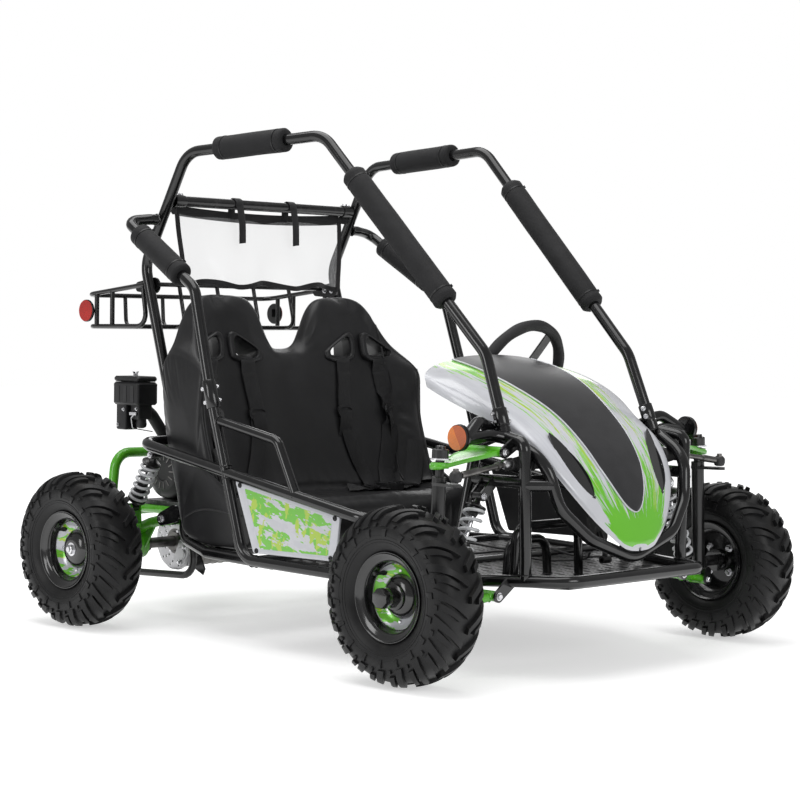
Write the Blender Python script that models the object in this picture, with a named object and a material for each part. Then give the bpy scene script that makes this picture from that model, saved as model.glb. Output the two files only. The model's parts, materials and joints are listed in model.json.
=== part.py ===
"""Two-seat off-road kart: welded tube frame, bolted roll cage, sprung axles and a rear engine.

Metres, +Z up. The kart faces -Y, its left side is +X, and the driver sits on the left.
The origin is on the floor under the middle of the kart.
"""
import math

import bmesh
import bpy
from mathutils import Matrix, Vector

# Overall layout
HALF_LENGTH = 0.754            # bumper face and rear hoop face, both from the origin
FRONT_AXLE_Y = -0.5725
REAR_AXLE_Y = 0.4975
REAR_WHEEL_X = 0.490
TYRE_RADIUS = 0.1775           # 14 inch tyre
TYRE_WIDTH = 0.122
RIM_RADIUS = 0.0885            # outer edge of the flange on a 6 inch rim
RIM_HALF = 0.0485              # half width of the rim over the flanges
AXLE_Z = TYRE_RADIUS
WHEEL_SEGMENTS = 16

# Stock and fits
CLEAR = 0.0003                 # gap between pieces that touch
TUBE = 0.0125                  # radius of the frame and cage tubes
FRAME_SIDES = 6
CAGE_SIDES = 8
FRAME_FLAT = TUBE * math.cos(math.pi / FRAME_SIDES)   # half width of a tube over its flats
CAGE_FLAT = TUBE * math.cos(math.pi / CAGE_SIDES)
THIN_TUBE = 0.0105             # arm rests, foot hoop, guards
PAD_RADIUS = 0.0275            # foam sleeves on the cage
PLATE = 0.005
PIN = 0.0055                   # pivot bolts
PIN_BORE = 0.0065

# Cage and cockpit
ROOF_Z = 1.126
HOOP_TOP_Z = 0.487             # nose guard hoop where the cage stands on it
PILLAR_PAD = (0.187166, 0.773262)   # ends of the pillar sleeve, as shares of the straight pillar
WAIST_X = 0.412                # waist rails and side panels
FLOOR_RAIL_Z = 0.185
RAIL_FRONT_Y = HALF_LENGTH - FRAME_FLAT

# Seat
SEAT_HALF = 0.360
SEAT_TOP = 0.765
SEAT_BASE_Z = 0.300
SEAT_BOTTOM_Z = FLOOR_RAIL_Z + FRAME_FLAT + CLEAR
SEAT_FRONT_Y = 0.060
SEAT_CENTRE_X = 0.222          # middle of each head rest
SEAT_BACK_Y = 0.3735           # back of the bench at the height of the waist rail
WAIST_REAR_Y = SEAT_BACK_Y + TUBE

# Front suspension; the two arms of a side are parallel and equally long
ARM_IN_X = 0.303
ARM_IN_Z = 0.164
ARM_RUN = 0.129                # pivot to pivot across
WHEEL_OUT = 0.083              # middle of the tyre beyond the kingpin's foot
FRONT_WHEEL_X = ARM_IN_X + ARM_RUN + WHEEL_OUT
ARM_DROP = 0.024               # outer pivot below the inner one
UPPER_IN_X = 0.291
UPPER_IN_Z = 0.452
TOWER_Y = -0.655               # front posts, ahead of the steering rack
ARM_HALF_Y = 0.052             # half length of the inner sleeves
KINGPIN_R = 0.009
KNUCKLE_R = 0.0145
LOWER_OUT_HALF = 0.022         # half length of the lower arm's outer sleeve
STEER_ARM_Z = 0.3915
SPINDLE_R = 0.010
FRONT_SHOCK_TOP = (0.306, 0.362)
FRONT_SHOCK_FOOT = (0.386, 0.176)

# Steering
RACK_Y = -0.6255
RACK_Z = 0.428
RACK_R = 0.008
RACK_END_X = 0.285
TIE_END_X = ARM_IN_X + ARM_RUN - 0.002
TIE_END_Z = 0.409
STEER_X = 0.170
STEER_CENTRE = Vector((STEER_X, -0.250, 0.585))
RACK_CENTRE = Vector((STEER_X, RACK_Y, RACK_Z))
STEER_REACH = (STEER_CENTRE - RACK_CENTRE).normalized()
STEER_FOOT = RACK_CENTRE + STEER_REACH * 0.040
STEER_R = 0.130
COLUMN_R = 0.009

# Pedals
PEDALS = (0.115, 0.230)        # brake, throttle
PEDAL_Y = -0.560
PEDAL_Z = 0.203
PEDAL_EAR = 0.016              # from the pedal's middle to each ear

# Rear axle, swing arm and drive
PIVOT_Y = 0.3775
PIVOT_Z = 0.247
PIVOT_X = 0.3315               # middle of each swing arm eye
REAR_SHOCK_X = 0.352
REAR_SHOCK_TOP = (0.401, 0.394)
REAR_SHOCK_FOOT = (0.477, 0.268)
AXLE_R = 0.0125
DISC_X = -0.208
DISC_R = 0.070
SPROCKET_X = 0.208
SPROCKET_R = 0.074
CLUTCH_R = 0.026
CRANK_Y = 0.622
CRANK_Z = 0.335
HOOP_X = 0.200
HOOP_Z = 0.375
REAR_FACE_Y = HALF_LENGTH - TUBE
ENGINE_Z = 0.261               # top of the engine plate

# Rack housing
HOUSING_R = 0.0135
BOOT_R = 0.0160
HOUSING_SIDES = 8
RACK_SADDLE_X = 0.090
RACK_SEAT_Z = RACK_Z - HOUSING_R * math.cos(math.pi / HOUSING_SIDES) - CLEAR
BOOT_START_X = 0.207
BOOT_END_X = 0.245

# Nose: centre line (y, z) and side edge (x, y, z), from the rear edge to the tip
NOSE_CENTRE = [(-0.322, 0.634), (-0.400, 0.616), (-0.488, 0.582), (-0.580, 0.528), (-0.650, 0.465),
               (-0.700, 0.395), (-0.730, 0.325), (-0.743, 0.280)]
NOSE_EDGE = [(0.245, -0.365, 0.580), (0.256, -0.425, 0.560), (0.245, -0.490, 0.533), (0.212, -0.556, 0.503),
             (0.200, -0.628, 0.462), (0.175, -0.683, 0.393), (0.120, -0.722, 0.318), (0.050, -0.741, 0.264)]
DASH_Z = 0.4865                # dash hoop where it passes under the nose
NOSE_ARCH = 2.3
NOSE_WALL = 0.003
NOSE_POST_Y = (-0.541, -0.720)
NOSE_POST_HALF = 0.007

# Springs
COIL_R = 0.0190
WIRE_R = 0.0034
EYE_BORE = 0.0056              # rubber-bushed shock eye on its pin
SHOCK_SEAT = 0.025             # from an eye to its spring seat
SHOCK_GRIP = 0.025             # how far the rod reaches into the body

BLACK = ("black_paint", (0.012, 0.012, 0.013), 0.28, 0.0)
GREEN = ("green_paint", (0.075, 0.42, 0.03), 0.30, 0.0)
RUBBER = ("tyre_rubber", (0.018, 0.018, 0.018), 0.75, 0.0)
FOAM = ("foam", (0.02, 0.02, 0.021), 0.85, 0.0)
VINYL = ("seat_vinyl", (0.022, 0.022, 0.023), 0.5, 0.0)
WHITE = ("white_plastic", (0.72, 0.73, 0.76), 0.22, 0.0)
GREY = ("grey_plastic", (0.045, 0.045, 0.048), 0.45, 0.0)
STEEL = ("bright_steel", (0.62, 0.62, 0.63), 0.28, 1.0)
SPRING = ("spring_paint", (0.66, 0.66, 0.67), 0.25, 0.3)
CAST = ("engine_black", (0.016, 0.016, 0.017), 0.5, 0.3)

X_AXIS = Vector((1, 0, 0))
Y_AXIS = Vector((0, 1, 0))
Z_AXIS = Vector((0, 0, 1))


def clear_scene():
    """Remove whatever the file starts with."""
    for item in list(bpy.data.objects):
        bpy.data.objects.remove(item, do_unlink=True)


def paint(spec):
    """One Principled material per finish."""
    name, colour, roughness, metallic = spec
    found = bpy.data.materials.get(name)
    if found:
        return found
    made = bpy.data.materials.new(name)
    made.use_nodes = True
    shader = made.node_tree.nodes["Principled BSDF"]
    shader.inputs["Base Color"].default_value = (*colour, 1.0)
    shader.inputs["Roughness"].default_value = roughness
    shader.inputs["Metallic"].default_value = metallic
    return made


def side_name(side):
    return "left" if side > 0 else "right"


def mirror_points(points, side):
    """Points written for the left side, moved to the side asked for."""
    return [Vector((p[0] * side, p[1], p[2])) for p in points]


def axis_frame(direction, reference=None):
    """Two unit vectors square to a direction."""
    t = direction.normalized()
    ref = reference or (Z_AXIS if abs(t.z) < 0.9 else X_AXIS)
    u = (ref - t * ref.dot(t)).normalized()
    return u, t.cross(u)


def fillet_path(points, bend, steps):
    """The corner points of a tube with each inner corner rounded by an arc."""
    pts = [Vector(p) for p in points]
    out = [pts[0]]
    for before, corner, after in zip(pts, pts[1:], pts[2:]):
        a, b = before - corner, after - corner
        half = a.angle(b) / 2
        room = 0.48 * min(a.length, b.length)
        cut = min(bend / math.tan(half), room)
        radius = cut * math.tan(half)
        centre = corner + (a.normalized() + b.normalized()).normalized() * (radius / math.sin(half))
        if half > math.pi / 2 - 0.002:
            out.append(corner)
            continue
        first = corner + a.normalized() * cut - centre
        last = corner + b.normalized() * cut - centre
        turn = first.angle(last)
        normal = first.cross(last).normalized()
        for k in range(steps + 1):
            out.append(centre + Matrix.Rotation(turn * k / steps, 3, normal) @ first)
    out.append(pts[-1])
    return out


def ring_directions(path):
    """The tangent at each point of a path, halved at its corners."""
    out = []
    for k in range(len(path)):
        ahead = path[min(k + 1, len(path) - 1)] - path[max(k, 0)] if k < len(path) - 1 else Vector()
        back = path[k] - path[k - 1] if k else Vector()
        out.append((ahead.normalized() + back.normalized()).normalized())
    return out


def sweep_rings(bm, path, radius, sides, reference=None):
    """Rings of vertices along a path, carried along without twist or set by a fixed reference."""
    tangents = ring_directions(path)
    u, v = axis_frame(tangents[0], reference)
    rings = []
    for k, (point, tangent) in enumerate(zip(path, tangents)):
        if reference is not None:
            u, v = axis_frame(tangent, reference)
        elif k:
            u = (u - tangent * u.dot(tangent)).normalized()
            v = tangent.cross(u)
        angles = [2 * math.pi * (j + 0.5) / sides for j in range(sides)]
        rings.append([bm.verts.new(point + (u * math.cos(a) + v * math.sin(a)) * radius) for a in angles])
    return rings


def bridge(bm, first, second):
    """Quads between two rings of the same count."""
    count = len(first)
    for j in range(count):
        n = (j + 1) % count
        bm.faces.new((first[j], first[n], second[n], second[j]))


def to_mesh(bm, name):
    """Finish a bmesh: outward faces and a mesh datablock."""
    bmesh.ops.recalc_face_normals(bm, faces=bm.faces)
    mesh = bpy.data.meshes.new(name)
    bm.to_mesh(mesh)
    bm.free()
    return mesh


def tube(points, radius=TUBE, bend=0.06, sides=FRAME_SIDES, steps=2, reference=None):
    """A bent round bar with flat ends."""
    bm = bmesh.new()
    path = fillet_path(points, bend, steps) if len(points) > 2 else [Vector(p) for p in points]
    rings = sweep_rings(bm, path, radius, sides, reference)
    for a, b in zip(rings, rings[1:]):
        bridge(bm, a, b)
    bm.faces.new(list(reversed(rings[0])))
    bm.faces.new(rings[-1])
    return to_mesh(bm, "tube")


def sleeve(points, bore, radius, sides=CAGE_SIDES, reference=None, bend=0.06, steps=3):
    """A hollow bar with an open bore from end to end."""
    bm = bmesh.new()
    path = fillet_path(points, bend, steps) if len(points) > 2 else [Vector(p) for p in points]
    outer = sweep_rings(bm, path, radius, sides, reference)
    inner = sweep_rings(bm, path, bore, sides, reference)
    for a, b in zip(outer, outer[1:]):
        bridge(bm, a, b)
    for a, b in zip(inner, inner[1:]):
        bridge(bm, b, a)
    bridge(bm, inner[0], outer[0])
    bridge(bm, outer[-1], inner[-1])
    return to_mesh(bm, "sleeve")


def stepped(centres, radii, sides=12, reference=None):
    """A turned bar: a radius at each centre point along a straight axis, solid to the middle."""
    bm = bmesh.new()
    pts = [Vector(c) for c in centres]
    axis = (pts[-1] - pts[0]).normalized()
    u, v = axis_frame(axis, reference)
    rings = []
    for point, radius in zip(pts, radii):
        angles = [2 * math.pi * (j + 0.5) / sides for j in range(sides)]
        rings.append([bm.verts.new(point + (u * math.cos(a) + v * math.sin(a)) * radius) for a in angles])
    for a, b in zip(rings, rings[1:]):
        bridge(bm, a, b)
    bm.faces.new(list(reversed(rings[0])))
    bm.faces.new(rings[-1])
    return to_mesh(bm, "stepped")


def lathe(profile, centre, side, segments):
    """Turn a closed (radius, offset) outline round the X axis; a zero radius closes on the axis."""
    bm = bmesh.new()
    columns = []
    for radius, offset in profile:
        x = centre[0] + side * offset
        if radius < 1e-6:
            columns.append([bm.verts.new((x, centre[1], centre[2]))])
            continue
        ring = []
        for j in range(segments):
            a = 2 * math.pi * (j + 0.5) / segments
            ring.append(bm.verts.new((x, centre[1] + radius * math.sin(a),
                                      centre[2] - radius * math.cos(a))))
        columns.append(ring)
    pairs = list(zip(columns, columns[1:]))
    if len(columns[0]) > 1:
        pairs.append((columns[-1], columns[0]))
    for a, b in pairs:
        for j in range(segments):
            n = (j + 1) % segments
            if len(a) == 1 and len(b) == 1:
                continue
            if len(a) == 1:
                bm.faces.new((a[0], b[n], b[j]))
            elif len(b) == 1:
                bm.faces.new((a[j], a[n], b[0]))
            else:
                bm.faces.new((a[j], a[n], b[n], b[j]))
    return to_mesh(bm, "lathe")


def prism(outline, axis, low, high):
    """An outline in the plane square to an axis, pulled from low to high along it."""
    bm = bmesh.new()

    def place(point, level):
        if axis == "X":
            return (level, point[0], point[1])
        if axis == "Y":
            return (point[0], level, point[1])
        return (point[0], point[1], level)

    first = [bm.verts.new(place(p, low)) for p in outline]
    second = [bm.verts.new(place(p, high)) for p in outline]
    bridge(bm, first, second)
    bm.faces.new(list(reversed(first)))
    bm.faces.new(second)
    return to_mesh(bm, "prism")


def block(low, high):
    """A plain rectangular bar between two corners."""
    outline = [(low[0], low[1]), (high[0], low[1]), (high[0], high[1]), (low[0], high[1])]
    return prism(outline, "Z", low[2], high[2])


def round_outline(a, b, radius_a, radius_b, steps=3):
    """The outline of a link plate: two round ends joined by straight sides."""
    a, b = Vector(a), Vector(b)
    along = (b - a).normalized()
    lean = math.asin((radius_a - radius_b) / (b - a).length)
    base = math.atan2(along.y, along.x)
    out = []
    for k in range(steps + 1):
        t = base + math.pi / 2 - lean + (math.pi + 2 * lean) * k / steps
        out.append((a.x + radius_a * math.cos(t), a.y + radius_a * math.sin(t)))
    for k in range(steps + 1):
        t = base - math.pi / 2 + lean + (math.pi - 2 * lean) * k / steps
        out.append((b.x + radius_b * math.cos(t), b.y + radius_b * math.sin(t)))
    return out


def scratch_object(mesh):
    item = bpy.data.objects.new("work", mesh)
    bpy.context.scene.collection.objects.link(item)
    return item


def boolean(base, tools, operation):
    """Join or cut meshes one after the other and return a clean mesh."""
    target = scratch_object(base)
    for mesh in tools:
        cutter = scratch_object(mesh)
        step = target.modifiers.new("step", "BOOLEAN")
        step.operation = operation
        step.solver = "EXACT"
        step.object = cutter
        bpy.context.view_layer.update()
        graph = bpy.context.evaluated_depsgraph_get()
        made = bpy.data.meshes.new_from_object(target.evaluated_get(graph))
        target.modifiers.clear()
        target.data = made
        bpy.data.objects.remove(cutter, do_unlink=True)
    mesh = target.data
    bpy.data.objects.remove(target, do_unlink=True)
    bm = bmesh.new()
    bm.from_mesh(mesh)
    bmesh.ops.remove_doubles(bm, verts=bm.verts, dist=0.0001)
    bmesh.ops.dissolve_limit(bm, angle_limit=0.01, verts=bm.verts, edges=bm.edges)
    bmesh.ops.triangulate(bm, faces=bm.faces, quad_method="BEAUTY", ngon_method="BEAUTY")
    bm.to_mesh(mesh)
    bm.free()
    return mesh


def fuse(meshes):
    return boolean(meshes[0], meshes[1:], "UNION")


def cut(mesh, tools):
    return boolean(mesh, tools, "DIFFERENCE")


def add_piece(name, mesh, spec, pivot=(0, 0, 0), smooth=61):
    """Make a named object whose origin is its pivot."""
    pivot = Vector(pivot)
    mesh.transform(Matrix.Translation(-pivot))
    mesh.name = name
    mesh.materials.clear()
    mesh.materials.append(paint(spec))
    mesh.shade_smooth()
    mesh.set_sharp_from_angle(angle=math.radians(smooth))
    item = bpy.data.objects.new(name, mesh)
    item.location = pivot
    bpy.context.scene.collection.objects.link(item)
    return item


def upright_point(z):
    """A point on the line of the side upright and shoulder bar, which lean back together."""
    slope = 0.322
    return Vector((WAIST_X, 0.0775 + slope * (z - 0.375), z))


def waist_z(y):
    """Height of the waist rail, which drops towards the front."""
    return 0.375 + 0.166 * (y - 0.0775)


def rail_point(y):
    """The middle of the floor rail where it runs in towards the nose."""
    for a, b in zip(RAIL, RAIL[1:]):
        if b[1] <= y <= a[1]:
            return Vector(a).lerp(Vector(b), (y - a[1]) / (b[1] - a[1]))
    return Vector(RAIL[-1])


def mirrored(mesh, side):
    """A mesh written for the left side, turned over for the right one."""
    if side < 0:
        mesh.transform(Matrix.Scale(-1, 4, X_AXIS))
        mesh.flip_normals()
    return mesh


def upper_in(side):
    return Vector((UPPER_IN_X * side, FRONT_AXLE_Y, UPPER_IN_Z))


def upper_out(side):
    return Vector(((UPPER_IN_X + ARM_RUN) * side, FRONT_AXLE_Y, UPPER_IN_Z - ARM_DROP))


def lower_in(side):
    return Vector((ARM_IN_X * side, FRONT_AXLE_Y, ARM_IN_Z))


def lower_out(side):
    return Vector(((ARM_IN_X + ARM_RUN) * side, FRONT_AXLE_Y, ARM_IN_Z - ARM_DROP))


def kingpin_at(side, z):
    """The point of the steering axis at a height."""
    a, b = lower_out(side), upper_out(side)
    return a.lerp(b, (z - a.z) / (b.z - a.z))


CAGE = [
    (0.240, -0.5775, HOOP_TOP_Z + TUBE - 0.002), (0.232, -0.5185, 0.646), (0.259, -0.0555, ROOF_Z - TUBE),
    (0.296, 0.3635, 1.092), (0.302, 0.505, 0.835), (0.302, 0.388, 0.4565),
]
CAGE_BENDS = 0.07
SHOULDER = [(0.2996 + CAGE_FLAT + 2 * CLEAR, 0.4485, 0.938), (0.335, 0.4485, 0.938), (0.392, 0.4620, 0.932),
            (0.402, 0.2050, 0.778), (WAIST_X, 0.1354, 0.5543)]
RAIL = [(0.400, -0.310, 0.182), (0.302, -0.5475, 0.190), (0.215, -RAIL_FRONT_Y, 0.196)]
LAMP_Z = 0.481
LAMP_R = 0.027
GUARD = [
    (0.366, -0.5775, 0.476), (0.240, -0.5775, HOOP_TOP_Z), (0.226, -0.683, 0.431), (0.206, -0.700, 0.340),
    (0.135, -0.7235, 0.275), (0.0, -0.7255, 0.228),
]


def main_frame():
    """Floor perimeter, waist rails, uprights, seat tubes and pivot plates, welded into one."""
    parts = []
    low = FLOOR_RAIL_Z
    perimeter = [tuple(upright_point(0.5535)), (WAIST_X, 0.0205, 0.190)] + RAIL
    around = mirror_points(perimeter, 1) + list(reversed(mirror_points(perimeter, -1)))
    parts.append(tube(around, bend=0.05, steps=2))
    waist = [(0.300, -0.452, 0.292), (WAIST_X, -0.345, waist_z(-0.345)), (WAIST_X, WAIST_REAR_Y, waist_z(WAIST_REAR_Y))]
    parts.append(tube(mirror_points(waist, 1) + list(reversed(mirror_points(waist, -1))), bend=0.05))
    for side in (1, -1):
        rear = [
            (0.398, -0.06, low), (0.362, 0.200, low), (0.330, 0.322, 0.205), (0.306, 0.338, 0.290),
            (0.302, 0.3875, 0.4560),
        ]
        parts.append(tube(mirror_points(rear, side), bend=0.05, steps=2))
        rest = [
            tuple(upright_point(0.489)), (WAIST_X, -0.087, 0.452), (WAIST_X, -0.148, waist_z(-0.148)),
        ]
        parts.append(tube(mirror_points(rest, side), radius=THIN_TUBE, bend=0.03, steps=2))
        front_leg = [(0.300, -0.452, 0.300), (0.300, -0.470, 0.186)]
        parts.append(tube(mirror_points(front_leg, side)))
        for x in (PIVOT_X - 0.0163, PIVOT_X + 0.0163):
            plate = prism(round_outline((0.334, 0.262), (PIVOT_Y, PIVOT_Z), 0.020, 0.0155), "X",
                          x * side - PLATE / 2, x * side + PLATE / 2)
            parts.append(plate)
        stub = [(0.302 * side, 0.330, 0.262), ((PIVOT_X + 0.0188) * side, 0.330, 0.262)]
        parts.append(tube(stub, radius=0.010))
        pin = [((PIVOT_X + reach) * side, PIVOT_Y, PIVOT_Z) for reach in (-0.021, 0.024)]
        parts.append(tube(pin, radius=PIN, sides=6))
        ty, tz = REAR_SHOCK_TOP
        for offset in (-0.0125, 0.0125):
            x = (REAR_SHOCK_X + offset) * side
            outline = round_outline((WAIST_REAR_Y + 0.002, waist_z(WAIST_REAR_Y)), (ty, tz), 0.010, 0.0095)
            parts.append(prism(outline, "X", x - 0.002, x + 0.002))
        pin = [((REAR_SHOCK_X + reach) * side, ty, tz) for reach in (-0.018, 0.018)]
        parts.append(tube(pin, radius=0.0042, sides=6))
        for y in (FRONT_AXLE_Y - ARM_HALF_Y - CLEAR - 0.0025, FRONT_AXLE_Y + ARM_HALF_Y + CLEAR + 0.0025):
            rail = rail_point(y)
            outline = round_outline((rail.x, rail.z - 0.002), (ARM_IN_X, ARM_IN_Z), 0.014, 0.0125)
            parts.append(mirrored(prism(outline, "Y", y - 0.0025, y + 0.0025), side))
        ends = [FRONT_AXLE_Y - ARM_HALF_Y - 0.0095, FRONT_AXLE_Y + ARM_HALF_Y + 0.0095]
        parts.append(tube([(ARM_IN_X * side, y, ARM_IN_Z) for y in ends], radius=PIN, sides=6))
    for y, x in ((0.0, 0.405), (-0.310, 0.400), (0.200, 0.362)):
        parts.append(tube([(-x, y, low), (x, y, low)]))
    parts.append(tube([(-0.318, 0.326, 0.222), (0.318, 0.326, 0.222)]))
    for hoop_y, inner, outer, top in ((-0.600, 0.022, 0.228, 0.297), (-0.548, 0.062, 0.190, 0.262)):
        hoop = [(-outer, hoop_y, low - 0.002), (-outer + 0.006, hoop_y, top), (-inner - 0.006, hoop_y, top),
                (-inner, hoop_y, low - 0.002)]
        parts.append(tube(hoop, radius=0.0095, bend=0.035, sides=6, steps=2))
    for pedal_x in PEDALS:
        for offset in (-PEDAL_EAR, PEDAL_EAR):
            ear = prism(round_outline((PEDAL_Y, low), (PEDAL_Y, PEDAL_Z), 0.012, 0.0085), "X",
                        pedal_x + offset - 0.002, pedal_x + offset + 0.002)
            parts.append(ear)
        reach = PEDAL_EAR + 0.005
        pin = [(pedal_x - reach, PEDAL_Y, PEDAL_Z), (pedal_x + reach, PEDAL_Y, PEDAL_Z)]
        parts.append(tube(pin, radius=0.004, sides=6))
    tray = [(0.408, 0.0), (0.398, -0.310), (0.300, -0.5475), (0.2165, -0.7385)]
    outline = tray + [(-x, y) for x, y in reversed(tray)]
    parts.append(prism(outline, "Z", low - 0.004, low))
    mesh = fuse(parts)
    return add_piece("main_frame", mesh, BLACK)


def front_frame():
    """Suspension towers, nose guard hoop, dash hoop and pillar sockets above the floor rails."""
    parts = []
    hoop = mirror_points(GUARD, 1) + list(reversed(mirror_points(GUARD[:-1], -1)))
    parts.append(tube(hoop, bend=0.055, steps=2))
    dash = [(0.350, -0.5775, 0.480), (0.296, -0.560, 0.512), (0.228, -0.545, DASH_Z)]
    parts.append(tube(mirror_points(dash, 1) + list(reversed(mirror_points(dash, -1))), bend=0.03, steps=2))
    for side in (1, -1):
        rear_rail, front_rail = rail_point(-0.520), rail_point(TOWER_Y)
        seat = TUBE + 2 * CLEAR
        rear_post = [(rear_rail.x, -0.520, rear_rail.z + seat), (rear_rail.x, -0.520, 0.235),
                     (0.262, -0.526, 0.4640), (0.262, -0.572, 0.4800)]
        front_post = [(front_rail.x, TOWER_Y, front_rail.z + seat), (front_rail.x, TOWER_Y, 0.235),
                      (0.262, TOWER_Y, 0.4700), (0.250, -0.597, 0.4800)]
        for post in (rear_post, front_post):
            parts.append(tube(mirror_points(post, side), bend=0.02, steps=1))
        parts.append(tube(mirror_points([(0.260, TOWER_Y, 0.386), (0.2165, -0.692, 0.386)], side)))
        parts.append(tube(mirror_points([(0.262, TOWER_Y, 0.392), (0.275, -0.522, 0.392)], side)))
        for y in (FRONT_AXLE_Y - ARM_HALF_Y - CLEAR - 0.0025, FRONT_AXLE_Y + ARM_HALF_Y + CLEAR + 0.0025):
            outline = round_outline((0.262, 0.468), (UPPER_IN_X, UPPER_IN_Z), 0.0135, 0.0125)
            parts.append(mirrored(prism(outline, "Y", y - 0.0025, y + 0.0025), side))
        ends = [FRONT_AXLE_Y - ARM_HALF_Y - 0.0095, FRONT_AXLE_Y + ARM_HALF_Y + 0.0095]
        parts.append(tube([(UPPER_IN_X * side, y, UPPER_IN_Z) for y in ends], radius=PIN, sides=6))
        tx, tz = FRONT_SHOCK_TOP
        for y in (FRONT_AXLE_Y - 0.0125, FRONT_AXLE_Y + 0.0125):
            outline = round_outline((0.272, 0.392), (tx, tz), 0.011, 0.0105)
            parts.append(mirrored(prism(outline, "Y", y - 0.002, y + 0.002), side))
        pin = [(tx * side, FRONT_AXLE_Y - 0.018, tz), (tx * side, FRONT_AXLE_Y + 0.018, tz)]
        parts.append(tube(pin, radius=0.0042, sides=6))
        foot_point, next_point = Vector(CAGE[0]), Vector(CAGE[1])
        lean = (next_point - foot_point).normalized()
        start = foot_point - lean * 0.018
        parts.append(tube(mirror_points([start, foot_point - lean * CLEAR], side), radius=TUBE + 0.002))
        lamp = Vector((0.3655 * side, GUARD[0][1], LAMP_Z))
        parts.append(stepped([lamp, lamp + Vector((0.0045 * side, 0, 0))], [LAMP_R, LAMP_R], sides=12))
    brace = [(0.262, -0.622, 0.392), (-0.262, -0.622, 0.392)]
    parts.append(tube(brace, radius=THIN_TUBE))
    for x in (-RACK_SADDLE_X, RACK_SADDLE_X):
        parts.append(block((x - 0.012, RACK_Y - 0.010, 0.392), (x + 0.012, RACK_Y + 0.010, RACK_SEAT_Z)))
    hang_y = -0.541
    hang_z = RACK_Z + (hang_y - RACK_Y) * STEER_REACH.z / STEER_REACH.y
    outline = round_outline((STEER_X, DASH_Z), (STEER_X, hang_z), 0.012, 0.0185)
    parts.append(prism(outline, "Y", hang_y - 0.006, hang_y + 0.006))
    for y in NOSE_POST_Y:
        top = [nose_under(y - NOSE_POST_HALF), nose_under(y + NOSE_POST_HALF)]
        base = DASH_Z if y > -0.65 else 0.232
        outline = [(y - NOSE_POST_HALF, base), (y + NOSE_POST_HALF, base), (y + NOSE_POST_HALF, top[1]),
                   (y - NOSE_POST_HALF, top[0])]
        parts.append(prism(outline, "X", -0.010, 0.010))
    mesh = fuse(parts)
    bore = tube([STEER_FOOT, STEER_CENTRE], radius=COLUMN_R + 0.0008, sides=12)
    mesh = cut(mesh, [bore])
    return add_piece("front_frame", mesh, BLACK)


def nose_point(row, t):
    """A point of the nose's outer face: row of the outline, t from -1 to 1 across."""
    cy, cz = NOSE_CENTRE[row]
    ex, ey, ez = NOSE_EDGE[row]
    lift = (1 - abs(t) ** NOSE_ARCH) ** (1 / NOSE_ARCH)
    return Vector((ex * t, ey + (cy - ey) * lift, ez + (cz - ez) * lift))


def nose_under(y):
    """Height of the middle of the nose's inner face, less the fitting gap."""
    drop = NOSE_WALL + 2 * CLEAR
    for (y0, z0), (y1, z1) in zip(NOSE_CENTRE, NOSE_CENTRE[1:]):
        if y1 <= y <= y0:
            slope = math.atan2(z0 - z1, y0 - y1)
            return z0 + (z1 - z0) * (y - y0) / (y1 - y0) - drop / math.cos(slope) - CLEAR
    raise ValueError(y)


def shell(grid, low, high, name):
    """A closed sheet between two offsets of a grid of points, measured along its own normals."""
    rows, cols = len(grid), len(grid[0])
    bm = bmesh.new()
    layers = []
    for offset in (high, low):
        layer = []
        for r in range(rows):
            line = []
            for c in range(cols):
                down = grid[min(r + 1, rows - 1)][c] - grid[max(r - 1, 0)][c]
                across = grid[r][min(c + 1, cols - 1)] - grid[r][max(c - 1, 0)]
                line.append(bm.verts.new(grid[r][c] + down.cross(across).normalized() * offset))
            layer.append(line)
        layers.append(layer)
    top, under = layers
    for r in range(rows - 1):
        for c in range(cols - 1):
            bm.faces.new((top[r][c], top[r][c + 1], top[r + 1][c + 1], top[r + 1][c]))
            bm.faces.new((under[r][c], under[r + 1][c], under[r + 1][c + 1], under[r][c + 1]))
    rim = [(0, c) for c in range(cols)] + [(r, cols - 1) for r in range(1, rows)]
    rim += [(rows - 1, c) for c in range(cols - 2, -1, -1)] + [(r, 0) for r in range(rows - 2, 0, -1)]
    for k, (r, c) in enumerate(rim):
        nr, nc = rim[(k + 1) % len(rim)]
        bm.faces.new((top[r][c], under[r][c], under[nr][nc], top[nr][nc]))
    return to_mesh(bm, name)


def nose_grid(rows, spans):
    """Points of the nose's outer face over some rows, with a half width of t for each."""
    steps = 5
    shares = [math.sin(math.pi / 2 * k / steps) for k in range(-steps, steps + 1)]
    return [[nose_point(row, span * share) for share in shares] for row, span in zip(rows, spans)]


def nose_cone():
    rows = list(range(len(NOSE_EDGE)))
    mesh = shell(nose_grid(rows, [1.0] * len(rows)), -NOSE_WALL, 0.0, "nose_cone")
    add_piece("nose_cone", mesh, WHITE, smooth=60)


def nose_centre_panel():
    """The grey moulding that lies over the crown of the nose and narrows to a point in front."""
    rows = list(range(len(NOSE_EDGE) - 1))
    spans = [0.52, 0.50, 0.47, 0.43, 0.38, 0.30, 0.12]
    mesh = shell(nose_grid(rows, spans), CLEAR, NOSE_WALL + CLEAR, "nose_panel")
    add_piece("nose_centre_panel", mesh, GREY, smooth=60)


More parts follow.
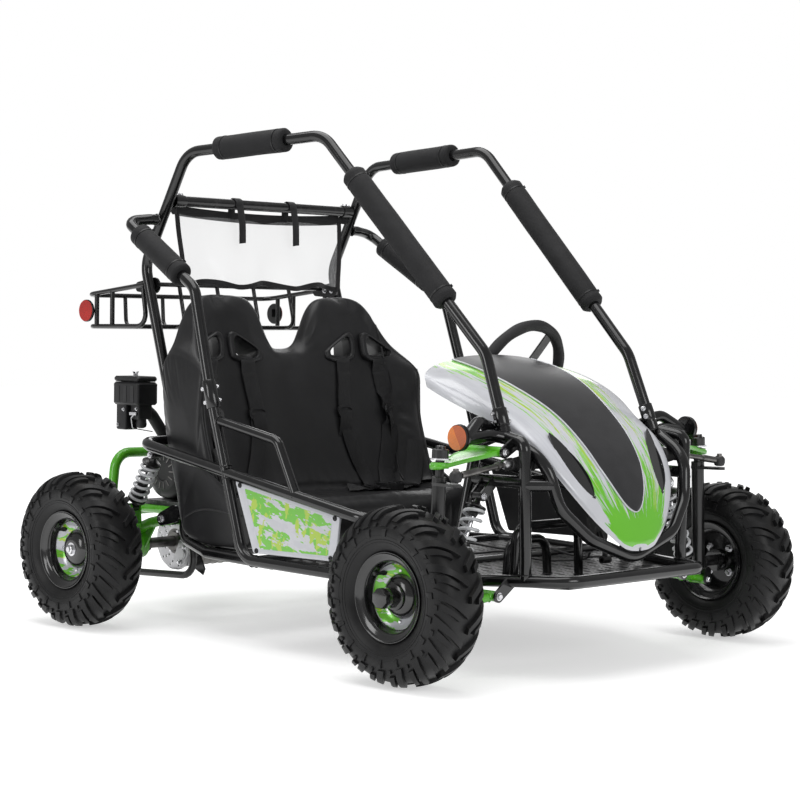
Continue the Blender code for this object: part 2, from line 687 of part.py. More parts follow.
def side_panel(side):
    """A moulded plate in the frame below the waist rail, with its field set in from a raised border."""
    gap = FRAME_FLAT + 2 * CLEAR
    corners = [(-0.285, waist_z(-0.285) - gap), (0.046, waist_z(0.046) - gap), (-0.016, 0.2060),
               (-0.272, 0.2100)]
    middle = Vector((sum(c[0] for c in corners) / 4, sum(c[1] for c in corners) / 4))
    levels = [(1.0, -0.003), (1.0, 0.002), (0.985, 0.003), (0.84, 0.003), (0.81, 0.0008)]
    bm = bmesh.new()
    rings = []
    for share, depth in levels:
        ring = []
        for c in corners:
            place = middle + (Vector(c) - middle) * share
            ring.append(bm.verts.new((side * (WAIST_X + depth), place.x, place.y)))
        rings.append(ring)
    for a, b in zip(rings, rings[1:]):
        bridge(bm, a, b)
    bm.faces.new(rings[0])
    bm.faces.new(rings[-1])
    add_piece(f"side_panel_{side_name(side)}", to_mesh(bm, "side_panel"), WHITE)


def cage_side(side):
    """One tube from the front socket over the driver's head and down behind the seat."""
    path = mirror_points(CAGE, side)
    mesh = tube(path, bend=CAGE_BENDS, sides=CAGE_SIDES, steps=3, reference=X_AXIS)
    add_piece(f"cage_tube_{side_name(side)}", mesh, BLACK)


def along(a, b, axis, level):
    """The point of a straight line at a given coordinate."""
    a, b = Vector(a), Vector(b)
    return a.lerp(b, (level - a[axis]) / (b[axis] - a[axis]))


def pad(name, side, a, b, bore=TUBE + 2 * CLEAR):
    """A foam sleeve on a straight stretch of tube."""
    path = mirror_points([a, b], side)
    mesh = sleeve(path, bore, PAD_RADIUS, reference=X_AXIS)
    add_piece(f"{name}_{side_name(side)}", mesh, FOAM)


def cage_pads(side):
    roof = [along(CAGE[2], CAGE[3], 1, y) for y in (0.262, 0.054)]
    pad("roof_pad", side, *roof)
    pillar = [Vector(CAGE[2]).lerp(Vector(CAGE[1]), share) for share in PILLAR_PAD]
    pad("pillar_pad", side, *pillar)
    arm = [along(SHOULDER[2], SHOULDER[3], 2, z) for z in (0.902, 0.806)]
    pad("shoulder_pad", side, *arm, bore=TUBE / math.cos(math.pi / CAGE_SIDES) + CLEAR)


def cage_crossbar():
    """Tube between the cage sides behind the seats, with a thicker sleeve at each end."""
    seat = along(CAGE[3], CAGE[4], 2, 0.983)
    end = seat.x - CAGE_FLAT - 2 * CLEAR
    stations = [(-end, TUBE + 0.0025), (-end + 0.028, TUBE + 0.0025), (-end + 0.029, TUBE),
                (end - 0.029, TUBE), (end - 0.028, TUBE + 0.0025), (end, TUBE + 0.0025)]
    mesh = stepped([(x, seat.y, seat.z) for x, _ in stations], [r for _, r in stations], sides=8)
    add_piece("cage_crossbar", mesh, BLACK)


def shoulder_bar(side):
    """Bar from the rear hoop round to the side upright, with a socket over the upright's end."""
    bar = tube(mirror_points(SHOULDER, side), bend=0.045, sides=CAGE_SIDES, steps=3)
    ends = mirror_points([upright_point(z) for z in (0.505, 0.512, 0.5543, 0.575)], side)
    socket = tube([ends[1], ends[3]], radius=TUBE + 0.003, reference=X_AXIS)
    bore = tube([ends[0], ends[2]], radius=TUBE + 2 * CLEAR, reference=X_AXIS)
    add_piece(f"shoulder_bar_{side_name(side)}", cut(fuse([bar, socket]), [bore]), BLACK)


BASKET_X = 0.294
CAGE_REAR = (0.302, 0.505)      # x and y of the cage's rear bend, which carries the basket
BASKET_PLATE_X = CAGE_REAR[0] - CAGE_FLAT - 0.0003515   # outer face of its side plates
BASKET_REAR_Y = 0.7405
BASKET_TOP_Z = 0.763
BASKET_FLOOR_Z = 0.690
ROD = 0.0055


def rear_basket():
    """Rod basket behind the cage: rim, floor frame, lengthwise rods and a bolted plate at each side."""
    x, rear, top, floor = BASKET_X, BASKET_REAR_Y, BASKET_TOP_Z, BASKET_FLOOR_Z
    front = CAGE_REAR[1] + TUBE + 0.0005
    rim = [(x, front, 0.788), (x, rear, top)]
    base = [(x, front + 0.006, 0.785), (x, 0.507, floor), (x, rear - 0.005, floor - 0.003)]
    parts = []
    for half in (rim, base):
        around = mirror_points(half, 1) + list(reversed(mirror_points(half, -1)))
        parts.append(tube(around, radius=ROD, bend=0.03, sides=6, steps=2))
    for y, z in ((0.532, 0.7895), (0.545, floor - 0.0010)):
        parts.append(tube([(-x, y, z), (x, y, z)], radius=ROD * 0.93, sides=6))
    for k in range(4):
        slat_x = (k - 1.5) * 0.118
        slat = [(slat_x, 0.532, 0.7895), (slat_x, 0.507, floor), (slat_x, rear - 0.005, floor - 0.003),
                (slat_x, rear, top)]
        parts.append(tube(slat, radius=ROD * 0.85, bend=0.02, sides=5, steps=1))
    for side in (1, -1):
        low, high = sorted((side * (BASKET_PLATE_X - 0.005), side * BASKET_PLATE_X))
        parts.append(prism(round_outline((0.487, 0.786), (0.545, 0.783), 0.019, 0.012), "X", low, high))
        post = [(x * side, rear - 0.040, floor - 0.001), (x * side, rear - 0.040, 0.767)]
        parts.append(tube(post, radius=ROD, sides=6))
    add_piece("rear_basket", fuse(parts), BLACK)


SEAT_STATIONS = [
    (0.000, 0.640, 0.000, 0.000), (0.050, 0.648, 0.000, 0.000), (0.100, 0.715, 0.004, 0.004),
    (0.140, 0.752, 0.006, 0.008), (SEAT_CENTRE_X, SEAT_TOP, 0.000, 0.000), (0.272, 0.752, 0.006, 0.008),
    (0.286, 0.742, 0.008, 0.014), (0.322, 0.668, 0.020, 0.045), (SEAT_HALF - 0.010, 0.612, 0.026, 0.062),
    (SEAT_HALF, 0.598, 0.016, 0.050),
]


def seat_outline(station):
    """The side view of the bench at one place across: (y, z) points from the front lip, over and back."""
    x, top, lift, wing = station
    outer = x > 0.28
    base = SEAT_BASE_Z
    rear = SEAT_BOTTOM_Z + 2 * TUBE + 0.001 if outer else SEAT_BOTTOM_Z
    tuck = TUBE - 0.0005 if outer else 0.0    # room for the frame's seat tubes
    return [
        (SEAT_FRONT_Y + 0.006, SEAT_BOTTOM_Z), (SEAT_FRONT_Y, base - 0.030),
        (SEAT_FRONT_Y + 0.018, base + lift * 0.6), (0.165, base - 0.010 + lift),
        (0.244 - wing, base + 0.002 + lift), (0.272 - wing, 0.355), (0.296 - wing, 0.480),
        (0.322 - wing, min(0.600, top - 0.030)), (0.352 - wing * 0.6, top - 0.010),
        (0.372 - wing * 0.3, top), (0.396 - wing * 0.2, top - 0.012),
        (0.404 - wing * 0.2, min(0.590, top - 0.030)),
        (0.3835 - tuck, 0.480), (0.3735 - tuck, 0.435), (0.3640 - 2.6 * tuck, 0.360),
        (0.3340 - 2 * tuck, 0.262), (0.310 - tuck, 0.236), (0.310 - tuck, rear), (0.180, SEAT_BOTTOM_Z),
    ]


def seat():
    """One moulded bench: two buckets with head rests, joined in the middle, with raised sides."""
    rows = [(-s[0], s) for s in reversed(SEAT_STATIONS[1:])] + [(s[0], s) for s in SEAT_STATIONS]
    bm = bmesh.new()
    rings = [[bm.verts.new((x, y, z)) for y, z in seat_outline(station)] for x, station in rows]
    for a, b in zip(rings, rings[1:]):
        bridge(bm, a, b)
    bm.faces.new(rings[0])
    bm.faces.new(rings[-1])
    add_piece("seat", to_mesh(bm, "seat"), VINYL, smooth=50)


def rim(side, axle_y, wheel_x, bore, bore_end, cap):
    """Pressed wheel: two flanges, barrel, centre disc, hub and a closed cap over the axle's end."""
    profile = [
        (0.0, bore_end), (bore, bore_end), (bore, -0.024), (0.026, -0.024), (0.026, 0.001), (0.0625, 0.001),
        (0.0625, -0.040), (RIM_RADIUS, -RIM_HALF), (RIM_RADIUS, -0.0445),
        (0.068, -0.040), (0.068, 0.040), (RIM_RADIUS, 0.0445), (RIM_RADIUS, RIM_HALF),
        (0.0625, 0.040), (0.0625, 0.006), (0.020, 0.006), (0.018, cap), (0.0, cap),
    ]
    centre = (wheel_x * side, axle_y, AXLE_Z)
    return lathe(profile, centre, side, WHEEL_SEGMENTS), centre


def tyre(side, axle_y, wheel_x):
    """Open-bodied tyre: two beads on the rim, side walls, shoulders and tread."""
    tread = TYRE_RADIUS / math.cos(math.pi / WHEEL_SEGMENTS)
    half = TYRE_WIDTH / 2
    outer = [(0.0690, 0.031), (0.0690, 0.0392), (0.0890, 0.0436), (0.125, half), (0.164, half - 0.006),
             (tread, 0.036)]
    inner = [(0.160, half - 0.014)]
    profile = outer + [(r, -o) for r, o in reversed(outer)] + [(r, -o) for r, o in reversed(inner)] + inner
    return lathe(profile, (wheel_x * side, axle_y, AXLE_Z), side, WHEEL_SEGMENTS)


def wheels():
    for side in (1, -1):
        name = side_name(side)
        mesh, centre = rim(side, FRONT_AXLE_Y, FRONT_WHEEL_X, SPINDLE_R + CLEAR, 0.028, 0.070)
        add_piece(f"front_rim_{name}", mesh, GREEN, centre)
        add_piece(f"front_tyre_{name}", tyre(side, FRONT_AXLE_Y, FRONT_WHEEL_X), RUBBER, centre, 50)
        axle = (0, REAR_AXLE_Y, AXLE_Z)
        mesh, centre = rim(side, REAR_AXLE_Y, REAR_WHEEL_X, AXLE_R + 2 * CLEAR, 0.016, 0.036)
        add_piece(f"rear_rim_{name}", mesh, GREEN, axle)
        add_piece(f"rear_tyre_{name}", tyre(side, REAR_AXLE_Y, REAR_WHEEL_X), RUBBER, axle, 50)


def rear_axle():
    """Live axle with its sprocket and hub."""
    y, z = REAR_AXLE_Y, AXLE_Z
    end = REAR_WHEEL_X + 0.015
    parts = [tube([(-end, y, z), (end, y, z)], radius=AXLE_R, sides=10)]
    hub = [(SPROCKET_X - 0.016, 0.024), (SPROCKET_X - 0.003, 0.024), (SPROCKET_X - 0.003, SPROCKET_R),
           (SPROCKET_X + 0.003, SPROCKET_R), (SPROCKET_X + 0.003, 0.020), (SPROCKET_X + 0.010, 0.020)]
    parts.append(stepped([(x, y, z) for x, _ in hub], [r for _, r in hub], sides=20))
    add_piece("rear_axle", fuse(parts), STEEL, (0, y, z))


def brake_disc():
    bore = AXLE_R + CLEAR * 1.5
    profile = [(bore, -0.010), (0.024, -0.010), (0.024, -0.002), (DISC_R, -0.002), (DISC_R, 0.002),
               (0.024, 0.002), (0.024, 0.016), (bore, 0.016)]
    centre = (DISC_X, REAR_AXLE_Y, AXLE_Z)
    add_piece("brake_disc", lathe(profile, centre, 1, 16), STEEL, (0, REAR_AXLE_Y, AXLE_Z))


def chain_arc(centre, radius, start, end, steps):
    """Points of an arc in the (y, z) plane."""
    out = []
    for k in range(steps + 1):
        a = start + (end - start) * k / steps
        out.append((centre[0] + radius * math.cos(a), centre[1] + radius * math.sin(a)))
    return out


def drive_chain():
    """Closed loop round the sprocket and the clutch."""
    big, small = (REAR_AXLE_Y, AXLE_Z), (CRANK_Y, CRANK_Z)
    heading = math.atan2(small[1] - big[1], small[0] - big[0])
    apart = math.hypot(small[0] - big[0], small[1] - big[1])
    spread = math.acos((SPROCKET_R - CLUTCH_R) / apart)
    bm = bmesh.new()
    rings = []
    steps_big, steps_small = 14, 7
    wide_big, wide_small = 2 * math.pi - 2 * spread, 2 * spread
    for level in (SPROCKET_X - 0.004, SPROCKET_X + 0.004):
        for thick in (0.0, 0.006):
            loop = []
            ease = math.cos(wide_big / steps_big / 2) if thick == 0.0 else 1.0
            reach = (SPROCKET_R + 2 * CLEAR) / ease + thick
            loop += chain_arc(big, reach, heading + spread, heading + spread + wide_big, steps_big)
            ease = math.cos(wide_small / steps_small / 2) if thick == 0.0 else 1.0
            reach = (CLUTCH_R + 2 * CLEAR) / ease + thick
            loop += chain_arc(small, reach, heading - spread, heading + spread, steps_small)
            rings.append([bm.verts.new((level, y, z)) for y, z in loop])
    for a, b in ((0, 1), (1, 3), (3, 2), (2, 0)):
        bridge(bm, rings[a], rings[b])
    add_piece("drive_chain", to_mesh(bm, "chain"), STEEL, (0, PIVOT_Y, PIVOT_Z))


def clutch():
    """Clutch drum and its small sprocket on the crankshaft."""
    bore = 0.0104
    profile = [(bore, -0.004), (CLUTCH_R, -0.004), (CLUTCH_R, 0.004), (0.024, 0.007), (0.041, 0.008),
               (0.041, 0.026), (0.020, 0.027), (0.020, 0.031), (bore, 0.031)]
    centre = (SPROCKET_X, CRANK_Y, CRANK_Z)
    add_piece("clutch_sprocket", lathe(profile, centre, 1, 12), STEEL, centre)


def engine():
    """Crankcase, finned cylinder, cowl, tank, air box and silencer in one unit."""
    low = ENGINE_Z + CLEAR
    parts = [block((-0.095, 0.572, low), (0.120, 0.705, 0.372))]
    parts.append(block((-0.060, 0.600, 0.360), (0.105, 0.700, 0.430)))
    for k in range(4):
        z = 0.380 + k * 0.0140
        parts.append(block((-0.076, 0.586, z), (0.118, 0.712, z + 0.0045)))
    cowl = [(x, CRANK_Y, CRANK_Z) for x in (-0.150, -0.143, -0.092)]
    parts.append(stepped(cowl, [0.052, 0.068, 0.072], sides=12))
    parts.append(tube([(0.110, CRANK_Y, CRANK_Z), (0.246, CRANK_Y, CRANK_Z)], radius=0.010, sides=12))
    parts.append(stepped([(0.110, CRANK_Y, CRANK_Z), (0.136, CRANK_Y, CRANK_Z)], [0.034, 0.028], sides=12))
    tank = round_outline((0.612, 0.458), (0.690, 0.458), 0.036, 0.036, 3)
    parts.append(prism(tank, "X", -0.040, 0.140))
    parts.append(stepped([(0.060, 0.652, 0.485), (0.060, 0.652, 0.510)], [0.022, 0.022], sides=12))
    parts.append(block((-0.232, 0.6185, 0.495), (-0.166, 0.718, 0.569)))
    neck = [(-0.196, 0.664, 0.520), (-0.150, 0.664, 0.470), (-0.100, 0.664, 0.405), (-0.060, 0.664, 0.400)]
    parts.append(tube(neck, radius=0.015, bend=0.03, steps=2))
    exhaust = [(-0.060, 0.590, 0.352), (-0.060, 0.545, 0.340), (-0.060, 0.548, 0.160)]
    parts.append(tube(exhaust, radius=0.0105, bend=0.02, steps=2))
    silencer = [(x, 0.560, 0.143) for x in (-0.160, -0.154, 0.024, 0.030)]
    parts.append(stepped(silencer, [0.030, 0.037, 0.037, 0.030], sides=12))
    add_piece("engine", fuse(parts), CAST, (0, PIVOT_Y, PIVOT_Z))


def swing_arm():
    """Rear arm: pivot eyes, side arms, axle housings, engine rails and plate, rear hoop and disc guard."""
    parts = []
    half = PIVOT_X
    rear = [(half, PIVOT_Y, PIVOT_Z), (half, 0.440, 0.232), (0.3275, REAR_AXLE_Y, 0.212),
            (0.322, 0.560, 0.212), (0.215, REAR_FACE_Y, 0.230), (HOOP_X, REAR_FACE_Y, HOOP_Z)]
    loop = mirror_points(rear, 1) + list(reversed(mirror_points(rear, -1)))
    parts.append(tube(loop, bend=0.045, steps=2))
    parts.append(tube([(-half, 0.412, 0.2395), (half, 0.412, 0.2395)]))
    parts.append(tube([(-0.215, REAR_FACE_Y, 0.232), (0.215, REAR_FACE_Y, 0.232)]))
    for side in (1, -1):
        eye = [((half - 0.0133) * side, PIVOT_Y, PIVOT_Z), ((half + 0.0133) * side, PIVOT_Y, PIVOT_Z)]
        parts.append(tube(eye, radius=0.0135, sides=8))
        housing = [(0.311 * side, REAR_AXLE_Y, AXLE_Z), (0.344 * side, REAR_AXLE_Y, AXLE_Z)]
        parts.append(tube(housing, radius=0.032, sides=12))
        parts.append(tube([(0.130 * side, 0.412, 0.2395), (0.130 * side, REAR_FACE_Y, 0.2395)]))
        outline = [(0.424, 0.232), (0.474, 0.160), (0.492, 0.190), (0.470, 0.225)]
        parts.append(prism(outline, "X", 0.3255 * side - 0.0025, 0.3255 * side + 0.0025))
        y, z = REAR_SHOCK_FOOT
        low, high = sorted((0.330 * side, (REAR_SHOCK_X + 0.0145) * side))
        parts.append(block((low, y - 0.015, 0.2225), (high, y + 0.015, 0.230)))
        for offset in (-0.0125, 0.0125):
            x = (REAR_SHOCK_X + offset) * side
            ear = round_outline((y, 0.234), (y, z), 0.0115, 0.0095)
            parts.append(prism(ear, "X", x - 0.002, x + 0.002))
        pin = [((REAR_SHOCK_X - 0.018) * side, y, z), ((REAR_SHOCK_X + 0.018) * side, y, z)]
        parts.append(tube(pin, radius=0.0042))
    parts.append(block((-0.140, 0.566, 0.249), (0.140, 0.712, ENGINE_Z)))
    guard = [(-0.235, 0.412, 0.236), (-0.235, 0.392, 0.105), (-0.235, 0.620, 0.095), (-0.244, 0.690, 0.226)]
    parts.append(tube(guard, radius=0.0085, bend=0.04, steps=2))
    bores = []
    for side in (1, -1):
        bores.append(tube([(0.30 * side, REAR_AXLE_Y, AXLE_Z), (0.36 * side, REAR_AXLE_Y, AXLE_Z)],
                          radius=AXLE_R + 0.0007, sides=12))
        bores.append(tube([(0.30 * side, PIVOT_Y, PIVOT_Z), (0.36 * side, PIVOT_Y, PIVOT_Z)],
                          radius=PIN_BORE, sides=8))
    add_piece("swing_arm", cut(fuse(parts), bores), GREEN, (0, PIVOT_Y, PIVOT_Z))


def arm_sleeve(x, z, half, side):
    """A plain bush along Y, not yet bored."""
    ends = [(x * side, FRONT_AXLE_Y - half, z), (x * side, FRONT_AXLE_Y + half, z)]
    return tube(ends, radius=0.0105, sides=8)


def arm_bore(x, z, side):
    return tube([(x * side, FRONT_AXLE_Y - 0.07, z), (x * side, FRONT_AXLE_Y + 0.07, z)], radius=PIN_BORE)


def lower_arm(side):
    """Two bars between the frame bush and the kingpin bush, with ears for the shock."""
    inner, outer = lower_in(1), lower_out(1)
    parts = [arm_sleeve(inner.x, inner.z, ARM_HALF_Y, side),
             arm_sleeve(outer.x, outer.z, LOWER_OUT_HALF, side)]
    for fore in (1, -1):
        bar = [inner + Vector((0, fore * 0.042, 0)), outer + Vector((0, fore * 0.009, 0))]
        parts.append(tube(mirror_points(bar, side), radius=0.0085, sides=6))
    fx, fz = FRONT_SHOCK_FOOT
    base = along(inner, outer, 0, fx)
    saddle = [(fx - 0.014, base.z - 0.002), (fx + 0.014, base.z - 0.006),
              (fx + 0.014, base.z + 0.002), (fx - 0.014, base.z + 0.006)]
    parts.append(mirrored(prism(saddle, "Y", FRONT_AXLE_Y - 0.020, FRONT_AXLE_Y + 0.020), side))
    for offset in (-0.0125, 0.0125):
        y = FRONT_AXLE_Y + offset
        ear = prism(round_outline((fx, base.z), (fx, fz), 0.0115, 0.0095), "Y", y - 0.002, y + 0.002)
        parts.append(mirrored(ear, side))
    pin = [(fx * side, FRONT_AXLE_Y - 0.018, fz), (fx * side, FRONT_AXLE_Y + 0.018, fz)]
    parts.append(tube(pin, radius=0.0042, sides=6))
    bores = [arm_bore(inner.x, inner.z, side), arm_bore(outer.x, outer.z, side)]
    add_piece(f"lower_arm_{side_name(side)}", cut(fuse(parts), bores), GREEN, lower_in(side))


def upper_arm(side):
    """A tapering plate from the frame bush, with a clearance hole for the kingpin at its outer end."""
    inner, outer = upper_in(1), upper_out(1)
    reach = (outer - inner).length
    outline = [(0.002, 0.050), (0.002, -0.050), (reach * 0.55, -0.030)]
    for k in range(6):
        a = -math.pi / 2 + math.pi * k / 5
        outline.append((reach + 0.021 * math.cos(a), 0.021 * math.sin(a)))
    outline.append((reach * 0.55, 0.030))
    sheet = prism(outline, "Z", -0.004, 0.004)
    lean = math.atan2(ARM_DROP, ARM_RUN)
    sheet.transform(Matrix.Translation(inner) @ Matrix.Rotation(lean, 4, "Y"))
    parts = [arm_sleeve(inner.x, inner.z, ARM_HALF_Y, side), mirrored(sheet, side)]
    bores = [arm_bore(inner.x, inner.z, side)]
    bores.append(tube([kingpin_at(side, outer.z - 0.03), kingpin_at(side, outer.z + 0.03)], radius=0.0130,
                      sides=12))
    add_piece(f"upper_arm_{side_name(side)}", cut(fuse(parts), bores), GREEN, upper_in(side))


def kingpin(side):
    """Upright pin in a fork on the lower arm's bush, with a nut above the upper arm."""
    foot = lower_out(side)
    parts = [tube([kingpin_at(side, 0.158), kingpin_at(side, 0.4430)], radius=KINGPIN_R, sides=8)]
    parts.append(stepped([kingpin_at(side, 0.4415), kingpin_at(side, 0.4600), kingpin_at(side, 0.4665)],
                         [0.0165, 0.0165, 0.010], sides=8))
    x = abs(foot.x)
    low, high = sorted(((x - 0.0115) * side, (x + 0.0105) * side))
    reach = LOWER_OUT_HALF + CLEAR + PLATE
    parts.append(block((low, FRONT_AXLE_Y - reach, 0.1535), (high, FRONT_AXLE_Y + reach, 0.1645)))
    for fore in (1, -1):
        near = FRONT_AXLE_Y + fore * (LOWER_OUT_HALF + CLEAR)
        far = FRONT_AXLE_Y + fore * reach
        cheek = round_outline((x - 0.0005, 0.158), (x, foot.z), 0.0108, 0.0120)
        parts.append(mirrored(prism(cheek, "Y", min(near, far), max(near, far)), side))
    pin = [(foot.x, FRONT_AXLE_Y + fore * (reach + 0.004), foot.z) for fore in (-1, 1)]
    parts.append(tube(pin, radius=PIN, sides=6))
    add_piece(f"kingpin_{side_name(side)}", fuse(parts), BLACK, foot)


def knuckle(side):
    """Tube on the kingpin with the wheel spindle and the steering arm."""
    hub = kingpin_at(side, AXLE_Z)
    low, high = kingpin_at(side, 0.1657), kingpin_at(side, 0.4050)
    parts = [tube([low, high], radius=KNUCKLE_R, sides=10, reference=Y_AXIS)]
    spindle = [(hub.x, SPINDLE_R + 0.002), ((FRONT_WHEEL_X - 0.0245) * side, SPINDLE_R + 0.002),
               ((FRONT_WHEEL_X - 0.0245) * side, SPINDLE_R), ((FRONT_WHEEL_X + 0.0272) * side, SPINDLE_R)]
    parts.append(stepped([(x, FRONT_AXLE_Y, AXLE_Z) for x, _ in spindle], [r for _, r in spindle], sides=8))
    root = kingpin_at(1, STEER_ARM_Z)
    arm = prism(round_outline((root.x, FRONT_AXLE_Y), (TIE_END_X + 0.002, RACK_Y), 0.0155, 0.0120), "Z",
                STEER_ARM_Z - 0.003, STEER_ARM_Z + 0.003)
    parts.append(mirrored(arm, side))
    bore = tube([kingpin_at(side, 0.15), kingpin_at(side, 0.43)], radius=KINGPIN_R + 0.0007, sides=10,
                reference=Y_AXIS)
    add_piece(f"knuckle_{side_name(side)}", cut(fuse(parts), [bore]), BLACK, hub)


def shock(place, top, foot, spin, turns, body_end):
    """Damper in two halves with its spring; spin is the axis of its eyes."""
    top, foot = Vector(top), Vector(foot)
    down = (foot - top).normalized()
    reach = (foot - top).length
    half = 0.0102
    seat_low, seat_high = reach - SHOCK_SEAT, SHOCK_SEAT

    def at(distance):
        return top + down * distance

    def eye(centre):
        return tube([centre - spin * half, centre + spin * half], radius=0.0095)

    def eye_bore(centre):
        return tube([centre - spin * 0.03, centre + spin * 0.03], radius=EYE_BORE, sides=6)

    upper = [eye(top), stepped([at(0.004), at(seat_high - 0.0060), at(seat_high - 0.0035), at(seat_high)],
                               [0.0075, 0.0085, 0.0220, 0.0220], sides=10)]
    upper.append(tube([at(seat_high - 0.003), at(reach - body_end + SHOCK_GRIP)], radius=0.005, sides=6))
    mesh = cut(fuse(upper), [eye_bore(top)])
    add_piece(f"{place}_shock_upper", mesh, BLACK, top)

    cup = [at(reach - 0.004), at(seat_low + 0.0060), at(seat_low + 0.0035), at(seat_low)]
    lower = [eye(foot), stepped(cup, [0.0085, 0.0100, 0.0220, 0.0220], sides=10)]
    lower.append(tube([at(seat_low + 0.003), at(reach - body_end)], radius=0.0125))
    bore = tube([at(seat_low + 0.001), at(reach - body_end - 0.01)], radius=0.0063, sides=6)
    mesh = cut(fuse(lower), [eye_bore(foot), bore])
    add_piece(f"{place}_shock_lower", mesh, BLACK, foot)

    bm = bmesh.new()
    per_turn, sides = 6, 4
    u, v = axis_frame(down)
    start, end = seat_high + WIRE_R + CLEAR, seat_low - WIRE_R - CLEAR
    count = turns * per_turn
    path = []
    for k in range(count + 1):
        a = 2 * math.pi * k / per_turn
        rise = min(max((k - per_turn * 0.8) / (count - per_turn * 1.6), 0.0), 1.0)
        path.append(at(start + (end - start) * rise) + (u * math.cos(a) + v * math.sin(a)) * COIL_R)
    rings = []
    for k, point in enumerate(path):
        out = (point - at((point - top).dot(down))).normalized()
        ring = []
        for j in range(sides):
            a = 2 * math.pi * j / sides
            ring.append(bm.verts.new(point + (out * math.cos(a) + down * math.sin(a)) * WIRE_R))
        rings.append(ring)
    for a, b in zip(rings, rings[1:]):
        bridge(bm, a, b)
    bm.faces.new(rings[0])
    bm.faces.new(rings[-1])
    add_piece(f"{place}_shock_spring", to_mesh(bm, "spring"), SPRING, foot, 60)


def shocks():
    for side in (1, -1):
        name = side_name(side)
        top = (FRONT_SHOCK_TOP[0] * side, FRONT_AXLE_Y, FRONT_SHOCK_TOP[1])
        foot = (FRONT_SHOCK_FOOT[0] * side, FRONT_AXLE_Y, FRONT_SHOCK_FOOT[1])
        shock(f"front_{name}", top, foot, Y_AXIS, 7, 0.105)
        top = (REAR_SHOCK_X * side, REAR_SHOCK_TOP[0], REAR_SHOCK_TOP[1])
        foot = (REAR_SHOCK_X * side, REAR_SHOCK_FOOT[0], REAR_SHOCK_FOOT[1])
        shock(f"rear_{name}", top, foot, X_AXIS, 5, 0.078)


def rack_housing():
    """Rack tube with a ribbed boot at each end and the boss that takes the steering column."""
    bore = RACK_R / math.cos(math.pi / HOUSING_SIDES) + CLEAR
    half = [(HOUSING_R, BOOT_START_X - 0.002)]
    ribs = 3
    pitch = (BOOT_END_X - BOOT_START_X) / (2 * ribs)
    for k in range(2 * ribs + 1):
        half.append((BOOT_R if k % 2 else HOUSING_R - 0.001, BOOT_START_X + k * pitch))
    profile = [(bore, -BOOT_END_X), (bore, BOOT_END_X)] + list(reversed(half)) + [(r, -x) for r, x in half]
    parts = [lathe(profile, (0, RACK_Y, RACK_Z), 1, HOUSING_SIDES)]
    boss = [RACK_CENTRE + STEER_REACH * 0.0115, STEER_FOOT - STEER_REACH * 2 * CLEAR]
    parts.append(tube(boss, radius=0.0145, sides=8))
    add_piece("rack_housing", fuse(parts), FOAM)


def steering_rack():
    """Sliding bar with a drilled blade at each end."""
    end = RACK_END_X
    parts = [tube([(-end + 0.012, RACK_Y, RACK_Z), (end - 0.012, RACK_Y, RACK_Z)], radius=RACK_R, sides=10)]
    bores = []
    for side in (1, -1):
        blade = prism(round_outline((end - 0.016, RACK_Z), (end, RACK_Z), 0.0070, 0.0090), "Y",
                      RACK_Y - 0.0025, RACK_Y + 0.0025)
        parts.append(mirrored(blade, side))
        hole = [(end * side, RACK_Y - 0.02, RACK_Z), (end * side, RACK_Y + 0.02, RACK_Z)]
        bores.append(tube(hole, radius=0.0040, sides=6))
    add_piece("steering_rack", cut(fuse(parts), bores), STEEL, RACK_CENTRE)


def tie_rod(side):
    """Rod with a pinned fork on the rack's blade and a ball end over the steering arm."""
    inner, outer = Vector((RACK_END_X, RACK_Y, RACK_Z)), Vector((TIE_END_X, RACK_Y, TIE_END_Z))
    line = (outer - inner).normalized()
    line_length = (outer - inner).length
    stations = [(0.0130, 0.0075), (0.0240, 0.0075), (0.0260, 0.0055), (line_length - 0.0115, 0.0055),
                (line_length - 0.0085, 0.0085), (line_length, 0.0120), (line_length + 0.0085, 0.0085),
                (line_length + 0.0115, 0.0040)]
    ends = mirror_points([inner + line * place for place, _ in stations], side)
    parts = [stepped(ends, [r for _, r in stations], sides=8)]
    for fore in (1, -1):
        near, far = RACK_Y + fore * (0.0025 + CLEAR), RACK_Y + fore * 0.0066
        far_end = inner + line * 0.020
        cheek = round_outline((inner.x, inner.z), (far_end.x, far_end.z), 0.0085, 0.0065)
        parts.append(mirrored(prism(cheek, "Y", min(near, far), max(near, far)), side))
    pin = [(inner.x * side, RACK_Y - 0.0075, inner.z), (inner.x * side, RACK_Y + 0.0075, inner.z)]
    parts.append(tube(pin, radius=0.0032, sides=6))
    add_piece(f"tie_rod_{side_name(side)}", fuse(parts), STEEL, (inner.x * side, inner.y, inner.z))


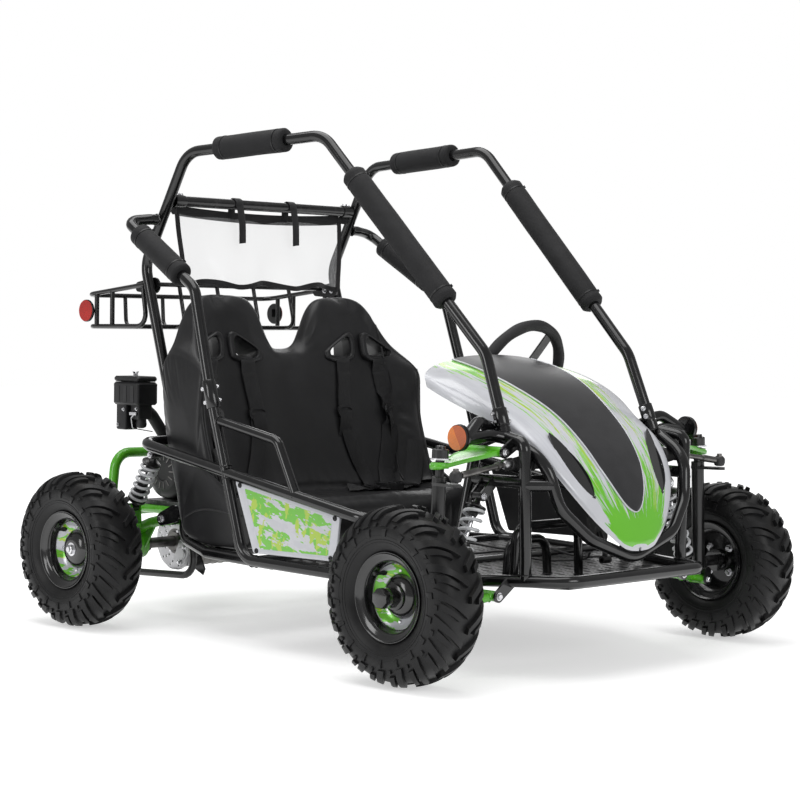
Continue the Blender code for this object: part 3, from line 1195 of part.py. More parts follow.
def steering_wheel():
    """Rim, three spokes and hub on the steering column."""
    reach = STEER_REACH
    u, v = axis_frame(reach, Z_AXIS)
    bm = bmesh.new()
    count, sides = 18, 6
    rings = []
    for k in range(count):
        a = 2 * math.pi * k / count
        out = u * math.cos(a) + v * math.sin(a)
        ring = []
        for j in range(sides):
            b = 2 * math.pi * j / sides
            ring.append(bm.verts.new(STEER_CENTRE + out * (STEER_R - 0.013 + 0.013 * math.cos(b))
                                     + reach * 0.013 * math.sin(b)))
        rings.append(ring)
    for a, b in zip(rings, rings[1:] + rings[:1]):
        bridge(bm, a, b)
    parts = [to_mesh(bm, "ring")]
    for k in range(3):
        a = math.pi * (1 + 2 * k / 3)
        out = u * math.cos(a) + v * math.sin(a)
        parts.append(tube([STEER_CENTRE - reach * 0.012, STEER_CENTRE + out * (STEER_R - 0.012)],
                          radius=0.009, sides=5))
    boss = [STEER_CENTRE + reach * place for place in (-0.030, 0.004, 0.010)]
    parts.append(stepped(boss, [0.026, 0.032, 0.026], sides=12))
    parts.append(tube([STEER_FOOT, STEER_CENTRE - reach * 0.02], radius=COLUMN_R, sides=10))
    add_piece("steering_wheel", fuse(parts), FOAM, STEER_CENTRE)


def pedal(name, x, width):
    """Pedal on its own pin: bush, arm and foot plate."""
    half = PEDAL_EAR - 0.002 - CLEAR
    parts = [tube([(x - half, PEDAL_Y, PEDAL_Z), (x + half, PEDAL_Y, PEDAL_Z)], radius=0.0085, sides=10)]
    parts.append(tube([(x, PEDAL_Y, PEDAL_Z), (x, PEDAL_Y + 0.018, 0.262)], radius=0.006))
    plate = block((x - width / 2, -0.003, -0.035), (x + width / 2, 0.003, 0.035))
    lean = Matrix.Rotation(math.radians(-20), 4, "X")
    plate.transform(Matrix.Translation((0, PEDAL_Y + 0.024, 0.270)) @ lean)
    parts.append(plate)
    bore = tube([(x - 0.05, PEDAL_Y, PEDAL_Z), (x + 0.05, PEDAL_Y, PEDAL_Z)], radius=0.0050, sides=10)
    add_piece(name, cut(fuse(parts), [bore]), BLACK, (x, PEDAL_Y, PEDAL_Z))


def build():
    clear_scene()
    main_frame()
    front_frame()
    nose_cone()
    nose_centre_panel()
    cage_crossbar()
    rear_basket()
    seat()
    wheels()
    rear_axle()
    brake_disc()
    drive_chain()
    clutch()
    engine()
    swing_arm()
    shocks()
    rack_housing()
    steering_rack()
    steering_wheel()
    pedal("brake_pedal", PEDALS[0], 0.056)
    pedal("throttle_pedal", PEDALS[1], 0.044)
    for side in (1, -1):
        cage_side(side)
        cage_pads(side)
        shoulder_bar(side)
        side_panel(side)
        lower_arm(side)
        upper_arm(side)
        kingpin(side)
        knuckle(side)
        tie_rod(side)


build()
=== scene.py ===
# %% [markdown]
# # A two-seat off-road kart, from frame to finish
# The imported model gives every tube, arm, wheel and shock its true size and place.
# This lesson leaves those sizes alone. It adds what the eye looks for on the real kart: round
# tubes, knobby tyres, stitched vinyl, foam sleeves, webbing, coils, fins, bolts and paint.
# Each step says what the piece is, how it could be made and why it is made this way.

import json
import math

import bmesh
import bpy
from mathutils import Matrix, Vector, noise
from mathutils.bvhtree import BVHTree


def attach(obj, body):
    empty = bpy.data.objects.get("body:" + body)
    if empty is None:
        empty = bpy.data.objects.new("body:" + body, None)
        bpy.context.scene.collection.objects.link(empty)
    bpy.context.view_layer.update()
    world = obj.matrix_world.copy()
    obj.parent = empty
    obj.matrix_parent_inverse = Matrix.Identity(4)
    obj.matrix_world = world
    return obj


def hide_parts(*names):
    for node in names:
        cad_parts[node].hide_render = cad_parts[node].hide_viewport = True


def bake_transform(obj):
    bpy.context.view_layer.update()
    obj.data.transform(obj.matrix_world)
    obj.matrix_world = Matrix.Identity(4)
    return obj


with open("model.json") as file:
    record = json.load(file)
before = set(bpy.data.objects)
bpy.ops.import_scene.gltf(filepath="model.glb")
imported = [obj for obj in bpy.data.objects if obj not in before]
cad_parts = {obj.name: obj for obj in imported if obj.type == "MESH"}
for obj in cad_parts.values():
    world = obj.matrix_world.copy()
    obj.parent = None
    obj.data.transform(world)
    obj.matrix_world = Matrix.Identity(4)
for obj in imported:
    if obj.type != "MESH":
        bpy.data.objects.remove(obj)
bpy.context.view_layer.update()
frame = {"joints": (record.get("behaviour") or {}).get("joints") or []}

# %% [markdown]
# ## Measures taken from the model
# The axles, the steering and the shocks are where the joints say they are, so those places are
# read from the record instead of being typed in again. Pieces written for the left side are
# turned over for the right side, because the kart is built in pairs.

# %% Joints and sides
JOINTS = {joint["name"]: joint for joint in frame["joints"]}
SIDES = {"left": 1, "right": -1}
X_AXIS, Y_AXIS, Z_AXIS = Vector((1, 0, 0)), Vector((0, 1, 0)), Vector((0, 0, 1))


def pivot(joint):
    """The point that a hinge turns about, in metres."""
    return Vector(JOINTS[joint]["pos_m"])


FRONT_WHEEL = pivot("front_wheel_spin_left")
REAR_AXLE = pivot("rear_axle_spin")
REAR_WHEEL_X = 0.490
WHEELS = {"front": FRONT_WHEEL, "rear": Vector((REAR_WHEEL_X, REAR_AXLE.y, REAR_AXLE.z))}
STEER_CENTRE = pivot("steering_turn")
STEER_AXIS = Vector(JOINTS["steering_turn"]["axis"]).normalized()
TUBE = 0.0125
print("front wheel at", tuple(FRONT_WHEEL), "rear axle at", tuple(REAR_AXLE))

# %% [markdown]
# ## Small building tools
# Most of the kart is bent tube, turned parts, cut plate and webbing. Blender's curve objects
# could draw the tubes, but a mesh made in code lets one object hold a whole welded group and
# keeps its points in the kart's own metres. So each tool below returns a part: points, faces
# and the number of its finish. A piece is a list of such parts.

# %% Bends and directions
def rounded_path(points, bend, steps=5):
    """Corner points with each inner corner swept round at the bend radius."""
    points = [Vector(p) for p in points]
    path = [points[0]]
    for before, corner, after in zip(points, points[1:], points[2:]):
        back, ahead = before - corner, after - corner
        half = back.angle(ahead) / 2
        if half > math.pi / 2 - 0.01:
            path.append(corner)
            continue
        reach = min(bend / math.tan(half), 0.48 * min(back.length, ahead.length))
        radius = reach * math.tan(half)
        centre = corner + (back.normalized() + ahead.normalized()).normalized() * (radius / math.sin(half))
        first = corner + back.normalized() * reach - centre
        last = corner + ahead.normalized() * reach - centre
        turn = first.angle(last)
        normal = first.cross(last).normalized()
        for k in range(steps + 1):
            path.append(centre + Matrix.Rotation(turn * k / steps, 3, normal) @ first)
    path.append(points[-1])
    return path


def square_to(direction, hint=None):
    """Two unit vectors square to a direction, the first as near as can be to the hint."""
    along = direction.normalized()
    hint = hint or (Z_AXIS if abs(along.z) < 0.9 else X_AXIS)
    first = (hint - along * hint.dot(along)).normalized()
    return first, along.cross(first)


def headings(path, closed=False):
    """The direction of a path at each of its points."""
    found = []
    count = len(path)
    for k in range(count):
        ahead = path[(k + 1) % count] - path[k] if closed or k < count - 1 else Vector()
        back = path[k] - path[k - 1] if closed or k else Vector()
        found.append((ahead.normalized() + back.normalized()).normalized())
    return found


def swing(first, second, angle):
    """The first direction turned by an angle towards the second."""
    return first * math.cos(angle) + second * math.sin(angle)


def circle(count, start=0.0):
    """Angles spaced evenly round a full turn."""
    return [start + 2 * math.pi * k / count for k in range(count)]


def flipped(points, side):
    """Points written for the left side, moved to the side asked for."""
    return [Vector((p[0] * side, p[1], p[2])) for p in points]


def smooth_path(points, steps=6):
    """A soft curve through every point given."""
    points = [Vector(p) for p in points]
    ends = [points[0] * 2 - points[1]] + points + [points[-1] * 2 - points[-2]]
    path = []
    for a, b, c, d in zip(ends, ends[1:], ends[2:], ends[3:]):
        for k in range(steps):
            t = k / steps
            path.append(0.5 * (2 * b + (c - a) * t + (2 * a - 5 * b + 4 * c - d) * t * t
                               + (3 * b - a - 3 * c + d) * t ** 3))
    return path + [points[-1]]


# %% Parts: rings joined into skins
def skin(rings, finish=0, closed=False, capped=True):
    """Faces between rings of the same count; each ring is a list of points."""
    count = len(rings[0])
    points = [p for ring in rings for p in ring]
    faces = []
    spans = len(rings) if closed else len(rings) - 1
    for r in range(spans):
        low, high = r * count, ((r + 1) % len(rings)) * count
        for j in range(count):
            n = (j + 1) % count
            faces.append((low + j, low + n, high + n, high + j))
    if capped and not closed:
        faces.append(tuple(range(count))[::-1])
        faces.append(tuple(range(len(points) - count, len(points))))
    return points, faces, finish


def tube(points, radius=TUBE, bend=0.055, sides=16, finish=0, steps=5, closed=False):
    """A bent round tube; radius is a number, or one for each point of a path that isn't bent."""
    path = [Vector(p) for p in points] if bend == 0 else rounded_path(points, bend, steps)
    ways = headings(path, closed)
    radii = radius if isinstance(radius, (list, tuple)) else [radius] * len(path)
    first = square_to(ways[0])[0]
    rings = []
    for point, way, r in zip(path, ways, radii):
        first = (first - way * first.dot(way)).normalized()
        rings.append([point + swing(first, way.cross(first), a) * r for a in circle(sides)])
    return skin(rings, finish, closed)


def straight_across(x, y, z, radius=TUBE, sides=20):
    """A tube from the right side to the left."""
    return tube([(-x, y, z), (x, y, z)], radius, 0, sides)


def turned(profile, centre, axis=X_AXIS, sides=48, finish=0, closed=False):
    """An outline of (distance along the axis, radius) turned about it."""
    axis = Vector(axis).normalized()
    first, second = square_to(axis)
    turns = [2 * math.pi * (j + 0.5) / sides for j in range(sides)]
    return skin([[Vector(centre) + axis * along + swing(first, second, a) * max(radius, 1e-5) for a in turns]
                 for along, radius in profile], finish, closed)


def even(half):
    """A turned outline with two like ends, from the half that is written out."""
    return half + [(-along, radius) for along, radius in reversed(half)]


def plate(outline, thickness, centre, first, second, finish=0, hole=None):
    """A flat outline of (first, second) distances with a thickness; hole is an inner outline of the same count."""
    centre, first, second = Vector(centre), Vector(first).normalized(), Vector(second).normalized()
    through = first.cross(second).normalized() * thickness / 2

    def ring(shape, side):
        return [centre + first * a + second * b + through * side for a, b in shape]

    if hole is None:
        return skin([ring(outline, -1), ring(outline, 1)], finish)
    return skin([ring(outline, -1), ring(outline, 1), ring(hole, 1), ring(hole, -1)], finish, closed=True)


def bar(centre, size, first=X_AXIS, second=Y_AXIS, finish=0):
    """A rectangular solid of size (first, second, third) about its centre."""
    a, b = size[0] / 2, size[1] / 2
    return plate([(-a, -b), (a, -b), (a, b), (-a, b)], size[2], centre, first, second, finish)


def link_outline(a, b, radius_a, radius_b, steps=10):
    """Two round ends joined by straight sides, as most brackets are cut."""
    a, b = Vector(a), Vector(b)
    along = (b - a).normalized()
    lean = math.asin((radius_a - radius_b) / (b - a).length)
    base = math.atan2(along.y, along.x)
    outline = []
    for centre, radius, start, sweep in ((a, radius_a, base + math.pi / 2 - lean, math.pi + 2 * lean),
                                         (b, radius_b, base - math.pi / 2 + lean, math.pi - 2 * lean)):
        for k in range(steps + 1):
            t = start + sweep * k / steps
            outline.append((centre.x + radius * math.cos(t), centre.y + radius * math.sin(t)))
    return outline


def disc_outline(radius, count=24, centre=(0, 0)):
    """Points round a circle."""
    return [(centre[0] + radius * math.cos(a), centre[1] + radius * math.sin(a)) for a in circle(count)]


def strap(path, width, thickness, facing, finish=0):
    """Flat webbing along a path; facing is the way its broad side looks, one vector or one for each point."""
    path = [Vector(p) for p in path]
    facings = facing if isinstance(facing, list) else [Vector(facing)] * len(path)
    rings = []
    for point, way, face in zip(path, headings(path), facings):
        face = (Vector(face) - way * Vector(face).dot(way)).normalized()
        across = way.cross(face)
        shape = [(-0.5, 0.15), (-0.47, 0.5), (0.47, 0.5), (0.5, 0.15), (0.5, -0.15), (0.47, -0.5), (-0.47, -0.5),
                 (-0.5, -0.15)]
        rings.append([point + across * (a * width) + face * (b * thickness) for a, b in shape])
    return skin(rings, finish)


def bolt(at, axis, size=0.006, finish=0, length=0.004):
    """A washer and a hexagon head standing on a surface; size is half the width over the head."""
    axis = Vector(axis).normalized()
    washer = turned([(-0.0004, size * 0.3), (-0.0004, size * 1.35), (0.0010, size * 1.35), (0.0012, size * 0.9)],
                    at, axis, 20, finish)
    head = turned([(0.0008, size), (length * 0.85, size), (length, size * 0.82)], at, axis, 6, finish)
    return [washer, head]


def bead(at, axis, radius, thickness=0.0022):
    """The raised ring of a weld round a tube's end."""
    axis = Vector(axis).normalized()
    first, second = square_to(axis)
    path = [Vector(at) + swing(first, second, a) * (radius + 0.0004 * math.sin(9 * a)) for a in circle(40)]
    return tube(path, thickness, bend=0, sides=8, closed=True)


def bolt_circle(centre, axis, radius, angles, size, finish, length):
    """Bolts round a centre, on a face that looks across the kart."""
    return [part for a in angles
            for part in bolt(centre + swing(Y_AXIS, Z_AXIS, a) * radius, axis, size, finish, length)]


def placed(name, data):
    """A new object in the scene with the mesh, curve, lamp or camera given."""
    thing = bpy.data.objects.new(name, data)
    bpy.context.scene.collection.objects.link(thing)
    return thing


def make_piece(name, parts, finishes, body, angle=40, soften=0.0, stands_for=()):
    """Join parts into one object, shade it, give it its finishes and let it ride on its body."""
    points, faces, slots = [], [], []
    for part_points, part_faces, number in parts:
        base = len(points)
        points += [tuple(p) for p in part_points]
        faces += [tuple(base + i for i in face) for face in part_faces]
        slots += [number] * len(part_faces)
    mesh = bpy.data.meshes.new(name)
    mesh.from_pydata(points, [], faces)
    mesh.polygons.foreach_set("material_index", slots)
    for material in finishes if isinstance(finishes, list) else [finishes]:
        mesh.materials.append(material)
    work = bmesh.new()
    work.from_mesh(mesh)
    bmesh.ops.recalc_face_normals(work, faces=work.faces)
    work.to_mesh(mesh)
    work.free()
    mesh.shade_smooth()
    mesh.set_sharp_from_angle(angle=math.radians(angle))
    piece = placed(name, mesh)
    if soften:
        edge = piece.modifiers.new("softened edges", "BEVEL")
        edge.width = soften
        edge.segments = 2
        edge.limit_method = "ANGLE"
        edge.angle_limit = math.radians(38)
    if body:
        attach(piece, body)
    if stands_for:
        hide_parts(*stands_for)
    return piece


def turned_over(parts, side):
    """Parts written for the left side, moved to the side asked for."""
    if side > 0:
        return parts
    return [([Vector((-p[0], p[1], p[2])) for p in points], [face[::-1] for face in faces], finish)
            for points, faces, finish in parts]


def baked(piece):
    """The piece's mesh with its modifiers applied, put in place of the old one."""
    shape = bpy.data.meshes.new_from_object(piece.evaluated_get(bpy.context.evaluated_depsgraph_get()))
    piece.modifiers.clear()
    piece.data = shape


def cut_through(piece, cutter, angle):
    """Take a cutter out of a piece and shade the result."""
    step = piece.modifiers.new("opening", "BOOLEAN")
    step.operation, step.object, step.solver = "DIFFERENCE", cutter, "EXACT"
    baked(piece)
    bpy.data.objects.remove(cutter)
    piece.data.shade_smooth()
    piece.data.set_sharp_from_angle(angle=math.radians(angle))


print("building tools ready")

# %% [markdown]
# ## Shared surface effects
# Powder coat, rubber, foam and vinyl all need small unevenness at the right scale, and
# everything that stands outdoors gathers a little dust on its upper sides. Each of these is a
# shader node group, made once and placed in every material with its own numbers. A group puts
# out only masks and heights. The shader itself stays in the material, where its fixed values
# are set on its own sockets.

# %% Node helpers
def feed(tree, value, target):
    """Link a socket to an input, or set the input to a plain value."""
    if isinstance(value, bpy.types.NodeSocket):
        tree.links.new(value, target)
    else:
        target.default_value = value


def add_node(tree, kind, values=None, **settings):
    """A node with its settings; each named input takes a socket or a plain value."""
    node = tree.nodes.new(kind)
    for key, value in settings.items():
        setattr(node, key, value)
    for key, value in (values or {}).items():
        feed(tree, value, node.inputs[key])
    return node


def maths(tree, operation, first, second=0.5, clamp=False):
    """A Math node; first and second are sockets or numbers."""
    return add_node(tree, "ShaderNodeMath", {0: first, 1: second}, operation=operation, use_clamp=clamp).outputs[0]


def step_up(tree, value, low, high):
    """0 below low, 1 above high, and soft in between."""
    return add_node(tree, "ShaderNodeMapRange", {"Value": value, "From Min": low, "From Max": high},
                    interpolation_type="SMOOTHSTEP").outputs["Result"]


def own_place(tree):
    """The piece's own coordinates, so that a pattern doesn't swim when the kart moves."""
    return add_node(tree, "ShaderNodeTexCoord").outputs["Object"]


def cloud(tree, spot, scale, detail, roughness, distortion=0.0):
    """Noise over the coordinates given."""
    return add_node(tree, "ShaderNodeTexNoise", {"Vector": spot, "Scale": scale, "Detail": detail,
                                                 "Roughness": roughness, "Distortion": distortion}).outputs["Fac"]


def new_group(name, inputs, outputs):
    """An empty node group with float inputs and named float outputs; returns the tree and its two ends."""
    tree = bpy.data.node_groups.new(name, "ShaderNodeTree")
    for label, value in inputs.items():
        socket = tree.interface.new_socket(label, in_out="INPUT", socket_type="NodeSocketFloat")
        socket.default_value = value
    for label in outputs:
        tree.interface.new_socket(label, in_out="OUTPUT", socket_type="NodeSocketFloat")
    return tree, tree.nodes.new("NodeGroupInput"), tree.nodes.new("NodeGroupOutput")


# %% Grain: two scales of noise, and a mask of cloudy patches
def grain_group():
    tree, given, out = new_group("grain", {"Fine Scale": 900.0, "Broad Scale": 30.0, "Roughness": 0.6},
                                 ["Height", "Patches"])
    spot = own_place(tree)
    for label, scale, detail in (("Height", "Fine Scale", 3.0), ("Patches", "Broad Scale", 4.0)):
        feed(tree, cloud(tree, spot, given.outputs[scale], detail, given.outputs["Roughness"]), out.inputs[label])
    return tree


def broken_mask(name, amount, scale, detail, roughness, source, apart, low, high, some):
    """A mask from one of the surface's own measures, broken up by noise so that only some of it shows."""
    tree, given, out = new_group(name, {"Amount": amount, "Scale": scale}, ["Mask"])
    level = add_node(tree, "ShaderNodeNewGeometry").outputs[source]
    if apart:
        level = add_node(tree, "ShaderNodeSeparateXYZ", {0: level}).outputs[apart]
    here = step_up(tree, level, low, high)
    broken = step_up(tree, cloud(tree, own_place(tree), given.outputs["Scale"], detail, roughness), *some)
    mask = maths(tree, "MULTIPLY", maths(tree, "MULTIPLY", here, broken), given.outputs["Amount"], clamp=True)
    feed(tree, mask, out.inputs["Mask"])
    return tree


# %% Dust lies on faces that look up; edges wear where the surface turns sharply
GRAIN = grain_group()
DUST = broken_mask("dust", 0.3, 25.0, 5.0, 0.65, "Normal", "Z", 0.1, 1.0, (0.42, 0.72))
WEAR = broken_mask("worn edges", 0.5, 60.0, 6.0, 0.7, "Pointiness", None, 0.54, 0.66, (0.50, 0.68))
print("shared effects:", [group.name for group in (GRAIN, DUST, WEAR)])


# %% [markdown]
# ## A finish and its layers
# Every finish starts from the same recipe: a base colour that drifts a little, a roughness
# that drifts with it, a fine relief, and masks for dust and bare edges. One function builds
# that recipe. What makes a finish special, such as a print, perforations or a weave, is added
# to its node tree afterwards.

# %% The common recipe
DUST_COLOUR = (0.33, 0.31, 0.28)


def mix_colour(tree, mask, first, second):
    """Blend two colours by a mask; each colour is a socket or a tuple."""
    node = add_node(tree, "ShaderNodeMix", {"Factor": mask}, data_type="RGBA")
    for label, value in (("A", first), ("B", second)):
        socket = next(s for s in node.inputs if s.name == label and s.type == "RGBA")
        feed(tree, (*value, 1.0) if isinstance(value, tuple) else value, socket)
    return next(s for s in node.outputs if s.type == "RGBA")


def finish(name, colour, roughness=0.4, metallic=0.0, fine=900.0, relief=0.1, depth=0.0004, broad=22.0, drift=0.25,
           dust=0.0, wear=0.0, bare=(0.35, 0.35, 0.36), coat=0.0, coat_roughness=0.1, sheen=0.0, spread=0.12,
           specular=0.5):
    """A Principled material with drifting colour and roughness, relief, dust and worn edges."""
    made = bpy.data.materials.new(name)
    made.use_nodes = True
    tree = made.node_tree
    shader = tree.nodes["Principled BSDF"]
    for label, value in (("Metallic", metallic), ("Coat Weight", coat), ("Coat Roughness", coat_roughness),
                         ("Sheen Weight", sheen), ("Specular IOR Level", specular)):
        shader.inputs[label].default_value = value
    grain = add_node(tree, "ShaderNodeGroup", {"Fine Scale": fine, "Broad Scale": broad}, node_tree=GRAIN)
    lighter = tuple(min(1.0, c * (1 + drift) + 0.004 * drift) for c in colour)
    darker = tuple(c * (1 - drift) for c in colour)
    shade = mix_colour(tree, step_up(tree, grain.outputs["Patches"], 0.3, 0.7), darker, lighter)
    rough = add_node(tree, "ShaderNodeMapRange",
                     {"Value": grain.outputs["Patches"], "To Min": max(0.02, roughness - spread / 2),
                      "To Max": min(1.0, roughness + spread / 2)}).outputs["Result"]
    if wear:
        worn = add_node(tree, "ShaderNodeGroup", {"Amount": wear}, node_tree=WEAR).outputs["Mask"]
        shade = mix_colour(tree, worn, shade, bare)
    if dust:
        dusty = add_node(tree, "ShaderNodeGroup", {"Amount": dust}, node_tree=DUST).outputs["Mask"]
        shade = mix_colour(tree, dusty, shade, DUST_COLOUR)
        rough = maths(tree, "ADD", rough, maths(tree, "MULTIPLY", dusty, 0.4), clamp=True)
    bump = add_node(tree, "ShaderNodeBump", {"Strength": relief, "Distance": depth, "Height": grain.outputs["Height"]},
                    name="relief")
    for label, value in (("Base Color", shade), ("Roughness", rough), ("Normal", bump.outputs["Normal"])):
        tree.links.new(value, shader.inputs[label])
    return made


def print_over(material, mask, colour):
    """Lay a colour over a finish wherever the mask is 1."""
    tree = material.node_tree
    target = tree.nodes["Principled BSDF"].inputs["Base Color"]
    tree.links.new(mix_colour(tree, mask, target.links[0].from_socket, colour), target)


def raise_relief(material, height, share=1.0):
    """Add a height to the relief that a finish already has."""
    tree = material.node_tree
    bump = tree.nodes["relief"]
    source = bump.inputs["Height"].links[0].from_socket
    tree.links.new(maths(tree, "ADD", source, maths(tree, "MULTIPLY", height, share)), bump.inputs["Height"])


# %% [markdown]
# ## Paints and metals
# The frame is black powder coat: glossy, with the faint orange peel that the powder leaves.
# The arms carry a bright green coat of the same kind. Springs are white, fasteners are zinc
# plated, and the axle, chain and disc are bare steel with an oily grey cast.

# %% Paints
frame_black = finish("frame_black", (0.006, 0.006, 0.0065), 0.17, fine=520, relief=0.05, depth=0.0005, drift=0.2,
                     dust=0.02, wear=0.10, coat=0.15, coat_roughness=0.04)
black_steel = finish("black_steel", (0.009, 0.009, 0.0095), 0.30, fine=700, relief=0.14, drift=0.25, dust=0.08,
                     wear=0.35, coat=0.15)
rim_black = finish("rim_black", (0.007, 0.007, 0.0075), 0.18, fine=420, relief=0.08, drift=0.2, dust=0.08,
                   wear=0.2, coat=0.5, coat_roughness=0.06)
arm_green = finish("arm_green", (0.115, 0.52, 0.022), 0.26, fine=520, relief=0.10, depth=0.0005, drift=0.07,
                   dust=0.05, wear=0.35, coat=0.4, coat_roughness=0.08)
spring_white = finish("spring_white", (0.66, 0.67, 0.69), 0.26, fine=500, relief=0.08, drift=0.05, dust=0.12,
                      wear=0.3, coat=0.4)
body_white = finish("body_white", (0.66, 0.67, 0.71), 0.24, fine=300, relief=0.04, drift=0.03, dust=0.03,
                    coat=0.5, coat_roughness=0.06)
print("paints ready")

# %% Metals
zinc = finish("zinc_plate", (0.66, 0.66, 0.68), 0.26, metallic=1.0, fine=1500, relief=0.12, depth=0.0002, drift=0.12)
bare_steel = finish("bare_steel", (0.42, 0.42, 0.43), 0.30, metallic=1.0, fine=1100, relief=0.16, depth=0.0002,
                    drift=0.2, spread=0.2)
dark_steel = finish("oiled_steel", (0.16, 0.155, 0.15), 0.36, metallic=1.0, fine=900, relief=0.18, depth=0.0002,
                    drift=0.3, spread=0.2)
alloy = finish("cast_alloy", (0.50, 0.50, 0.51), 0.42, metallic=1.0, fine=650, relief=0.35, depth=0.0004, drift=0.12)
chrome = finish("bright_chrome", (0.80, 0.80, 0.82), 0.10, metallic=1.0, fine=1200, relief=0.03, drift=0.03,
                spread=0.04)
print("metals ready")

# %% [markdown]
# ## Rubber, foam, plastic and fabric
# The soft finishes get their look from a deep, fine relief and a high roughness. Foam sleeves
# are closed-cell foam with tiny open pores. Webbing is woven, so its relief is a small regular
# weave. The weave uses the piece's own coordinates, so it doesn't swim when the kart moves.

# %% Soft finishes
tyre_rubber = finish("tyre_rubber", (0.0085, 0.0085, 0.009), 0.44, fine=420, relief=0.28, depth=0.0006, broad=14,
                     drift=0.3, dust=0.06, wear=0.10, bare=(0.035, 0.035, 0.035), spread=0.2, specular=0.28)
black_rubber = finish("black_rubber", (0.017, 0.017, 0.018), 0.55, fine=700, relief=0.2, drift=0.25, dust=0.1)
foam_black = finish("foam_sleeve", (0.013, 0.013, 0.014), 0.72, fine=1300, relief=0.40, depth=0.0005, drift=0.22,
                    dust=0.03, sheen=0.04, spread=0.1, specular=0.3)
grip_foam = finish("grip_foam", (0.017, 0.017, 0.018), 0.70, fine=1500, relief=0.45, depth=0.0005, drift=0.2)
vinyl = finish("seat_vinyl", (0.0125, 0.0125, 0.0135), 0.36, fine=780, relief=0.26, depth=0.0005, broad=9, drift=0.2,
               dust=0.02, sheen=0.02, spread=0.14, specular=0.36)
piping_vinyl = finish("seam_vinyl", (0.017, 0.017, 0.018), 0.5, fine=900, relief=0.3, drift=0.2)
black_plastic = finish("black_plastic", (0.013, 0.013, 0.014), 0.40, fine=620, relief=0.28, depth=0.0004, drift=0.2,
                       dust=0.04, specular=0.35)
gloss_plastic = finish("gloss_black_plastic", (0.012, 0.012, 0.013), 0.16, fine=420, relief=0.05, drift=0.15,
                       coat=0.5, coat_roughness=0.05)
panel_grey = finish("panel_grey", (0.032, 0.032, 0.034), 0.40, fine=650, relief=0.35, depth=0.0004, drift=0.12,
                    dust=0.02, specular=0.35)
amber_lens = finish("amber_lens", (0.85, 0.23, 0.02), 0.12, fine=500, relief=0.05, drift=0.1, coat=0.6)
orange_lens = finish("deep_amber_lens", (0.60, 0.12, 0.015), 0.14, fine=500, relief=0.05, drift=0.1, coat=0.6)
red_lens = finish("red_lens", (0.55, 0.022, 0.015), 0.12, fine=500, relief=0.05, drift=0.1, coat=0.6)
print("soft finishes ready")


# %% Woven webbing
def add_weave(material, scale, share):
    """A twill relief: two crossed wave patterns in the piece's own coordinates."""
    tree = material.node_tree
    waves = [add_node(tree, "ShaderNodeTexWave", {"Vector": own_place(tree), "Scale": scale, "Distortion": 0.0},
                      bands_direction=direction).outputs["Fac"] for direction in ("DIAGONAL", "Z")]
    raise_relief(material, maths(tree, "MULTIPLY", *waves), share)


webbing = finish("black_webbing", (0.011, 0.011, 0.012), 0.60, fine=1200, relief=0.5, depth=0.0004, drift=0.2,
                 sheen=0.08, specular=0.3)
add_weave(webbing, 260.0, 1.2)
print("webbing woven")

# %% [markdown]
# ## Camera, floor and light
# The photograph was taken from the kart's front right, a little above the axles, with a long
# lens. The camera here was fitted to the wheels, the floor line and the cage. The set is a
# white sweep under four large soft lamps, which is how catalogue pictures are lit. The floor
# shows nearly white to the camera, and still takes the soft shadows under the tyres.

# %% Camera
CAMERA_AT = Vector((-3.47958, -3.48336, 0.711375))
CAMERA_TURN, CAMERA_RISE, CAMERA_ROLL = (math.radians(v) for v in (-45.547, 2.122, 0.813))


def camera_matrix():
    """Right, up and back vectors of the camera as the columns of its matrix."""
    back = Vector((math.sin(CAMERA_TURN) * math.cos(CAMERA_RISE), -math.cos(CAMERA_TURN) * math.cos(CAMERA_RISE),
                   math.sin(CAMERA_RISE)))
    level = Vector((math.cos(CAMERA_TURN), math.sin(CAMERA_TURN), 0))
    up = back.cross(level)
    right = level * math.cos(CAMERA_ROLL) + up * math.sin(CAMERA_ROLL)
    above = up * math.cos(CAMERA_ROLL) - level * math.sin(CAMERA_ROLL)
    return Matrix((right, above, back)).transposed().to_4x4()


lens = bpy.data.cameras.new("camera")
lens.lens = 96.66
lens.shift_x = -0.00975
lens.shift_y = 0.0005
lens.clip_end = 60
camera = placed("camera", lens)
camera.matrix_world = Matrix.Translation(CAMERA_AT) @ camera_matrix()
bpy.context.scene.camera = camera
print("camera", round((CAMERA_AT - Vector((0, 0, 0.4))).length, 2), "m away")


# %% White sweep
def seen_directly(tree):
    """1 for rays that show the background itself: from the camera, by reflection or through glass."""
    ray = add_node(tree, "ShaderNodeLightPath")
    both = maths(tree, "MAXIMUM", ray.outputs["Is Camera Ray"], ray.outputs["Is Glossy Ray"])
    return maths(tree, "MAXIMUM", both, ray.outputs["Is Transmission Ray"])


def floor_finish():
    """Matt white that glows towards the camera, most of all far away, so that only shadows are grey."""
    made = bpy.data.materials.new("studio_floor")
    made.use_nodes = True
    tree = made.node_tree
    reach = add_node(tree, "ShaderNodeVectorMath", {0: own_place(tree)}, operation="LENGTH").outputs["Value"]
    far = add_node(tree, "ShaderNodeMapRange", {"Value": reach, "From Min": 0.7, "From Max": 2.4, "To Min": 0.50,
                                                "To Max": 0.80}).outputs["Result"]
    for label, value in (("Base Color", (0.80, 0.80, 0.80, 1)), ("Roughness", 0.9), ("Specular IOR Level", 0.1),
                         ("Emission Color", (1, 1, 1, 1)),
                         ("Emission Strength", maths(tree, "MULTIPLY", seen_directly(tree), far))):
        feed(tree, value, tree.nodes["Principled BSDF"].inputs[label])
    return made


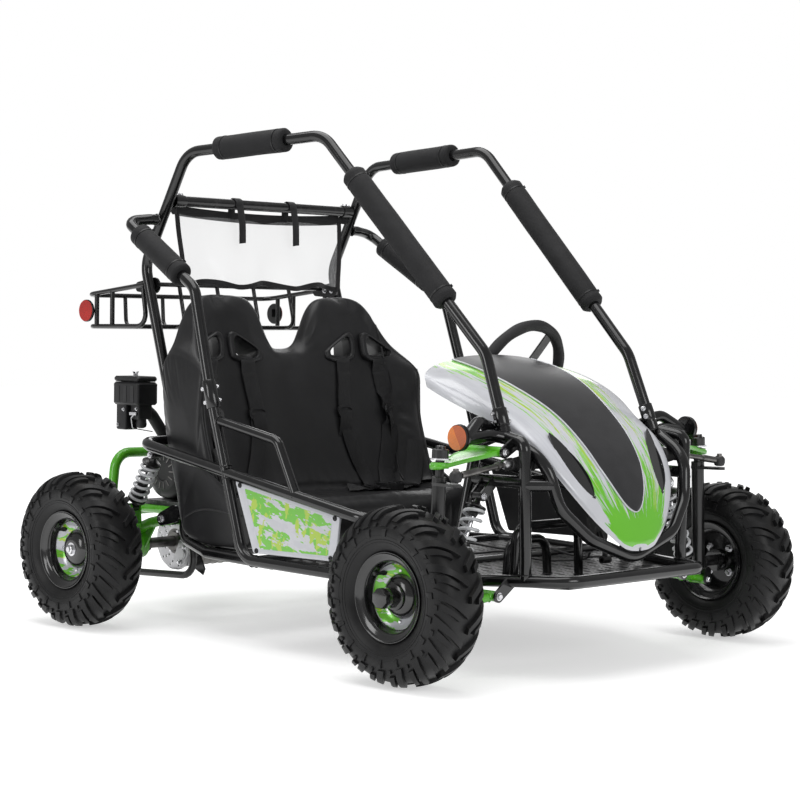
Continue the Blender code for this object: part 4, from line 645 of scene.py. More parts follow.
ground = bmesh.new()
bmesh.ops.create_grid(ground, x_segments=2, y_segments=2, size=14)
ground_mesh = bpy.data.meshes.new("studio_floor")
ground.to_mesh(ground_mesh)
ground.free()
ground_mesh.materials.append(floor_finish())
placed("studio_floor", ground_mesh)


def white_world():
    """Soft grey light from all round, and plain white where the background itself is seen."""
    world = bpy.data.worlds.new("studio")
    bpy.context.scene.world = world
    world.use_nodes = True
    tree = world.node_tree
    ray = add_node(tree, "ShaderNodeLightPath")
    direct = maths(tree, "MAXIMUM", ray.outputs["Is Camera Ray"], ray.outputs["Is Transmission Ray"])
    strength = add_node(tree, "ShaderNodeMapRange", {"Value": direct, "To Min": 0.38, "To Max": 1.0})
    backdrop = tree.nodes["Background"]
    feed(tree, (1, 1, 1, 1), backdrop.inputs["Color"])
    feed(tree, strength.outputs["Result"], backdrop.inputs["Strength"])


white_world()


def soft_lamp(name, at, aim, size, power):
    """A large square lamp turned towards a point."""
    light = bpy.data.lights.new(name, "AREA")
    light.shape = "RECTANGLE"
    light.size, light.size_y = size
    light.energy = power
    lamp, at = placed(name, light), Vector(at)
    lamp.matrix_world = Matrix.Translation(at) @ (Vector(aim) - at).to_track_quat("-Z", "Y").to_matrix().to_4x4()


soft_lamp("overhead softbox", (-0.4, 0.2, 3.3), (0, 0, 0.3), (3.2, 2.6), 70)
soft_lamp("front softbox", (-0.6, -4.2, 1.9), (0, 0, 0.5), (2.0, 1.6), 40)
soft_lamp("side softbox", (-4.3, 0.6, 1.7), (0, 0, 0.5), (1.3, 2.0), 36)
soft_lamp("rear softbox", (3.2, 2.6, 2.4), (0, 0, 0.6), (2.0, 2.0), 26)
bpy.context.scene.view_settings.view_transform = "Standard"
print("studio lit")

# %% [markdown]
# ## Knobby tyres
# The real tyres are small off-road tyres: a round carcass with a thick tread of slanted bars
# that meet near the middle like a row of arrowheads, and claws that run over the shoulder.
# Bump mapping would leave a smooth outline, and the outline is what gives such a tyre its
# character, so every bar is built. The carcass is one turned outline. Each bar follows that
# outline by its arc length, which lets one function serve the tread, the shoulder and the wall.

# %% Carcass outline
TYRE_HALF = [(0.0, 0.1682), (0.016, 0.1680), (0.031, 0.1662), (0.043, 0.1618), (0.0525, 0.1530), (0.0588, 0.1410),
             (0.0608, 0.1270), (0.0590, 0.1130), (0.0540, 0.1010), (0.0490, 0.0945), (0.0452, 0.0905),
             (0.0432, 0.0880)]
TYRE_INSIDE = [(0.0392, 0.0705), (0.0318, 0.0705), (0.034, 0.092), (0.050, 0.118), (0.047, 0.144), (0.030, 0.157),
               (0.0, 0.160)]
TREAD_TOP = 0.1773
PITCHES = 18
PITCH_ANGLE = 2 * math.pi / PITCHES
# Each kind of bar: start and end along the outline, shift and lead round the tyre, widths, heights, steps.
BARS = [(0.0025, 0.072, 0, 0.300, (0.012, 0.017), (0.0091, 0.0045), 9),
        (0.023, 0.060, PITCH_ANGLE * 0.50, 0.150, (0.010, 0.013), (0.0085, 0.0052), 6),
        (0.0765, 0.0925, 0.02, 0.02, (0.011, 0.007), (0.0034, 0.0016), 3),
        (0.066, 0.0735, PITCH_ANGLE * 0.52, 0.02, (0.009, 0.006), (0.0042, 0.0028), 2)]
SINK = 0.003


def along_outline(distance):
    """Offset, radius and outward direction at an arc length from the tyre's middle."""
    left = distance
    for (x0, r0), (x1, r1) in zip(TYRE_HALF, TYRE_HALF[1:]):
        step = math.hypot(x1 - x0, r1 - r0)
        if left <= step or (x1, r1) == TYRE_HALF[-1]:
            t = left / step
            return Vector((x0 + (x1 - x0) * t, r0 + (r1 - r0) * t)), Vector((r0 - r1, x1 - x0)) / step
        left -= step


def smooth_outline(distance, reach=0.006):
    """The same, with the outward direction averaged over a short stretch so that bars don't kink."""
    place, out = along_outline(distance)
    for shift in (-reach, reach):
        out = out + along_outline(max(distance + shift, 0.0))[1]
    return place, out.normalized()


def wheel_point(centre, side, offset, radius, angle):
    """A point on a wheel from its offset along the axle, its radius and its angle."""
    return Vector((centre.x * side + side * offset, centre.y + radius * math.sin(angle),
                   centre.z - radius * math.cos(angle)))


def tread_bar(centre, side, half, start, end, angle, lead, widths, heights, steps):
    """One bar of the tread, from an arc length near the middle to one at the shoulder."""
    rings = []
    for k in range(steps + 1):
        t = k / steps
        place, out = smooth_outline(start + (end - start) * t)
        turn = angle + lead * (1 - t) ** 1.15
        width = widths[0] + (widths[1] - widths[0]) * t
        height = heights[0] + (heights[1] - heights[0]) * t ** 1.5
        ring = []
        for share, level in ((-0.62, -SINK), (-0.5, height), (0.5, height), (0.62, -SINK)):
            offset = (place.x + out.x * level) * half
            radius = min(place.y + out.y * level, TREAD_TOP)
            ring.append(wheel_point(centre, side, offset, radius, turn + share * width / place.y))
        rings.append(ring)
    return skin(rings)


# %% One tyre
def tyre_parts(centre, side):
    """Carcass, wall ribs, slanted bars, short bars and claws."""
    outline = TYRE_HALF + TYRE_INSIDE
    loop = outline + [(-x, r) for x, r in reversed(outline[1:-1])]
    spot = (centre.x * side, centre.y, centre.z)
    parts = [turned(loop, spot, X_AXIS, 108, closed=True)]
    for distance, size in ((0.0985, 0.0010), (0.1040, 0.0007), (0.0905, 0.0006)):
        place = along_outline(distance)[0]
        for half in (1, -1):
            ring = [wheel_point(centre, side, place.x * half, place.y, a) for a in circle(96)]
            parts.append(tube(ring, size, bend=0, sides=6, closed=True))
    for k in range(PITCHES):
        for half in (1, -1):
            angle = (k + (0.5 if half < 0 else 0.0)) * PITCH_ANGLE
            for start, end, shift, lead, widths, heights, steps in BARS:
                parts.append(tread_bar(centre, side, half, start, end, angle + shift, lead, widths, heights, steps))
    return parts


def wheel_body(end, label):
    """The body that a wheel turns with."""
    return f"front_wheel_{label}" if end == "front" else "rear_axle"


for end, centre in WHEELS.items():
    for label, side in SIDES.items():
        tread = make_piece(f"{end}_knobby_tyre_{label}", tyre_parts(centre, side), tyre_rubber, wheel_body(end, label),
                           angle=32, soften=0.0010, stands_for=[f"{end}_tyre_{label}"])
        print(tread.name, len(tread.data.polygons), "faces")

# %% [markdown]
# ## Wheels
# Each wheel is a pressed steel rim in black, with a printed ring of silver and green deep in
# its dish, and a black dome that carries the hub cap. Turned outlines make all of these. The
# print is a plain pattern of broken bands, made by a stretched noise, because a generic band
# repeats well on four wheels.

# %% Broken green bands
def bands_over(material, colour, scale, lean, low, high, stretch, seed):
    """Print slanted broken bands over a finish, from noise stretched along one direction."""
    tree = material.node_tree
    drawn = add_node(tree, "ShaderNodeMapping", {"Vector": own_place(tree), "Rotation": lean, "Scale": (1, 1, stretch),
                                                 "Location": (seed, seed * 0.7, seed * 1.3)}).outputs["Vector"]
    print_over(material, step_up(tree, cloud(tree, drawn, scale, 3.0, 0.6, 0.4), low, high), colour)


PRINT_GREEN = (0.16, 0.58, 0.025)
PRINT_LIME = (0.46, 0.66, 0.045)
rim_print = finish("rim_print", (0.60, 0.61, 0.65), 0.22, metallic=0.2, fine=500, relief=0.05, drift=0.06, dust=0.06,
                   coat=0.5)
bands_over(rim_print, PRINT_GREEN, 13, (0.5, 0.3, 0.2), 0.505, 0.525, 3.0, 1.0)
bands_over(rim_print, PRINT_LIME, 17, (0.7, 0.1, 0.5), 0.60, 0.62, 4.0, 5.0)


# %% One wheel
def wheel_parts(centre, side, reach, hub_bore):
    """Rim, printed ring, dome, cap, valve and the nuts behind."""
    spot = (centre.x * side, centre.y, centre.z)
    axis = X_AXIS * side
    shell = [(0.0445, 0.0872), (0.0452, 0.0885), (0.0472, 0.0889), (0.0486, 0.0880), (0.0486, 0.0868),
             (0.0468, 0.0855), (0.0440, 0.0815), (0.0425, 0.0765), (0.0405, 0.0730), (0.0380, 0.0705),
             (0.0330, 0.0685), (0.0260, 0.0668), (0.0210, 0.0655), (0.0200, 0.0625), (-0.0300, 0.0625),
             (-0.0380, 0.0690), (-0.0420, 0.0780), (-0.0455, 0.0855), (-0.0486, 0.0880), (-0.0472, 0.0889),
             (-0.0445, 0.0880), (-0.0400, 0.0725), (-0.0360, 0.0697), (0.0360, 0.0697), (0.0400, 0.0725)]
    parts = [turned(shell, spot, axis, 72, closed=True)]
    ring = [(0.0205, 0.0645), (0.0212, 0.0628), (0.0120, 0.0560), (0.0068, 0.0440), (0.0060, 0.0340), (0.0030, 0.0340),
            (0.0030, 0.0640)]
    parts.append(turned(ring, spot, axis, 72, 1, closed=True))
    dome = [(0.0040, 0.0440), (0.0085, 0.0445), (0.0120, 0.0430), (0.0175, 0.0385), (0.0225, 0.0320),
            (0.0245, 0.0250), (0.0250, 0.0205), (0.0250, 0.0005)]
    parts.append(turned(dome, spot, axis, 64))
    if reach > 0.05:
        cap = [(0.0230, 0.0215), (0.0440, 0.0205), (0.0450, 0.0212), (reach - 0.003, 0.0205), (reach - 0.001, 0.0192),
               (reach, 0.0150), (reach, 0.0005)]
        parts.append(turned(cap, spot, axis, 8))
        parts.append(turned([(0.0240, 0.0265), (0.0300, 0.0262), (0.0315, 0.0240)], spot, axis, 48))
    else:
        parts += bolt(Vector(spot) + axis * 0.0248, axis, 0.0115, 2, 0.009)
        parts.append(turned([(0.024, 0.006), (reach, 0.006), (reach, 0.0005)], spot, axis, 24, 2))
    back = [(0.0028, 0.0635), (-0.0010, 0.0620), (-0.0040, 0.0480), (-0.0060, 0.0260), (-0.0240, 0.0250),
            (-0.0240, hub_bore), (0.0020, hub_bore)]
    parts.append(turned(back, spot, axis, 64, closed=True))
    for a in circle(4, math.pi / 4):
        nut = Vector(spot) + Vector((-0.0042 * side, 0.037 * math.sin(a), -0.037 * math.cos(a)))
        parts += bolt(nut, -axis, 0.0070, 2, 0.0075)
    for a in circle(4):
        nut = Vector(spot) + Vector((0.0100 * side, 0.0500 * math.sin(a), -0.0500 * math.cos(a)))
        parts.append(turned([(-0.004, 0.0035), (0.0018, 0.0035), (0.0026, 0.0025), (0.0026, 0.0005)], nut, axis, 16, 2))
    stem = Vector(spot) + Vector((0.018 * side, 0.058 * math.sin(2.4), -0.058 * math.cos(2.4)))
    parts.append(turned([(-0.004, 0.0055), (0.002, 0.0052), (0.006, 0.0038), (0.018, 0.0032), (0.019, 0.0042),
                         (0.026, 0.0042), (0.027, 0.0030), (0.027, 0.0004)], stem, axis, 20, 3))
    return parts


for end, reach, hub_bore in (("front", 0.0700, 0.0104), ("rear", 0.0360, 0.0132)):
    for label, side in SIDES.items():
        make_piece(f"{end}_wheel_{label}", wheel_parts(WHEELS[end], side, reach, hub_bore),
                   [rim_black, rim_print, zinc, black_rubber], wheel_body(end, label), angle=38,
                   stands_for=[f"{end}_rim_{label}"])
print("four wheels dressed")

# %% [markdown]
# ## Sheet parts with holes
# Sprockets, brake discs and gussets are cut from sheet and full of holes. A filled 2D curve
# takes any number of outlines and leaves the inner ones open, which is simpler and more
# reliable than cutting each hole with a Boolean.

# %% Cut sheet
def cut_sheet(outlines, thickness, centre, first, second, finish=0):
    """A flat plate from one outer outline and any number of holes."""
    curve = bpy.data.curves.new("cut sheet", "CURVE")
    curve.dimensions = "2D"
    curve.fill_mode = "BOTH"
    curve.extrude = thickness / 2
    for outline in outlines:
        spline = curve.splines.new("POLY")
        spline.points.add(len(outline) - 1)
        for point, (a, b) in zip(spline.points, outline):
            point.co = (a * 100, b * 100, 0, 1)
        spline.use_cyclic_u = True
    curve.extrude *= 100
    holder = placed("cut sheet", curve)
    bpy.context.view_layer.update()
    mesh = bpy.data.meshes.new_from_object(holder.evaluated_get(bpy.context.evaluated_depsgraph_get()))
    work = bmesh.new()
    work.from_mesh(mesh)
    bmesh.ops.remove_doubles(work, verts=work.verts, dist=0.001)
    first, second = Vector(first).normalized(), Vector(second).normalized()
    third = first.cross(second)
    points = [Vector(centre) + (first * v.co.x + second * v.co.y + third * v.co.z) / 100 for v in work.verts]
    faces = [tuple(v.index for v in face.verts) for face in work.faces]
    work.free()
    bpy.data.objects.remove(holder, do_unlink=True)
    bpy.data.curves.remove(curve)
    bpy.data.meshes.remove(mesh)
    return points, faces, finish


def ring_of_holes(count, radius, size, start=0.0, corners=14):
    """Hole outlines spaced round a circle."""
    return [disc_outline(size, corners, (radius * math.cos(a), radius * math.sin(a))) for a in circle(count, start)]


# %% [markdown]
# ## Axle, brake and chain
# The rear axle is one steel bar across the kart. It carries the sprocket on the left and the
# drilled disc on the right. The chain is a real roller chain: pairs of link plates on rollers,
# spaced by the pitch along the loop that the model's chain follows round the two sprockets.

# %% The chain's loop
PITCH = 0.0127
SPROCKET_X = 0.208
CRANK = pivot("clutch_spin")
CHAIN_BIG, CHAIN_SMALL = 0.0776, 0.0296


def chain_loop():
    """Points of the chain's middle line, one for each pitch."""
    big, small = Vector((REAR_AXLE.y, REAR_AXLE.z)), Vector((CRANK.y, CRANK.z))
    line = small - big
    heading = math.atan2(line.y, line.x)
    spread = math.acos((CHAIN_BIG - CHAIN_SMALL) / line.length)
    fine = []
    for centre, radius, start, sweep in ((big, CHAIN_BIG, heading + spread, 2 * math.pi - 2 * spread),
                                         (small, CHAIN_SMALL, heading - spread, 2 * spread)):
        fine += [centre + Vector((math.cos(a), math.sin(a))) * radius
                 for a in (start + sweep * k / 120 for k in range(121))]
    lengths = [0.0]
    for a, b in zip(fine, fine[1:] + fine[:1]):
        lengths.append(lengths[-1] + (b - a).length)
    links = 2 * round(lengths[-1] / PITCH / 2)
    spots, place = [], 0
    for k in range(links):
        want = lengths[-1] * k / links
        while lengths[place + 1] < want:
            place += 1
        t = (want - lengths[place]) / (lengths[place + 1] - lengths[place])
        spots.append(fine[place].lerp(fine[(place + 1) % len(fine)], t))
    return spots


def chain_parts():
    """Inner and outer plates by turns, with a roller at every pitch."""
    spots = chain_loop()
    parts = []
    for k, (a, b) in enumerate(zip(spots, spots[1:] + spots[:1])):
        gap = 0.0026 if k % 2 else 0.0040
        outline = link_outline(a, b, 0.0043, 0.00429, 5)
        for x in (gap, -gap):
            parts.append(plate(outline, 0.0011, (SPROCKET_X + x, 0, 0), Y_AXIS, Z_AXIS))
        parts.append(turned(even([(-0.0048, 0.0006), (-0.0048, 0.0017), (-0.0021, 0.0018), (-0.0020, 0.0036)]),
                            (SPROCKET_X, a.x, a.y), X_AXIS, 10))
    print(len(spots), "links of", round(PITCH * 1000, 1), "mm")
    return parts


make_piece("roller_chain", chain_parts(), dark_steel, "swing_arm", angle=35,
           stands_for=["drive_chain"])


# %% Sprockets
def toothed(radius, teeth, depth=0.0052):
    """The outline of a chain sprocket, eight points to a tooth."""
    outline = []
    for a in circle(teeth * 8):
        wave = 0.5 + 0.5 * math.cos(a * teeth)
        level = radius - depth * 0.62 + depth * wave ** 0.8
        outline.append((level * math.cos(a), level * math.sin(a)))
    return outline


def axle_parts():
    """Bar, journals, collars, keyed hub and sprocket."""
    spot = (0, REAR_AXLE.y, REAR_AXLE.z)
    end = REAR_WHEEL_X + 0.0150
    half = [(-end, 0.0005), (-end, 0.0110), (-end + 0.0015, 0.0125), (-0.350, 0.0125), (-0.348, 0.0125)]
    parts = [turned(even(half), spot, X_AXIS, 32)]
    for x in (-0.300, 0.300):
        parts.append(turned([(x - 0.006, 0.0120), (x - 0.006, 0.0190), (x + 0.006, 0.0190), (x + 0.006, 0.0120)], spot,
                            X_AXIS, 32))
    hub = [(SPROCKET_X - 0.022, 0.0120), (SPROCKET_X - 0.022, 0.0185), (SPROCKET_X - 0.008, 0.0190),
           (SPROCKET_X - 0.0075, 0.0300), (SPROCKET_X - 0.0032, 0.0300), (SPROCKET_X - 0.0030, 0.0120)]
    parts.append(turned(hub, spot, X_AXIS, 36))
    holes = [disc_outline(0.0128, 24)] + ring_of_holes(6, 0.050, 0.0105) + ring_of_holes(4, 0.0235, 0.0032, 0.4)
    parts.append(cut_sheet([toothed(CHAIN_BIG, 38)] + holes, 0.0038, (SPROCKET_X, REAR_AXLE.y, REAR_AXLE.z), Y_AXIS,
                           Z_AXIS, 1))
    face = Vector((SPROCKET_X + 0.0021, REAR_AXLE.y, REAR_AXLE.z))
    return parts + bolt_circle(face, X_AXIS, 0.0235, circle(4, 0.4), 0.0052, 1, 0.0055)


make_piece("live_axle", axle_parts(), [dark_steel, bare_steel], "rear_axle", angle=35, soften=0.0004,
           stands_for=["rear_axle"])


def clutch_parts():
    """Small sprocket with a bell-shaped drum and its end nut."""
    parts = [cut_sheet([toothed(CHAIN_SMALL, 14), disc_outline(0.0102, 20)], 0.0042, tuple(CRANK), Y_AXIS, Z_AXIS, 1)]
    bell = [(0.0022, 0.0100), (0.0022, 0.0240), (0.0060, 0.0250), (0.0080, 0.0400), (0.0100, 0.0420), (0.0250, 0.0420),
            (0.0262, 0.0405), (0.0250, 0.0380), (0.0150, 0.0370), (0.0145, 0.0180), (0.0300, 0.0170), (0.0310, 0.0100)]
    parts.append(turned(bell, CRANK, X_AXIS, 56, closed=True))
    for a in circle(6):
        out = swing(Y_AXIS, Z_AXIS, a)
        parts.append(bar(CRANK + X_AXIS * 0.0205 + out * 0.028, (0.006, 0.017, 0.009), X_AXIS, out, 1))
    return parts


make_piece("clutch_bell", clutch_parts(), [dark_steel, bare_steel], "clutch", angle=35,
           stands_for=["clutch_sprocket"])

# %% [markdown]
# ## Disc brake
# The disc is a thin drilled ring on a hub. The caliper hangs on the swing arm and straddles
# its front edge, so it stays still while the disc turns with the axle.

# %% Disc and caliper
DISC = Vector((-0.208, REAR_AXLE.y, REAR_AXLE.z))
DISC_R = 0.0700


def disc_parts():
    """Drilled ring with a scalloped edge, bolted to its carrier."""
    edge = []
    for a in circle(144):
        radius = DISC_R - 0.0008 - 0.0012 * (0.5 + 0.5 * math.cos(12 * a))
        edge.append((radius * math.cos(a), radius * math.sin(a)))
    holes = [disc_outline(0.0235, 36)]
    for k in range(3):
        holes += ring_of_holes(12, 0.0400 + 0.0095 * k, 0.0031, 0.12 * k + 0.05, 10)
    parts = [cut_sheet([edge] + holes, 0.0036, DISC, Y_AXIS, Z_AXIS)]
    carrier = [(-0.0100, 0.0131), (-0.0100, 0.0230), (-0.0030, 0.0245), (-0.0028, 0.0300), (0.0025, 0.0300),
               (0.0030, 0.0240), (0.0150, 0.0225), (0.0160, 0.0210), (0.0160, 0.0131)]
    parts.append(turned(carrier, DISC, X_AXIS, 40, 1, closed=True))
    return parts + bolt_circle(DISC - X_AXIS * 0.0030, -X_AXIS, 0.0272, circle(4, 0.5), 0.0036, 2, 0.004)


make_piece("drilled_disc", disc_parts(), [bare_steel, dark_steel, zinc], "rear_axle", angle=35,
           stands_for=["brake_disc"])


def caliper_parts():
    """Two bodies either side of the disc, a bridge over its edge, a bracket to the arm and a bleed screw."""
    out = swing(Y_AXIS, Z_AXIS, math.radians(205))
    side = X_AXIS.cross(out)
    at = DISC + out * 0.058
    parts = []
    for x, thick in ((-0.0165, 0.0200), (0.0125, 0.0120)):
        shape = [(-0.020, -0.026), (0.012, -0.030), (0.021, -0.020), (0.021, 0.020), (0.012, 0.030), (-0.020, 0.026)]
        parts.append(plate(shape, thick, at + X_AXIS * x, out, side))
    parts.append(bar(at + out * 0.0195 - X_AXIS * 0.002, (0.007, 0.044, 0.030), out, side))
    parts.append(turned([(-0.010, 0.0155), (0.0, 0.0155), (0.002, 0.0140), (0.002, 0.0005)], at - X_AXIS * 0.0275,
                        -X_AXIS, 32))
    for shift in (-0.021, 0.021):
        parts += bolt(at + side * shift - X_AXIS * 0.0265 + out * 0.004, -X_AXIS, 0.0048, 1, 0.006)
    parts.append(plate([(-0.010, -0.028), (0.010, -0.020), (0.050, 0.010), (0.050, 0.026), (0.0, 0.028)], 0.004,
                       at + X_AXIS * 0.0060 + out * 0.010, out, side, 2))
    parts.append(turned([(0, 0.0030), (0.006, 0.0030), (0.007, 0.0020), (0.013, 0.0020), (0.013, 0.0005)],
                        at + out * 0.0225 - X_AXIS * 0.010, out, 12, 1))
    return parts


make_piece("brake_caliper", caliper_parts(), [alloy, zinc, black_steel], "swing_arm", angle=32, soften=0.0012)
print("brake and drive dressed")

# %% [markdown]
# ## The roll cage
# The cage is bent from one size of round tube and bolted together, not welded, so that it can
# be shipped flat. Each side is a single tube over the rider's head. A crossbar ties the two
# behind the seats. The same corner points as in the model are swept here with rounder bends.

# %% Cage sides, crossbar and couplings
CAGE = [(0.240, -0.5775, 0.4975), (0.232, -0.5185, 0.646), (0.259, -0.0555, 1.1135), (0.296, 0.3635, 1.092),
        (0.302, 0.505, 0.835), (0.302, 0.388, 0.4565)]
CAGE_BEND = 0.07


def on_line(a, b, axis, level):
    """The point of the line from a to b where one coordinate has a given value."""
    a, b = Vector(a), Vector(b)
    return a.lerp(b, (level - a[axis]) / (b[axis] - a[axis]))


def clamp(at, axis, facing, length):
    """A sleeve over a joint of two tubes, with two bolts through it."""
    axis, at = Vector(axis).normalized(), Vector(at)
    half, radius = length / 2, TUBE
    parts = [turned(even([(-half, radius + 0.0004), (-half, radius + 0.0024), (-half + 0.001, radius + 0.0030)]),
                    at, axis, 28)]
    facing = (Vector(facing) - axis * Vector(facing).dot(axis)).normalized()
    for place in (-0.25, 0.25):
        spot = at + axis * (place * length)
        parts += bolt(spot + facing * (radius + 0.0030), facing, 0.0042, 1, 0.0046)
        parts.append(turned([(0, 0.0050), (0.0045, 0.0046), (0.0055, 0.0025), (0.0055, 0.0005)],
                            spot - facing * (radius + 0.0028), -facing, 6, 1))
    return parts


def cage_side_parts(side):
    """One cage tube with its sleeves at the dash and behind the seat."""
    points = flipped(CAGE, side)
    parts = [tube(points, TUBE, CAGE_BEND, 24, steps=9)]
    lean = (points[1] - points[0]).normalized()
    parts += clamp(points[0] + lean * 0.022, lean, (-side, -0.35, 0), length=0.036)
    rise = (points[4] - points[5]).normalized()
    parts += clamp(points[5] + rise * 0.021, rise, (side * 0.5, 1, 0), length=0.034)
    return parts


CROSSBAR = on_line(CAGE[3], CAGE[4], 2, 0.983)


def crossbar_parts():
    """Crossbar with a thicker sleeve and two bolts at each end."""
    end = CROSSBAR.x - TUBE - 0.0012
    spot = (0, CROSSBAR.y, CROSSBAR.z)
    parts = [turned(even([(-end, 0.0005), (-end, TUBE)]), spot, X_AXIS, 24)]
    for side in (1, -1):
        sleeve = [(end - 0.030, TUBE), (end - 0.0295, TUBE + 0.0022), (end - 0.028, TUBE + 0.0027),
                  (end - 0.001, TUBE + 0.0027), (end, TUBE + 0.0018), (end, TUBE)]
        parts.append(turned([(side * x, r) for x, r in sleeve], spot, X_AXIS, 28))
        for x in (0.009, 0.021):
            at = Vector(((end - x) * side, CROSSBAR.y, CROSSBAR.z))
            parts += bolt(at + Z_AXIS * (TUBE + 0.0024), Z_AXIS, 0.0042, 1, 0.0046)
    return parts


for label, side in SIDES.items():
    make_piece(f"roll_cage_{label}", cage_side_parts(side), [frame_black, zinc], "chassis", angle=32,
               stands_for=[f"cage_tube_{label}"])
make_piece("crossbar", crossbar_parts(), [frame_black, zinc], "chassis", angle=32,
           stands_for=["cage_crossbar"])

# %% Shoulder bars
UPRIGHT_LEAN = 0.322
WAIST_X = 0.412


def upright_point(z):
    """A point on the side upright, which leans back."""
    return Vector((WAIST_X, 0.0775 + UPRIGHT_LEAN * (z - 0.375), z))


SHOULDER = [(0.3025, 0.4485, 0.938), (0.335, 0.4485, 0.938), (0.392, 0.4620, 0.932), (0.402, 0.2050, 0.778),
            tuple(upright_point(0.5543))]


def shoulder_parts(side):
    """Bent bar, its flange on the cage, and the two-bolt clamp over the upright."""
    points = flipped(SHOULDER, side)
    points[0].x = (SHOULDER[0][0] + 0.0123) * side
    parts = [tube(points, TUBE, 0.045, 24, steps=7)]
    low, high = flipped([upright_point(0.508), upright_point(0.578)], side)
    rise = (high - low).normalized()
    middle = (low + high) / 2
    parts += clamp(middle, rise, (-side, -0.7, 0), length=0.062)
    parts.append(bead(middle + rise * 0.031, rise, TUBE + 0.0012, 0.0016))
    parts.append(bead(points[0] + X_AXIS * side * 0.001, X_AXIS, TUBE, 0.0019))
    return parts


for label, side in SIDES.items():
    make_piece(f"shoulder_rail_{label}", shoulder_parts(side), [frame_black, zinc], "chassis", angle=32,
               stands_for=[f"shoulder_bar_{label}"])
print("cage dressed")

# %% [markdown]
# ## Foam sleeves
# The pads on the cage are lengths of soft closed-cell foam pushed over the tube. They are
# never quite straight or round: they bulge a little, dent at a tie, and show the long slit
# that they were cut open along. Their ends are rounded by the cut. A sleeve is swept here with
# a radius that wanders by seeded noise, so each one is slightly different and stays the same
# from run to run.

# %% Foam sleeve
PAD_RADIUS = 0.0272
PAD_CORNER, TIE_FROM_END = 0.006, 0.024


def sleeve_parts(a, b, slit, seed):
    """A foam tube from a to b with rounded ends, a slit and two ties."""
    a, b = Vector(a), Vector(b)
    way = (b - a).normalized()
    length = (b - a).length
    first, second = square_to(way, Vector(slit))
    rows, sides = 56, 48
    rings = []
    ties = (TIE_FROM_END, length - TIE_FROM_END)
    for r in range(rows + 1):
        place = length * (r / rows)
        inside = max(0.0, PAD_CORNER - min(place, length - place)) / PAD_CORNER
        round_off = (1 - math.sqrt(max(0.0, 1 - inside ** 2))) * 0.005
        tie = sum(0.0017 * math.exp(-((place - spot) / 0.0035) ** 2) for spot in ties)
        ring = []
        for angle in circle(sides):
            wander = noise.noise(Vector((place * 11, math.cos(angle) * 1.1 + seed, math.sin(angle) * 1.1))) * 0.0007
            cut = 0.0022 * math.exp(-((angle if angle < math.pi else angle - 2 * math.pi) / 0.045) ** 2)
            size = PAD_RADIUS - round_off - tie - cut + wander - 0.0005
            ring.append(a + way * place + swing(first, second, angle) * size)
        rings.append(ring)
    inner = [[a + way * place + swing(first, second, angle) * (TUBE + 0.0004) for angle in circle(sides)]
             for place in (length - 0.0005, 0.0005)]
    parts = [skin(rings + inner, closed=True)]
    for spot in ties:
        middle = a + way * spot
        band = [middle + swing(first, second, angle) * (PAD_RADIUS - 0.0008) for angle in circle(64)]
        parts.append(skin([[p + way * w + (p - middle).normalized() * h for p in band]
                           for w, h in ((-0.0018, -0.0006), (-0.0018, 0.0006), (0.0018, 0.0006), (0.0018, -0.0006))],
                          1, closed=True))
        lock = middle + swing(first, second, 2.6) * (PAD_RADIUS + 0.0008)
        parts.append(bar(lock, (0.0050, 0.0045, 0.0032), way, (lock - middle).cross(way), 1))
    return parts


PAD_RUNS = {
    "roof": ([on_line(CAGE[2], CAGE[3], 1, y) for y in (0.262, 0.054)], (0, 0, -1)),
    "pillar": ([on_line(CAGE[2], CAGE[1], 2, z) for z in (1.026, 0.752)], (0, 1, -1)),
    "shoulder": ([on_line(SHOULDER[2], SHOULDER[3], 2, z) for z in (0.902, 0.806)], (0, 0, -1)),
}
for number, (kind, (run, slit)) in enumerate(PAD_RUNS.items()):
    for label, side in SIDES.items():
        ends = flipped(run, side)
        seed = 7.0 * number + side
        sleeve = make_piece(f"{kind}_sleeve_{label}", sleeve_parts(ends[0], ends[1], slit, seed),
                            [foam_black, black_plastic], "chassis", angle=60,
                            stands_for=[f"{kind}_pad_{label}"])
        print(sleeve.name, round((ends[1] - ends[0]).length, 3), "m long")

# %% [markdown]
# ## Welded frame
# The lower frame is a perimeter of floor tubes with a waist rail above it, tied by uprights,
# seat tubes and hoops for the feet. Where tubes meet there is a weld, a small rippled ring.
# The floor between them is checker plate: flat sheet with raised bars set at right angles.

# %% Floor and waist tubes
FLOOR_Z = 0.185
RAIL_FRONT_Y = -0.7432
RAIL = [(0.400, -0.310, 0.182), (0.302, -0.5475, 0.190), (0.215, RAIL_FRONT_Y, 0.196)]
THIN_TUBE = 0.0105
SWING_PIVOT_X = 0.3315
EAR, EAR_FACE = 0.0125, 0.0145


def waist_z(y):
    """Height of the waist rail, which drops towards the front."""
    return 0.375 + 0.166 * (y - 0.0775)


def rail_point(y):
    """The middle of the floor rail where it runs in towards the nose."""
    for a, b in zip(RAIL, RAIL[1:]):
        if b[1] <= y <= a[1]:
            return Vector(a).lerp(Vector(b), (y - a[1]) / (b[1] - a[1]))


def around(half):
    """Points for the left half of a hoop, carried on round the right half; a point on the middle line counts once."""
    other = half[:-1] if half[-1][0] == 0 else half
    return flipped(half, 1) + flipped(other[::-1], -1)


